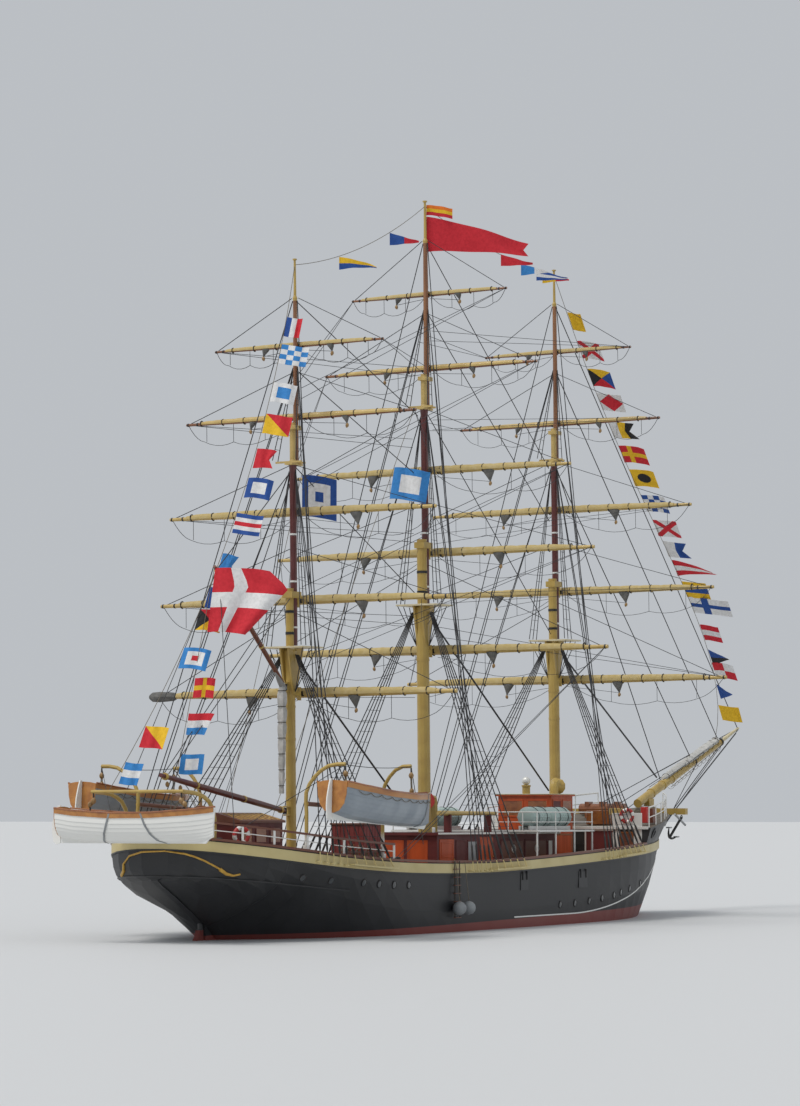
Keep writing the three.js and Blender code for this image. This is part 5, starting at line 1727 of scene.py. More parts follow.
@dataclass
class Spanker:
    """The spanker's boom and gaff, with the sail brailed up to the mast."""

    pivot_x: float = -12.5
    boom_foot: float = 4.52
    boom_end: tuple[float, float] = (-20.95, 5.72)
    gaff_foot: float = 9.05
    gaff_end: tuple[float, float] = (-17.5, 13.15)
    tongue: float = 0.115
    bundle_x: float = -12.76
    bundle_foot: float = 5.15
    bundle_head: float = 9.2
    bundle_radius: float = 0.17
    ties: int = 7
    topping_height: float = 12.3
    halyard_heights: tuple[tuple[float, float], ...] = ((1.0, 17.0), (0.6, 16.6))
    halyard_end: tuple[float, float, float] = (-17.3, 0, 13.02)
    lift_end: tuple[float, float, float] = (-20.6, 0.1, 5.77)
    vang_foot: tuple[float, float, float] = (-20.2, 2.5, 3.9)
    sheet_foot: tuple[float, float, float] = (-19.6, 1.4, 3.25)
    sheet_head: tuple[float, float, float] = (-19.3, 0.02, 5.2)

    def build(self) -> None:
        """Builds both spars, the furled sail and the lines that hold them."""
        self.boom()
        self.gaff()
        self.lines()

    def spar(
        self, shape: Shape, height: float, tip: tuple[float, float], radius: float, finish: Finish,
    ) -> tuple[Vector, Vector]:
        """Adds a tapering spar with buff bands, and the pin that it turns on.

        Args:
            shape: where it goes.
            height: its foot's height.
            tip: place and height of its other end.
            radius: its greatest radius.
            finish: its finish.

        Returns:
            Its foot and its end.
        """
        foot, end = Vector((self.pivot_x - 0.02, 0, height)), Vector((tip[0], 0, tip[1]))
        shares = (0.0, 0.04, 0.2, 0.4, 0.6, 0.8, 0.97, 1.0)
        sizes = (0.55, 0.85, 0.97, 1.0, 0.98, 0.9, 0.7, 0.66)
        shape.run([between(foot, end, s) for s in shares], [radius * s for s in sizes], finish, 14)
        for share in (0.03, 0.34, 0.72, 0.96):
            band = [between(foot, end, share), between(foot, end, share + 0.012)]
            shape.run(band, radius * 1.12, BUFF, 14)
        pin = [(0, 0.07), (self.tongue * 2, 0.07)]
        shape.turned((self.pivot_x, 0, height - self.tongue), UP, pin, IRON)
        return foot, end

    def boom(self) -> None:
        """Builds the boom."""
        shape = Shape("spanker_boom_dressed")
        foot, end = self.spar(shape, self.boom_foot, self.boom_end, 0.115, MAROON)
        for share in (0.7, 0.85, 0.95):
            shape.block(between(foot, end, share) - UP * 0.25, UP, 0.1)
        shape.build("spanker_boom", "spanker_boom")

    def gaff(self) -> None:
        """Builds the gaff with the furled sail against the mast and under the gaff."""
        shape = Shape("spanker_gaff_dressed")
        foot, end = self.spar(shape, self.gaff_foot, self.gaff_end, 0.09, DARK_WOOD)
        self.bundle(shape)
        under = [between(foot, end, s) - UP * drop for s, drop in ((0.02, 0.14), (0.08, 0.13), (0.15, 0.08))]
        shape.run(under, [0.13, 0.1, 0.03], GREY_CANVAS, 10)
        shape.build("spanker_gaff", "spanker_gaff")

    def bundle(self, shape: Shape) -> None:
        """Adds the sail gathered against the mast, with its ties.

        Args:
            shape: where it goes.
        """
        low, high, x = self.bundle_foot, self.bundle_head, self.bundle_x
        chance = random.Random(SEED)
        steps, sides = 28, 16
        rings = []
        for i in range(steps + 1):
            t = i / steps
            z = mix(low, high, t)
            pinch = 1 - 0.2 * abs(math.sin(math.pi * t * self.ties)) ** 6
            radius = self.bundle_radius * min(1.0, 0.55 + 0.7 * t) * pinch * (1 if t < 0.93 else 0.6)
            ring = []
            for k in range(sides):
                angle = 2 * math.pi * k / sides
                fold = 1 + 0.16 * math.sin(5 * angle + 1.3 * t) + chance.uniform(-0.04, 0.04)
                ring.append((x + radius * fold * math.cos(angle) * 0.95, radius * fold * math.sin(angle), z))
            rings.append(ring)
        shape.rings(rings, PALE_CANVAS)
        for i in range(self.ties):
            t = (i + 0.5) / self.ties
            reach = self.bundle_radius * min(1.0, 0.6 + 0.7 * t) * 0.92
            tie = hoop((x, 0, mix(low, high, t)), AHEAD, ACROSS, 12, reach)
            shape.run(tie, 0.014, GASKET, 4, closed=True)

    def lines(self) -> None:
        """Builds the topping lifts, peak halyards, vangs and sheets."""
        lifts, peak = Shape("spanker_lifts"), Shape("spanker_peak_halyards")
        vangs, sheets = Shape("spanker_vangs"), Shape("spanker_sheets")
        peak_end = Vector(self.halyard_end)
        for side in (-1, 1):
            ends = (self.lift_end, self.vang_foot, self.sheet_foot, self.sheet_head)
            lift, vang, foot, head = (Vector((x, side * y, z)) for x, y, z in ends)
            lifts.line(MIZZEN.at(self.topping_height, -0.5, side * 0.2), lift, 0.016, WIRE)
            vangs.line(vang, peak_end + Vector((0, side * 0.06, -0.05)), 0.013, WIRE)
            for dx in (0.0, 0.1):
                sheets.line(foot + AHEAD * dx, head + AHEAD * dx, 0.014, ROPE)
        for share, height in self.halyard_heights:
            held = between((self.pivot_x, 0, self.gaff_foot), peak_end, share)
            peak.line(MIZZEN.at(height, -0.1), held + UP * 0.08, 0.018, WIRE)
        lifts.bend("spanker_boom", (-12.8, 0, 6), (-20.4, 0, 6))
        peak.bend("spanker_gaff", (-12.6, 0, 12), (-14.6, 0, 12))
        vangs.bend("spanker_gaff", (0, 0, 4.5), (0, 0, 12))
        sheets.bend("spanker_boom", (0, 0, 3.6), (0, 0, 5.0))


# Decks and houses


MAIN_DECK_DEPTH = 0.9
QUARTERDECK_DEPTH = 0.35


def coat(node: str, finish: Finish) -> None:
    """Paints a CAD node without touching its shape.

    Args:
        node: its name.
        finish: its new finish.
    """
    for slot in bpy.data.objects[NODE_OBJECTS[node]].material_slots:
        slot.material = finish.material()


def forecastle_top(x: float) -> float:
    """Height of the forecastle's deck."""
    return mix(3.85, 4.8, (x - FORECASTLE_X) / 9.2)


@dataclass
class Joinery:
    """Framed panels, doors and windows on a wall that faces to port or to starboard, or fore and aft."""

    shape: Shape
    proud: float = 0.025

    def panel(self, a: Point, b: Point, out: Point, frame: Finish, inner: Finish, rim: float = 0.07) -> None:
        """Adds a framed panel.

        Args:
            a: one lower corner on the wall.
            b: the opposite upper corner.
            out: the wall's outward direction.
            frame: the frame's finish.
            inner: the panel's finish.
            rim: the frame's width.
        """
        low, high, way = Vector(a), Vector(b), Vector(out)
        along = Vector((high.x - low.x, high.y - low.y, 0)).normalized() * rim
        near, far = low + along, high - along
        foot, head = low.z + rim, high.z - rim
        self.slab(low, high, way, self.proud * 0.5, inner)
        for start, end in (
            (low, (high.x, high.y, foot)), ((low.x, low.y, head), high),
            ((low.x, low.y, foot), (near.x, near.y, head)), ((far.x, far.y, foot), (high.x, high.y, head)),
        ):
            self.slab(Vector(start), Vector(end), way, self.proud, frame)

    def slab(self, low: Vector, high: Vector, way: Vector, out: float, finish: Finish) -> None:
        """Adds a plain slab between two corners on the wall.

        Args:
            low: one corner.
            high: the opposite corner.
            way: the wall's outward direction.
            out: how far it stands proud.
            finish: its finish.
        """
        corners = [place + way * reach for place in (low, high) for reach in (-0.015, out)]
        a, b = (Vector([pick(values) for values in zip(*corners)]) for pick in (min, max))
        self.shape.box(a, b, finish, 0.008)

    def port(self, place: Point, out: Point, finish: Finish, radius: float = 0.14) -> None:
        """Adds a round window with its rim.

        Args:
            place: its middle on the wall.
            out: the wall's outward direction.
            finish: the rim's finish.
            radius: the glass's radius.
        """
        rim = [(-0.02, radius + 0.04), (0.03, radius + 0.035), (0.04, radius + 0.01), (0.02, radius)]
        glass = [(-0.02, radius), (0.025, radius * 0.98), (0.028, radius * 0.5)]
        self.shape.turned(place, out, rim, finish, 16)
        self.shape.turned(place, out, glass, GLASS, 16)


@dataclass
class MidshipHouse:
    """The long deckhouse amidships with its doors, ports, ventilator and the rafts' platform."""

    aft: float = -4.1
    fore: float = 6.6
    half: float = 1.9
    roof: float = 3.6
    sill: float = 1.95
    lintel: float = 3.4
    bays: tuple[tuple[float, float, Finish], ...] = (
        (-2.5, -1.65, RED_HOUSE), (-1.52, -0.64, STEEL), (1.45, 3.6, DARK_WOOD), (3.65, 5.75, DARK_WOOD),
        (5.84, 6.35, WHITE),
    )
    ports: tuple[float, float] = (2.6, 4.76)
    raft_aft: float = 1.9
    raft_fore: float = 7.3
    raft_half: float = 3.35
    raft_foot: float = 3.702
    rails: tuple[tuple[float, float], ...] = ((0.8, 0.024), (0.4, 0.016))
    bars: tuple[float, float] = (3.7, 5.5)
    raft_planks: int = 22
    canister_y: float = 2.55
    port_height: float = 3.02
    vent: tuple[float, float, float] = (0.8, 0.9, 3.71)
    vent_mouth: float = 0.6
    spare_spar: tuple[float, float] = (-1.6, 4.3)

    def build(self) -> None:
        """Builds everything on and round the house."""
        Repainted("midship_deckhouse", SHIP, self.finish).build()
        self.joinery()
        self.doors()
        self.raft_deck()

    def finish(self, centre: Vector, normal: Vector) -> Finish:
        """Red walls, a red-brown roof, a buff ventilator and a buff spare spar.

        Args:
            centre: the face's middle.
            normal: the face's normal.

        Returns:
            The face's finish.
        """
        x, y, foot = self.vent
        if abs(centre.x - x) < 0.75 and abs(centre.y - y) < 0.4 and centre.z > foot:
            return RED_PAINT if normal.x < -0.8 and centre.x < self.vent_mouth else BUFF
        y, foot = self.spare_spar
        if centre.z > foot and abs(centre.y - y) < 0.13:
            return YARD_BUFF
        if normal.z > 0.8:
            return RAFT_PLANKS
        return RED_HOUSE

    def joinery(self) -> None:
        """Builds the panels and round windows of both long walls, and the roof's edging."""
        shape = Shape("deckhouse_joinery")
        joinery = Joinery(shape)
        for side in (-1, 1):
            y = side * self.half
            out = (0, side, 0)
            for a, b, inner in self.bays:
                joinery.panel((a, y, self.sill), (b, y, self.lintel), out, RED_HOUSE, inner)
            for x in self.ports:
                joinery.port((x, y + side * 0.012, self.port_height), out, WHITE)
            edge = side * (self.half + 0.15)
            low = (self.aft - 0.16, edge - 0.02, self.roof + 0.02)
            shape.box(low, (self.fore + 0.16, edge + 0.02, self.roof + 0.09), WHITE)
        for x, out in ((self.aft, (-1, 0, 0)), (self.fore, (1, 0, 0))):
            for y in (-1.5, -0.45, 0.6):
                joinery.panel((x, y, self.sill), (x, y + 0.9, self.lintel), out, ORANGE, ORANGE)
        for x in (self.aft + 0.4, self.fore - 0.3):
            for y in (-1.55, 1.55):
                low = (x - 0.05, y - 0.05, self.roof + 0.09)
                shape.box(low, (x + 0.05, y + 0.05, self.roof + 0.3), WHITE)
        shape.build(SHIP)

    def doors(self) -> None:
        """Builds the two hinged doors."""
        for node in ("deckhouse_door_aft", "deckhouse_door_fore"):
            low, high = (Vector(p) / MODEL_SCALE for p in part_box(node))
            shape = Shape(f"{node}_dressed")
            shape.box(low, high, ORANGE, 0.008)
            joinery = Joinery(shape, 0.02)
            middle = mix(low.z, high.z, 0.52)
            y = low.y + 0.002
            for foot, head in ((low.z + 0.12, middle - 0.06), (middle + 0.06, high.z - 0.1)):
                joinery.panel((low.x + 0.1, y, foot), (high.x - 0.1, y, head), (0, -1, 0), ORANGE, ORANGE)
            knob = [(0, 0.015), (0.03, 0.015), (0.04, 0.03), (0.06, 0.02)]
            shape.turned((high.x - 0.07, low.y, middle), (0, -1, 0), knob, BRONZE)
            shape.build(node, node)

    def raft_deck(self) -> None:
        """Builds the platform, its white rails and the four raft canisters."""
        shape = Shape("raft_platform")
        aft, fore, half, over = self.raft_aft, self.raft_fore, self.raft_half, self.raft_foot
        for i in range(self.raft_planks):
            y0, y1 = (mix(-half, half, (i + end) / self.raft_planks) for end in (0, 1))
            shape.box((aft, y0 + 0.012, over + 0.03), (fore, y1 - 0.012, over + 0.08), RAFT_PLANKS, 0.008)
        for x in (aft + 0.05, *self.bars, fore - 0.05):
            shape.box((x - 0.05, -half + 0.02, over), (x + 0.05, half - 0.02, over + 0.035), DARK_WOOD)
        edges = (
            (aft - 0.02, -half - 0.02, fore + 0.02, -half + 0.01),
            (aft - 0.02, half - 0.01, fore + 0.02, half + 0.02),
            (aft - 0.02, -half, aft + 0.01, half), (fore - 0.01, -half, fore + 0.02, half),
        )
        for x0, y0, x1, y1 in edges:
            shape.box((x0, y0, over), (x1, y1, over + 0.075), WHITE)
        xs = (aft + 0.06, *self.bars, fore - 0.06)
        for side in (-1, 1):
            y = side * (half - 0.06)
            for x in xs:
                deck = sheer(x) - MAIN_DECK_DEPTH + 0.01
                shape.line((x, y, deck), (x, y, over + 0.02), 0.042, WHITE, 8)
                shape.turned((x, y, deck), UP, [(0, 0.09), (0.03, 0.09), (0.04, 0.05)], WHITE, 10)
                shape.turned((x, y, over + 0.78), UP, [(0, 0.03), (0.03, 0.04), (0.06, 0.03)], WHITE, 8)
            inner = [side * mix(1.35, half - 0.06, i / 3) for i in range(3)]
            for post_x, post_y in [(x, y) for x in xs] + [(xs[0], y) for y in inner]:
                shape.line((post_x, post_y, over + 0.03), (post_x, post_y, over + 0.8), 0.024, WHITE, 8)
            for up, radius in self.rails:
                shape.line((xs[0] - 0.05, y, over + up), (xs[-1] + 0.05, y, over + up), radius, WHITE, 8)
                shape.line((xs[0], inner[0], over + up), (xs[0], y, over + up), radius, WHITE, 8)
            self.canisters(shape, side * self.canister_y, aft + 0.45, over + 0.08)
        shape.build(SHIP, "raft_deck")

    def canisters(self, shape: Shape, y: float, start: float, floor: float) -> None:
        """Adds one side's two raft canisters with their ribs, seam, straps and cradle.

        Args:
            shape: where they go.
            y: their middle.
            start: the aftermost end.
            floor: the platform's height.
        """
        radius, length, gap = 0.42, 1.75, 0.25
        shell = [(0, 0.1), (0.01, 0.25), (0.05, 0.34), (0.12, 0.385)]
        for k in range(7):
            a = mix(0.2, length - 0.3, k / 6)
            shell += [(a, 0.39), (a + 0.02, 0.415), (a + 0.075, 0.415), (a + 0.095, 0.39)]
        shell += [(length - 0.12, 0.385), (length - 0.05, 0.34), (length - 0.01, 0.25), (length, 0.1)]
        for i in range(2):
            x = start + i * (length + gap)
            z = floor + 0.1 + radius
            shape.turned((x, y, z), AHEAD, shell, RAFT_SHELL, 28)
            for side in (-1, 1):
                ys = sorted((y + side * radius, y + side * (radius - 0.04)))
                shape.box((x + 0.12, ys[0], z - 0.025), (x + length - 0.12, ys[1], z + 0.025), RAFT_SHELL)
            for share in (0.28, 0.72):
                strap = hoop((x + length * share, y, z), ACROSS, UP, 20, 0.425)
                shape.run(strap, 0.016, WIRE, 4, closed=True)
        end = start + 2 * length + gap
        for side in (-1, 1):
            runner = y + side * 0.22
            low = (start - 0.05, runner - 0.04, floor - 0.02)
            shape.box(low, (end + 0.05, runner + 0.04, floor + 0.16), WHITE)
        for share in (0.1, 0.4, 0.6, 0.9):
            x = mix(start, end, share)
            shape.box((x - 0.05, y - 0.27, floor - 0.01), (x + 0.05, y + 0.27, floor + 0.12), WHITE)


@dataclass
class ForeHouse:
    """The tall varnished house before the mainmast's platform, with its ventilator and lantern."""

    aft: float = 7.6
    fore: float = 9.7
    half: float = 1.25
    top: float = 5.2

    def build(self) -> None:
        """Builds the house's finish, joinery and lantern."""
        Repainted("fore_house", SHIP, self.finish).build()
        shape = Shape("fore_house_joinery")
        joinery = Joinery(shape)
        for side in (-1, 1):
            panels = (
                (self.aft + 0.08, 8.55, 4.1, 5.05, ORANGE, RED_HOUSE),
                (8.65, self.fore - 0.08, 4.1, 5.05, ORANGE, VARNISH),
                (self.aft + 0.08, self.fore - 0.08, 2.4, 3.6, VARNISH, ORANGE),
            )
            y = side * self.half
            for aft, fore, foot, head, frame, inner in panels:
                joinery.panel((aft, y, foot), (fore, y, head), (0, side, 0), frame, inner)
        for x, out in ((self.aft, (-1, 0, 0)), (self.fore, (1, 0, 0))):
            for y in (-1.1, 0.05):
                joinery.panel((x, y, 4.3), (x, y + 1.0, 5.05), out, ORANGE, VARNISH)
        reach = self.half + 0.1
        low = (self.aft - 0.1, -reach, self.top + 0.05)
        shape.box(low, (self.fore + 0.1, reach, self.top + 0.085), PALE_BUFF)
        foot = Vector((7.75, 0.0, self.top + 0.07))
        lamp = [(0, 0.16), (0.05, 0.17), (0.3, 0.17), (0.33, 0.2), (0.38, 0.2), (0.4, 0.1)]
        globe = [
            (0.4, 0.06), (0.43, 0.12), (0.5, 0.17), (0.58, 0.18), (0.66, 0.15), (0.72, 0.08), (0.74, 0.02),
        ]
        shape.turned(foot, UP, lamp, BUFF, 18)
        shape.turned(foot, UP, globe, WHITE, 20)
        shape.build(SHIP)

    def finish(self, centre: Vector, normal: Vector) -> Finish:
        """Orange varnish with a buff ventilator, red inside its mouth.

        Args:
            centre: the face's middle.
            normal: the face's normal.

        Returns:
            The face's finish.
        """
        if centre.z > self.top + 0.08:
            return RED_PAINT if normal.x > 0.8 and centre.x > 8.9 else BUFF
        return RED_HOUSE if normal.z > 0.8 else ORANGE


def lifebuoy(shape: Shape, centre: Vector, way: Vector) -> None:
    """Adds a red lifebuoy with four white bands.

    Args:
        shape: where it goes.
        centre: its middle.
        way: the direction that it faces.
    """
    axis = way.normalized()
    side = axis.cross(UP).normalized()
    sections = 32
    for part in range(8):
        white = part % 2 == 1
        span, size, finish = (3, 0.077, WHITE) if white else (5, 0.075, RED_PAINT)
        start = (part // 2) * 8 + (5 if white else 0)
        rings = []
        for i in range(span + 1):
            angle = 2 * math.pi * (start + i) / sections
            spoke = side * math.cos(angle) + UP * math.sin(angle)
            rings.append(hoop(centre + spoke * 0.26, spoke, axis, 10, size))
        shape.rings(rings, finish)


@dataclass
class AfterDeck:
    """The quarterdeck's rail, house, wheel and steering gear."""

    wheel: tuple[float, float] = (-18.35, 4.1)
    binnacle_x: float = -17.75
    bitts: tuple[tuple[float, float], ...] = ((-19.9, 1.6), (-10.2, 3.35), (11.2, 3.35 * 0.85))
    buoy: tuple[float, float, float] = (-19.47, -2.34, 3.66)
    buoy_way: tuple[float, float, float] = (-0.55, -0.83, 0)
    companion_x: float = -7.2
    companion_box: tuple[float, float, float, float] = (-7.8, -6.3, 0.7, 4.02)
    companion_planks: int = 7
    pins: int = 9
    pin_gap: float = 0.32
    pin_rail_inset: float = 0.22
    skylight_bars: int = 9
    skylight_ends: tuple[float, float] = (-17.1, -14.5)
    house_half: float = 0.95

    def build(self) -> None:
        """Builds the quarterdeck's pieces."""
        Repainted("quarterdeck_rail", SHIP, self.rail_finish, 50.0).build()
        Repainted("aft_house", SHIP, lambda c, n: DARK_WOOD if c.z > 4.05 else RED_HOUSE).build()
        coat("steering_gear", WHITE)
        Repainted("steering_wheel", "steering_wheel", self.wheel_finish).build()
        coat("cap_rail", DARK_WOOD)
        coat("main_deck", DECK)
        coat("quarterdeck", DECK)
        self.low_rail()
        self.house_joinery()
        self.small_gear()

    def rail_finish(self, centre: Vector, normal: Vector) -> Finish:
        """A dark wooden handrail on white stanchions."""
        return DARK_WOOD if centre.z > sheer(centre.x) + 0.56 else WHITE

    def wheel_finish(self, centre: Vector, normal: Vector) -> Finish:
        """A varnished wheel with a bronze hub."""
        out = math.hypot(centre.y, centre.z - self.wheel[1])
        return BRONZE if out < 0.12 else VARNISH

    def low_rail(self) -> None:
        """Builds the white rod half-way up the quarterdeck's stanchions."""
        shape = Shape("quarterdeck_low_rail")
        places = [v.co / MODEL_SCALE for v in node_mesh("quarterdeck_rail").vertices]
        posts = [p for p in places if p.z < sheer(p.x) + 0.13]
        for side in (-1, 1):
            line: list[Vector] = []
            near = [p for p in posts if p.y * side > 0]
            for post in sorted(near, key=lambda p: math.atan2(p.y * side, p.x + 9.0)):
                if not line or (post - line[-1]).xy.length > 0.4:
                    line.append(Vector((post.x, post.y, sheer(post.x) + 0.36)))
            shape.run(line, 0.018, WHITE, 6)
        shape.build(SHIP)

    def house_joinery(self) -> None:
        """Builds the after house's panels and the skylight bars."""
        shape = Shape("aft_house_joinery")
        joinery = Joinery(shape)
        for side in (-1, 1):
            y = side * self.house_half
            for x in (-17.2, -16.2, -15.2):
                joinery.panel((x, y, 3.35), (x + 0.8, y, 3.95), (0, side, 0), RED_HOUSE, VARNISH, 0.06)
            for i in range(self.skylight_bars):
                x = mix(*self.skylight_ends, i / (self.skylight_bars - 1))
                shape.line((x, side * 0.15, 4.43), (x, y, 4.2), 0.014, BRONZE, 6)
        shape.build(SHIP)

    def small_gear(self) -> None:
        """Builds the binnacle, bitts, companion, lifebuoy and pin rails."""
        shape = Shape("deck_gear")
        deck = sheer(self.binnacle_x) - QUARTERDECK_DEPTH
        binnacle = [
            (0, 0.2), (0.05, 0.2), (0.1, 0.14), (0.7, 0.12), (0.75, 0.18), (0.95, 0.2), (1.08, 0.14),
            (1.14, 0.04),
        ]
        shape.turned((self.binnacle_x, 0, deck), UP, binnacle, VARNISH, 16)
        post = [(0, 0.1), (0.45, 0.1), (0.47, 0.13), (0.53, 0.13), (0.55, 0.05)]
        for x, y in self.bitts:
            floor = sheer(x) - (MAIN_DECK_DEPTH if x > BREAK_X else QUARTERDECK_DEPTH)
            for side in (-1, 1):
                for dx in (-0.16, 0.16):
                    shape.turned((x + dx, side * y, floor), UP, post, IRON, 14)
        self.companion(shape, sheer(self.companion_x) - MAIN_DECK_DEPTH)
        lifebuoy(shape, Vector(self.buoy), Vector(self.buoy_way))
        self.pin_rails(shape)
        shape.build(SHIP)

    def companion(self, shape: Shape, floor: float) -> None:
        """Adds the planked companion that stands on the main deck abaft the deckhouse.

        Args:
            shape: where it goes.
            floor: the deck's height.
        """
        aft, fore, half, top = self.companion_box
        shape.box((aft, -half, floor - 0.02), (fore, half, top), RED_HOUSE, 0.02)
        planks = self.companion_planks
        low, high = floor + 0.12, top - 0.08
        for i in range(planks):
            x0, x1 = (mix(aft, fore, (i + end) / planks) for end in (0, 1))
            y0, y1 = (mix(-half, half, (i + end) / planks) for end in (0, 1))
            for side in (-1, 1):
                ys = sorted((side * (half - 0.01), side * (half + 0.02)))
                shape.box((x0 + 0.012, ys[0], low), (x1 - 0.012, ys[1], high), RED_PLANKS, 0.008)
            for x in (aft, fore):
                shape.box((x - 0.02, y0 + 0.012, low), (x + 0.02, y1 - 0.012, high), RED_PLANKS, 0.008)
        eave = half + 0.06
        shape.box((aft - 0.06, -eave, top - 0.02), (fore + 0.06, eave, top + 0.05), DARK_WOOD, 0.02)

    def pin_rails(self, shape: Shape) -> None:
        """Adds the pin rails inside the bulwarks with their coiled ropes.

        Args:
            shape: where they go.
        """
        chance = random.Random(SEED)
        pin = [(0, 0.012), (0.18, 0.014), (0.2, 0.03), (0.32, 0.026), (0.36, 0.01)]
        for mast in MASTS:
            rise = 0.35 if mast is MIZZEN else -0.12
            start = mast.x + mast.first_shroud + 0.15
            for side in (-1, 1):
                for i in range(self.pins):
                    x = start - self.pin_gap * i
                    y = side * (self.inner(x) - self.pin_rail_inset)
                    z = sheer(x) + rise
                    shape.turned((x, y, z - 0.2), UP, pin, VARNISH, 6)
                    half = chance.uniform(0.26, 0.4) / 2
                    coil = hoop((x, y - side * 0.05, z - 0.02 - half), UP * half, AHEAD * 0.07, 10)
                    shape.run(coil, 0.03, ROPE, 5, closed=True)
                ends = (start + 0.15, start - self.pin_gap * (self.pins - 1) - 0.15)
                z = sheer(mast.x) + rise
                corners = ((-0.08, -0.03), (0.08, -0.03), (0.08, 0.03), (-0.08, 0.03))
                middle = mix(*ends, 0.5)
                for part in ((ends[0], middle), (middle, ends[1])):
                    rings = []
                    for x in part:
                        y = side * (self.inner(x) - self.pin_rail_inset)
                        rings.append([(x, y + dy, z + dz) for dy, dz in corners])
                    shape.rings(rings, DARK_WOOD)

    def inner(self, x: float) -> float:
        """Half-breadth inside the bulwark.

        Args:
            x: place along the ship.

        Returns:
            The distance from the centreline.
        """
        aft = min(1.0, max(0.0, (-9 - x) / 12.35))
        fore = min(1.0, max(0.0, (x - 6) / 14.5))
        return 4.25 * math.sqrt(1 - aft**4) * (1 - fore**2.4) - 0.12


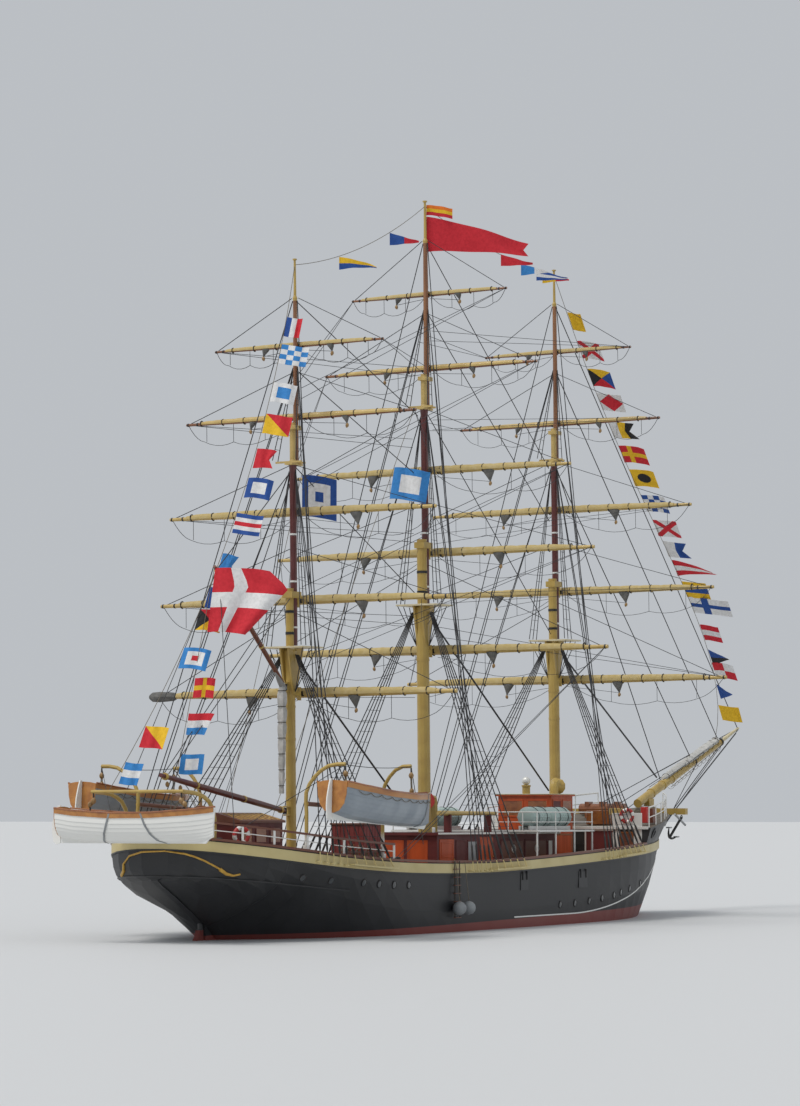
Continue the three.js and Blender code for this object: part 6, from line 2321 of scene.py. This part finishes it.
@dataclass
class Bow:
    """The forecastle with its gear, and the bowsprit with the headsails furled on it."""

    buoy: tuple[float, float, float] = (11.62, 2.93, 4.36)
    boxes: tuple[tuple[Point, Point, Finish, float], ...] = (
        ((12.45, 3.2, 4.05), (12.75, 3.5, 4.74), RED_PAINT, 0.02),
        ((13.1, 3.25, 4.05), (13.4, 3.5, 4.68), DARK_WOOD, 0.02),
        ((11.8, 2.0, 4.4), (12.0, 2.58, 4.69), YARD_BUFF, 0.02),
        ((11.68, 2.2, 3.9), (11.72, 3.6, 4.48), WHITE, 0.02),
        ((12.7, 0.5, 3.98), (13.6, 1.6, 4.6), VARNISH, 0.03),
    )
    coils: tuple[tuple[float, float], ...] = ((16.9, 1.3), (18.2, 0.7))
    crown: tuple[float, float, float] = (17.65, 2.33, 3.4)
    ring: tuple[float, float, float] = (18.1, 2.72, 4.3)
    spar: tuple[tuple[float, float], ...] = (
        (19.4, 0.2), (20.5, 0.21), (22.0, 0.21), (24.0, 0.2), (26.5, 0.18), (28.5, 0.165), (29.45, 0.16),
    )
    jib_heel: float = 28.2
    bands: tuple[float, ...] = (20.9, 22.2, 23.2, 25.9, 29.25)
    headsails: tuple[tuple[float, float, float, float], ...] = (
        (22.5, 25.9, 0.2, 0.03), (24.6, 28.9, 0.19, -0.06), (25.4, 29.2, 0.14, 0.13),
    )
    net_ends: tuple[float, float] = (22.0, 29.2)
    net_lines: int = 14

    def build(self) -> None:
        """Builds the ship's fore end."""
        Repainted("forecastle", SHIP, self.finish, 40.0).build()
        coat("windlass", VARNISH)
        self.bulkhead()
        self.gear()
        self.bowsprit()

    def finish(self, centre: Vector, normal: Vector) -> Finish:
        """Black plates, a planked deck, white rails and buff catheads.

        Args:
            centre: the face's middle.
            normal: the face's normal.

        Returns:
            The face's finish.
        """
        top = forecastle_top(centre.x)
        out = abs(centre.y)
        cathead = 17.6 < centre.x < 18.6 and out > 0.7 and 4.38 < centre.z < 4.75
        if cathead and (out > 2.0 or centre.z > top + 0.02):
            return BUFF
        edge = centre.z > top - 0.05 and abs(normal.x) > 0.95 and out < 3.7 and centre.x < 18.7
        if centre.z > top + 0.03 or edge:
            return WHITE
        if normal.z > 0.9:
            return FORE_PLANKS
        return BLACK

    def bulkhead(self) -> None:
        """Builds the forecastle's after wall with its doors and white panels."""
        shape = Shape("forecastle_bulkhead")
        joinery = Joinery(shape, 0.03)
        x = FORECASTLE_X
        low, high = sheer(x) - MAIN_DECK_DEPTH + 0.02, 3.78
        panels = (
            (2.55, 3.2, high - 0.1, VARNISH, DARK_WOOD), (2.36, 2.53, high, WHITE, WHITE),
            (3.22, 3.6, high, WHITE, WHITE), (0.9, 2.3, high, WHITE, RED_HOUSE),
        )
        for side in (-1, 1):
            for a, b, head, frame, inner in panels:
                ys = sorted((side * a, side * b))
                joinery.panel((x, ys[0], low), (x, ys[1], head), (-1, 0, 0), frame, inner)
        shape.box((x - 0.1, -3.9, 3.78), (x + 0.04, 3.9, 3.9), WHITE)
        shape.build(SHIP)

    def gear(self) -> None:
        """Builds the lifebuoys, light boxes, lockers, anchors and coiled ropes."""
        shape = Shape("forecastle_gear")
        for side in (-1, 1):
            x, y, z = self.buoy
            lifebuoy(shape, Vector((x, side * y, z)), Vector((-0.9, side * 0.3, 0)))
            for low, high, finish, chamfer in self.boxes:
                ys = sorted((side * low[1], side * high[1]))
                shape.box((low[0], ys[0], low[2]), (high[0], ys[1], high[2]), finish, chamfer)
            self.anchor(shape, side)
            for x, y in self.coils:
                for k in range(4):
                    centre = (x, side * y, forecastle_top(x) + 0.04 + 0.05 * k)
                    shape.run(hoop(centre, AHEAD, ACROSS, 16, 0.32 - 0.04 * k), 0.028, ROPE, 6, closed=True)
        shape.build(SHIP)

    def anchor(self, shape: Shape, side: int) -> None:
        """Adds a stocked anchor lashed outside the bulwark under its cathead.

        Args:
            shape: where it goes.
            side: 1 for port, -1 for starboard.
        """
        crown, ring = (Vector((x, side * y, z)) for x, y, z in (self.crown, self.ring))
        shape.line(crown, ring, 0.06, IRON, 8)
        way = (ring - crown).normalized()
        stock = between(crown, ring, 0.88)
        across = way.cross(Vector((0, side, 0.3))).normalized()
        shape.line(stock - across * 0.5, stock + across * 0.5, 0.05, STEEL, 8)
        arms = []
        for i in range(-4, 5):
            t = i / 4
            arms.append(crown + Vector((0, side, 0)).cross(way) * (0.5 * t) + way * (0.28 * t * t))
        shape.run(arms, [0.02, 0.035, 0.05, 0.055, 0.06, 0.055, 0.05, 0.035, 0.02], IRON, 8)
        for end in (arms[0], arms[-1]):
            shape.box(end - Vector((0.12, 0.1, 0.03)), end + Vector((0.12, 0.1, 0.03)), STEEL)
        shape.run(hoop(ring, AHEAD, UP, 12, 0.09), 0.02, IRON, 6, closed=True)

    def bowsprit(self) -> None:
        """Builds the spar, its fittings and the furled headsails."""
        shape = Shape("bowsprit_dressed")
        xs, sizes = zip(*self.spar)
        shape.run([self.axis(x) for x in xs], list(sizes), BUFF, 16)
        heel, tip = self.axis(self.jib_heel), Vector((BOWSPRIT_TIP[0], 0, BOWSPRIT_TIP[1]))
        shape.run([heel + UP * 0.03, between(heel, tip, 0.5), tip], [0.11, 0.1, 0.06], PALE_BUFF, 12)
        for x in self.bands:
            band = [self.axis(x), self.axis(x + 0.12)]
            shape.run(band, 0.235 if x < 25 else 0.2, BUFF if x < 24 else IRON, 16)
        low = (20.2, -0.24, forecastle_top(20.7) + 0.03)
        shape.box(low, (20.75, 0.24, bowsprit_z(20.5) - 0.1), BUFF, 0.02)
        low = (19.5, -0.16, forecastle_top(19.8) + 0.03)
        shape.box(low, (19.8, 0.16, bowsprit_z(19.6)), WHITE, 0.02)
        for seed, (aft, fore, radius, y) in enumerate(self.headsails, 1):
            self.headsail(shape, aft, fore, radius, y, seed)
        aft, fore = self.net_ends
        for side in (-1, 1):
            start = self.axis(21.2) + Vector((0, side * 0.5, 0.55))
            shape.sag(start, self.axis(29.4) + Vector((0, side * 0.12, 0.2)), 0.05, 0.014, WIRE, 8)
            for i in range(1, self.net_lines):
                t = i / self.net_lines
                low = self.axis(mix(aft, fore, t))
                edge = low + Vector((0.1, side * mix(0.55, 0.25, t), -0.02))
                shape.sag(low + Vector((0, side * 0.1, -0.1)), edge, 0.2, 0.009, ROPE, 4)
            reach = [(x, side * mix(0.55, 0.25, (x - aft) / (fore - aft))) for x in (aft, 24.0, 26.5, fore)]
            rope = [self.axis(x) + Vector((0, y, -0.02)) for x, y in reach]
            shape.run(rope, 0.014, ROPE, 4)
        shape.build(SHIP, "bowsprit")

    def axis(self, x: float) -> Vector:
        """The point of the bowsprit's axis at a place along the ship."""
        return Vector((x, 0, bowsprit_z(x)))

    def headsail(self, shape: Shape, aft: float, fore: float, radius: float, y: float, seed: int) -> None:
        """Adds one furled headsail, a bundle of folds tied down on the spar.

        Args:
            shape: where it goes.
            aft: where it starts.
            fore: where it ends.
            radius: its greatest radius.
            y: its distance to port.
            seed: of its folds.
        """
        chance = random.Random(SEED * 10 + seed)
        rings = []
        steps, ties, sides = 30, 7, 14
        for i in range(steps + 1):
            t = i / steps
            x = mix(aft, fore, t)
            swell = radius * (0.35 + 0.65 * math.sin(math.pi * min(1.0, 0.12 + 0.8 * t)) ** 0.5)
            swell *= 1 - 0.18 * abs(math.cos(math.pi * t * ties)) ** 8
            centre = Vector((x, y, bowsprit_z(x) + 0.17 + swell * 0.55))
            ring = []
            for k in range(sides):
                angle = 2 * math.pi * k / sides
                fold = swell * (1 + 0.13 * math.sin(4 * angle + 2 * t + seed) + chance.uniform(-0.04, 0.04))
                ring.append(centre + Vector((0, fold * math.cos(angle), fold * 0.8 * math.sin(angle))))
            rings.append(ring)
        shape.rings(rings, PALE_CANVAS)
        size = radius * 0.98
        for i in range(ties):
            x = mix(aft, fore, (i + 0.5) / ties)
            tie = hoop((x, y, bowsprit_z(x) + 0.22), ACROSS * size, UP * (size * 0.9), sides)
            shape.run(tie, 0.014, GASKET, 4, closed=True)


# Flags


class Dye(Enum):
    """The colours of bunting."""

    RED = (0.62, 0.02, 0.035)
    WHITE = (0.78, 0.78, 0.78)
    BLUE = (0.02, 0.08, 0.32)
    SKY = (0.04, 0.24, 0.6)
    YELLOW = (0.85, 0.52, 0.02)
    BLACK = (0.02, 0.02, 0.022)
    ORANGE = (0.85, 0.2, 0.02)

    def finish(self) -> Finish:
        """The cloth of this colour.

        Returns:
            The finish.
        """
        shade = tuple(c * 0.82 for c in self.value)
        name = f"bunting_{self.name.lower()}"
        return Finish(name, "", self.value, shade, 0.85, Grain.CLOTH, 0.12, bump=0.3)


@dataclass(frozen=True)
class Pattern:
    """A flag's pattern: the straight cuts between its colours, and the colour of each place.

    A cut is a point and a direction in the flag's square, from the hoist to the fly and from foot to head.
    """

    cuts: tuple[tuple[float, float, float, float], ...]
    colour: Callable[[float, float], Dye]


def upright(*colours: Dye) -> Pattern:
    """Upright stripes of equal width, from the hoist.

    Args:
        colours: of the stripes.

    Returns:
        The pattern.
    """
    count = len(colours)
    cuts = tuple((i / count, 0.0, 0.0, 1.0) for i in range(1, count))
    return Pattern(cuts, lambda u, v: colours[min(count - 1, int(u * count))])


def level(*colours: Dye) -> Pattern:
    """Level stripes of equal height, from the head.

    Args:
        colours: of the stripes.

    Returns:
        The pattern.
    """
    count = len(colours)
    cuts = tuple((0.0, i / count, 1.0, 0.0) for i in range(1, count))
    return Pattern(cuts, lambda u, v: colours[min(count - 1, int((1 - v) * count))])


def border(outer: Dye, inner: Dye, middle: Dye | None = None) -> Pattern:
    """A border round one or two inner rectangles.

    Args:
        outer: the border's colour.
        inner: the colour inside it.
        middle: the colour of the middle, if it differs.

    Returns:
        The pattern.
    """
    edges = (0.22, 0.78) if middle is None else (0.18, 0.38, 0.62, 0.82)
    cuts = tuple((e, 0.0, 0.0, 1.0) for e in edges) + tuple((0.0, e, 1.0, 0.0) for e in edges)

    def colour(u: float, v: float) -> Dye:
        """The colour of a place.

        Args:
            u: share of the way from the hoist to the fly.
            v: share of the height.

        Returns:
            The dye.
        """
        off = max(abs(u - 0.5), abs(v - 0.5))
        if off > 0.5 - edges[0]:
            return outer
        return middle if middle and off < 0.12 else inner

    return Pattern(cuts, colour)


def diagonal(head: Dye, foot: Dye) -> Pattern:
    """Two halves divided from the head of the hoist to the foot of the fly."""
    return Pattern(((0.0, 1.0, 1.0, -1.0),), lambda u, v: head if u + v > 1 else foot)


def saltire(ground: Dye, cross: Dye, wide: float = 0.16) -> Pattern:
    """A diagonal cross.

    Args:
        ground: the ground's colour.
        cross: the cross's colour.
        wide: half the width of its arms.

    Returns:
        The pattern.
    """
    ways = ((0.0, 1.0), (1.0, -1.0))
    cuts = tuple((0.0, base + off, 1.0, way) for base, way in ways for off in (-wide, wide))
    return Pattern(cuts, lambda u, v: cross if min(abs(u - v), abs(u + v - 1)) < wide else ground)


def upright_cross(ground: Dye, cross: Dye, middle: float = 0.38, wide: float = 0.09) -> Pattern:
    """A cross whose upright stands nearer the hoist.

    Args:
        ground: the ground's colour.
        cross: the cross's colour.
        middle: the upright's place from the hoist.
        wide: half the upright's width.

    Returns:
        The pattern.
    """
    tall = wide * 1.3
    cuts = tuple((middle + off, 0.0, 0.0, 1.0) for off in (-wide, wide))
    cuts += tuple((0.0, 0.5 + off, 1.0, 0.0) for off in (-tall, tall))
    return Pattern(cuts, lambda u, v: cross if abs(u - middle) < wide or abs(v - 0.5) < tall else ground)


def disc(ground: Dye, spot: Dye, radius: float = 0.27) -> Pattern:
    """A disc, cut as a polygon of twelve sides.

    Args:
        ground: the ground's colour.
        spot: the disc's colour.
        radius: the disc's radius.

    Returns:
        The pattern.
    """
    cuts = []
    for i in range(6):
        angle = math.pi * i / 6
        for way in (-1, 1):
            x, y = 0.5 + way * radius * math.cos(angle), 0.5 + way * radius * math.sin(angle)
            cuts.append((x, y, -math.sin(angle), math.cos(angle)))
    return Pattern(tuple(cuts), lambda u, v: spot if math.hypot(u - 0.5, v - 0.5) < radius * 1.01 else ground)


def diamond(ground: Dye, inner: Dye) -> Pattern:
    """A diamond that touches the flag's edges."""
    cuts = ((0.0, 0.5, 1.0, 1.0), (0.0, 0.5, 1.0, -1.0), (0.5, 0.0, 1.0, 1.0), (0.5, 1.0, 1.0, -1.0))
    return Pattern(cuts, lambda u, v: inner if abs(u - 0.5) + abs(v - 0.5) < 0.5 else ground)


def checks(a: Dye, b: Dye, count: int) -> Pattern:
    """A board of equal squares.

    Args:
        a: one colour.
        b: the other.
        count: squares along a side.

    Returns:
        The pattern.
    """
    cuts = tuple((i / count, 0.0, 0.0, 1.0) for i in range(1, count))
    cuts += tuple((0.0, i / count, 1.0, 0.0) for i in range(1, count))
    return Pattern(cuts, lambda u, v: a if (int(u * count) + int(v * count)) % 2 else b)


def triangles(head: Dye, fly: Dye, foot: Dye, hoist: Dye) -> Pattern:
    """Four triangles that meet in the middle.

    Args:
        head: colour at the head.
        fly: colour at the fly.
        foot: colour at the foot.
        hoist: colour at the hoist.

    Returns:
        The pattern.
    """

    def colour(u: float, v: float) -> Dye:
        """The colour of a place.

        Args:
            u: share of the way from the hoist to the fly.
            v: share of the height.

        Returns:
            The dye.
        """
        if abs(v - 0.5) > abs(u - 0.5):
            return head if v > 0.5 else foot
        return fly if u > 0.5 else hoist

    return Pattern(((0.0, 0.0, 1.0, 1.0), (0.0, 1.0, 1.0, -1.0)), colour)


R, W, B, S, Y, K, O = (Dye.RED, Dye.WHITE, Dye.BLUE, Dye.SKY, Dye.YELLOW, Dye.BLACK, Dye.ORANGE)
WIND = Vector((0.4724, -0.8814, 0.0))


class Cut(Enum):
    """The outline of a flag, as the share of its hoist that is left at the fly, and the depth of its fork."""

    PLAIN = (1.0, 0.0)
    FORKED = (0.9, 0.28)
    BURGEE = (0.34, 0.05)
    PENNANT = (0.12, 0.0)


@dataclass
class Flag:
    """One flag blown out by the wind."""

    name: str
    head: Vector
    fly: float
    hoist: float
    pattern: Pattern
    cut: Cut = Cut.PLAIN
    droop: float = 0.12
    lean: float = 0.0
    body: str = SHIP
    support: str = ""
    rows: int = 6
    columns: int = 14
    thickness: float = 0.008
    waves: float = 1.6
    drape: tuple[float, float, float] = (1.0, 1.0, 1.0)
    full: float = 0.72

    def build(self) -> bpy.types.Object:
        """Builds the flag.

        Returns:
            The flag.
        """
        bm = bmesh.new()
        self.weave(bm)
        marks = self.colours(bm)
        phase = random.Random(f"{self.name}{SEED}").uniform(0, 2 * math.pi)
        for vertex in bm.verts:
            vertex.co = self.blown(vertex.co.x, vertex.co.y, phase) * MODEL_SCALE
        bm.normal_update()
        area = sum(face.calc_area() for face in bm.faces)
        self.thicken(bm)
        mesh = bpy.data.meshes.new(self.name)
        bm.to_mesh(mesh)
        bm.free()
        for finish in marks:
            mesh.materials.append(finish.material())
        mesh.shade_smooth()
        mesh.set_sharp_from_angle(angle=math.radians(60))
        made = bpy.data.objects.new(self.name, mesh)
        bpy.context.scene.collection.objects.link(made)
        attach(made, self.body)
        if self.cut is Cut.PLAIN:
            return made
        return made

    def weave(self, bm: bmesh.types.BMesh) -> None:
        """Lays out the cloth flat, cut along the lines of its pattern.

        Args:
            bm: the empty cloth.
        """
        columns = max(3, int(self.columns * min(1.0, self.fly / 2.4 + 0.2)))
        grid = []
        for i in range(columns + 1):
            grid.append([bm.verts.new((i / columns, j / self.rows, 0)) for j in range(self.rows + 1)])
        for i in range(columns):
            for j in range(self.rows):
                bm.faces.new((grid[i][j], grid[i + 1][j], grid[i + 1][j + 1], grid[i][j + 1]))
        for u, v, du, dv in self.pattern.cuts:
            parts = bm.verts[:] + bm.edges[:] + bm.faces[:]
            bmesh.ops.bisect_plane(bm, geom=parts, dist=1e-5, plane_co=(u, v, 0), plane_no=(dv, -du, 0))

    def colours(self, bm: bmesh.types.BMesh) -> list[Finish]:
        """Gives every face its colour.

        Args:
            bm: the flat cloth.

        Returns:
            The finishes in the order of the faces' indices.
        """
        finishes: list[Finish] = []
        for face in bm.faces:
            centre = face.calc_center_median()
            finish = self.pattern.colour(centre.x, centre.y).finish()
            if finish not in finishes:
                finishes.append(finish)
            face.material_index = finishes.index(finish)
        return finishes

    def blown(self, u: float, v: float, phase: float) -> Vector:
        """Where a place of the flat cloth is in the wind.

        Args:
            u: share of the fly.
            v: share of the hoist, from the foot.
            phase: of the ripples.

        Returns:
            The place.
        """
        end, fork = self.cut.value
        spread = mix(1.0, end, u)
        across = 0.5 + (v - 0.5) * spread
        foot, middle, head = self.drape
        if v < self.full:
            drawn = mix(foot, middle, v / self.full)
        else:
            drawn = mix(middle, head, (v - self.full) / (1 - self.full))
        reach = u * (1 - fork * (1 - abs(2 * v - 1)) * u) * drawn
        ripple = 0.09 * self.fly ** 0.5 * math.sin(2 * math.pi * self.waves * u + phase + 1.1 * v) * u**0.6
        sink = self.droop * self.fly * u**1.5 + 0.02 * math.sin(5 * u + phase)
        side = Vector((-WIND.y, WIND.x, 0))
        place = self.head + WIND * (reach * self.fly * 0.96) + side * ripple
        place.z += (across - 1) * self.hoist - sink
        place.x += self.lean * (1 - v) * self.hoist
        return place

    def thicken(self, bm: bmesh.types.BMesh) -> None:
        """Turns the sheet into a closed cloth of its thickness.

        Args:
            bm: the cloth, blown out.
        """
        offset = self.thickness * MODEL_SCALE
        rim = [edge for edge in bm.edges if edge.is_boundary]
        twin = {vertex: bm.verts.new(vertex.co - vertex.normal * offset) for vertex in bm.verts[:]}
        for face in bm.faces[:]:
            back = bm.faces.new([twin[vertex] for vertex in reversed(face.verts)])
            back.material_index = face.material_index
        for edge in rim:
            a, b = edge.verts
            face = edge.link_faces[0]
            order = [loop.vert for loop in face.loops]
            if order[(order.index(a) + 1) % len(order)] is not b:
                a, b = b, a
            side = bm.faces.new((b, a, twin[a], twin[b]))
            side.material_index = face.material_index


@dataclass
class DressingLine:
    """A line of signal flags from one high point to another."""

    name: str
    start: Vector
    end: Vector
    sag: float
    flags: tuple[tuple[float, Pattern, Cut, float], ...]
    hoist: float = 0.8
    leeway: float = 0.0
    belly: int = 1

    def at(self, t: float) -> Vector:
        """A point of the line, which sags and is blown to leeward.

        Args:
            t: share of its length.

        Returns:
            The point.
        """
        power = self.belly
        blown = self.leeway * t**power * (1 - t) * (power + 1) ** (power + 1) / power**power
        return between(self.start, self.end, t) - UP * (4 * self.sag * t * (1 - t)) + WIND * blown

    def build(self) -> None:
        """Builds the line and its flags."""
        shape = Shape(self.name)
        shape.run([self.at(i / 24) for i in range(25)], 0.012, ROPE, 5)
        shape.build(SHIP)
        for i, (t, pattern, cut, fly) in enumerate(self.flags):
            slope = self.at(t + 0.02) - self.at(t - 0.02)
            down = -slope.normalized() if slope.z > 0 else slope.normalized()
            lean = 0.0 if abs(slope.z) < abs(slope.x) * 0.5 else down.x / max(0.3, -down.z)
            name, head = f"{self.name}_{i + 1}", self.at(t) + WIND * 0.02
            Flag(name, head, fly, self.hoist, pattern, cut, lean=lean, support=self.name).build()


@dataclass
class Bunting:
    """All flags of the dressed ship."""

    stern_end: tuple[float, float, float] = (-21.3, 1.95, 5.1)
    bow_end: tuple[float, float, float] = (28.7, 0.0, 7.98)
    below_truck: float = 0.22

    def build(self) -> None:
        """Builds the dressing lines, the ensign and the mastheads' flags."""
        mizzen, main, fore = (mast.at(mast.truck - self.below_truck, TOPGALLANT_AHEAD) for mast in MASTS)
        plain, forked, pennant = Cut.PLAIN, Cut.FORKED, Cut.PENNANT
        aft_flags = (
            (0.0587, level(S, W, S), plain, 0.65), (0.1276, diagonal(Y, R), plain, 0.85),
            (0.2755, border(S, W, R), plain, 1.0), (0.347, triangles(R, R, Y, K), plain, 0.9),
            (0.389, disc(B, W), plain, 0.75), (0.452, upright(S), forked, 0.6),
            (0.528, level(B, W, R, W, B), plain, 1.0), (0.596, border(B, W), plain, 0.95),
            (0.652, upright(R), forked, 0.75), (0.716, diagonal(R, Y), plain, 1.0),
            (0.776, border(W, S), plain, 0.9), (0.848, checks(S, W, 4), plain, 1.05),
            (0.9, upright(B, W, R), plain, 0.6),
        )
        stern = Vector(self.stern_end)
        DressingLine("aft_dressing_line", stern, mizzen, 0.35, aft_flags, 0.75, 0.96).build()
        between_aft = ((0.32, level(Y, B), pennant, 1.5), (0.71, upright(B, R), pennant, 1.2))
        DressingLine("mizzen_main_line", mizzen, main, 0.5, between_aft, 0.5).build()
        between_fore = (
            (0.3, upright(Y), pennant, 1.0), (0.565, upright(R), pennant, 1.4),
            (0.725, upright(S, W), pennant, 1.2), (0.85, level(B, W, B), pennant, 1.4),
            (0.9, upright(Y, R), pennant, 1.2),
        )
        DressingLine("main_fore_line", main, fore, 0.35, between_fore, 0.5).build()
        bow_flags = (
            (0.072, upright(Y), plain, 0.6), (0.127, saltire(W, R), plain, 1.0),
            (0.182, triangles(Y, B, R, K), plain, 1.05), (0.23, diamond(W, R), plain, 1.1),
            (0.286, upright(W, Y, K), forked, 1.2), (0.337, upright_cross(R, Y), plain, 1.2),
            (0.386, disc(Y, K), plain, 1.15), (0.44, checks(B, W, 4), plain, 1.1),
            (0.493, saltire(W, R), plain, 1.1), (0.539, upright(W, B), forked, 1.1),
            (0.581, level(R, W, R), pennant, 1.9), (0.628, level(Y, B, Y), plain, 1.15),
            (0.663, upright_cross(W, B), plain, 1.9), (0.726, level(R, W, R), plain, 0.9),
            (0.782, level(B, K), pennant, 0.8), (0.813, checks(R, W, 2), plain, 1.05),
            (0.864, upright(B), pennant, 0.6), (0.914, upright(Y), plain, 1.0),
        )
        bow = Vector(self.bow_end)
        DressingLine("bow_dressing_line", fore, bow, 0.15, bow_flags, 0.7, 1.2, 3).build()
        self.masthead()
        self.ensign()
        self.halyards()

    def masthead(self) -> None:
        """Builds the striped flag and the long bare burgee at the main truck."""
        line = "main_flag_halyard"
        shape = Shape(line)
        shape.line(MAIN.at(25.6, 0.6), MAIN.at(29.0, 0.47), 0.011, ROPE)
        shape.build(SHIP)
        low, high = MAIN.at(28.5, 0.52), MAIN.at(28.98, 0.52)
        Flag("main_burgee", low, 4.3, 1.45, upright(R), Cut.BURGEE, 0.14, support=line, columns=26).build()
        Flag("main_striped_flag", high, 1.1, 0.42, level(O, Y, R), Cut.PLAIN, 0.1, support=line).build()

    def ensign(self) -> None:
        """Builds the national ensign and three signal flags on the halyard from the gaff's peak."""
        peak, foot = Vector((-17.5, 0, 13.15)), Vector((-19.6, 0.6, 3.9))
        line = Shape("ensign_halyard")
        line.run([between(peak, foot, i / 12) for i in range(13)], 0.011, ROPE, 4)
        line.bend("spanker_gaff", (0, 0, 4.2), (0, 0, 5.4))
        lean = (foot.x - peak.x) / (peak.z - foot.z)
        rows = (
            ("ensign", 0.004, 2.8, 2.3, upright_cross(R, W), 10, 26, (0.5, 1.0, 0.72)),
            ("halyard_flag_1", 0.43, 0.75, 0.7, upright_cross(R, Y, 0.5), 6, 14, (1.0, 1.0, 1.0)),
            ("halyard_flag_2", 0.565, 0.95, 0.75, level(R, W, S), 6, 14, (0.7, 0.9, 1.0)),
            ("halyard_flag_3", 0.72, 0.85, 0.7, border(S, W), 6, 14, (1.0, 1.0, 1.0)),
        )
        for name, t, fly, hoist, pattern, height, width, drape in rows:
            Flag(
                name, between(peak, foot, t) + WIND * 0.03, fly, hoist, pattern, Cut.PLAIN, 0.04, lean,
                "spanker_gaff", "ensign_halyard", height, width, drape=drape,
            ).build()

    def halyards(self) -> None:
        """Builds the two flag hoists that stand beside the mizzen and the main."""
        rows = (
            ("mizzen_flag_halyard", (-10.7, 3.9, 3.4), (-10.7, 0.3, 17.4), 17.1, border(B, W, B), 1.35, 1.57),
            ("main_flag_halyard_port", (-7.4, 3.9, 3.4), (-2.0, 0.2, 20.6), 18.2, border(S, W), 1.5, 1.3),
        )
        for name, foot, head, height, pattern, fly, hoist in rows:
            shape = Shape(name)
            shape.line(foot, head, 0.011, ROPE)
            shape.build(SHIP)
            slope = Vector(head) - Vector(foot)
            place = between(foot, head, (height - foot[2]) / slope.z) + WIND * 0.02
            lean = -slope.x / slope.z
            Flag(f"{name}_flag", place, fly, hoist, pattern, lean=lean, support=name).build()


# Stage


@dataclass
class Studio:
    """The floor at the waterline, the soft light and the camera."""

    place: Point = (-111.006, -57.57, 4.222)
    heading: float = math.radians(28.187)
    rise: float = math.radians(4.904)
    lens: float = 100.92
    sensor: float = 36.0
    reach: float = 5000.0
    floor_size: float = 4000.0
    floor_grey: tuple[float, float, float, float] = (0.66, 0.67, 0.68, 1.0)
    floor_roughness: float = 0.6
    sky: tuple[float, float, float, float] = (0.86, 0.9, 0.95, 1.0)
    sky_strength: float = 0.58
    sun: tuple[float, float, float] = (1.0, 0.97, 0.92)
    sun_strength: float = 1.75
    sun_size: float = math.radians(25)
    sun_way: tuple[float, float, float] = (0.45, -0.25, -0.85)

    def build(self) -> None:
        """Builds the camera, the floor and the lights."""
        self.camera()
        self.floor()
        self.light()

    def camera(self) -> None:
        """Sets the camera, its place scaled with the model."""
        data = bpy.data.cameras.new("camera")
        data.lens = self.lens
        data.sensor_width = self.sensor
        data.clip_end = self.reach
        camera = bpy.data.objects.new("camera", data)
        flat = Vector((math.cos(self.heading), math.sin(self.heading), 0))
        way = flat * math.cos(self.rise) + UP * math.sin(self.rise)
        camera.location = Vector(self.place) * MODEL_SCALE
        camera.rotation_euler = way.to_track_quat("-Z", "Y").to_euler()
        bpy.context.scene.collection.objects.link(camera)
        bpy.context.scene.camera = camera

    def floor(self) -> None:
        """Lays a pale floor at the waterline."""
        half = self.floor_size / 2
        mesh = bpy.data.meshes.new("floor")
        corners = [(-half, -half, 0), (half, -half, 0), (half, half, 0), (-half, half, 0)]
        mesh.from_pydata(corners, [], [(0, 1, 2, 3)])
        material = bpy.data.materials.new("floor_pale")
        material.use_nodes = True
        shader = material.node_tree.nodes["Principled BSDF"]
        shader.inputs["Base Color"].default_value = self.floor_grey
        shader.inputs["Roughness"].default_value = self.floor_roughness
        mesh.materials.append(material)
        floor = bpy.data.objects.new("floor", mesh)
        bpy.context.scene.collection.objects.link(floor)

    def light(self) -> None:
        """Lights the scene with a pale sky and one broad soft sun."""
        world = bpy.data.worlds.new("studio")
        world.use_nodes = True
        background = world.node_tree.nodes["Background"]
        background.inputs["Color"].default_value = self.sky
        background.inputs["Strength"].default_value = self.sky_strength
        bpy.context.scene.world = world
        data = bpy.data.lights.new("key", "SUN")
        data.energy = self.sun_strength
        data.angle = self.sun_size
        data.color = self.sun
        key = bpy.data.objects.new("key", data)
        key.rotation_euler = Vector(self.sun_way).to_track_quat("-Z", "Y").to_euler()
        bpy.context.scene.collection.objects.link(key)
        bpy.context.scene.view_settings.view_transform = "Standard"


def main() -> None:
    """Dresses the ship, piece by piece."""
    logging.basicConfig(level=logging.INFO, format="%(message)s")
    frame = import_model()
    NODE_OBJECTS.update({node: made.name for node, made in frame["nodes"].items()})
    Studio().build()
    skin = HullSkin()
    HullDress(skin).build()
    for mast in MASTS:
        MastDress(mast, skin).build()
        for kind, (height, half) in zip(YARD_KINDS, YARD_SIZES[mast.name]):
            Yard(mast, kind, height, half).build()
    Stays().build()
    # The quarter boats' white planks are painted blue-grey as shade; the stern boat keeps the plain boat
    # white.
    Boat("starboard_boat", 7.1, 1.9, 1.15, STARBOARD_BOAT, BOAT_PAINTED_SHADE, straps=((0.84, 0.0),)).build()
    Boat("port_boat", 7.1, 1.9, 1.15, PORT_BOAT, BOAT_PAINTED_SHADE, straps=((0.84, 0.0),)).build()
    Boat("stern_boat", 6.1, 1.55, 1.05, STERN_BOAT, loops=0, straps=((0.2, -0.2), (0.8, 0.2))).build()
    Davits().build()
    Spanker().build()
    MidshipHouse().build()
    ForeHouse().build()
    AfterDeck().build()
    Bow().build()
    Bunting().build()
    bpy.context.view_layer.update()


if __name__ == "__main__":
    main()
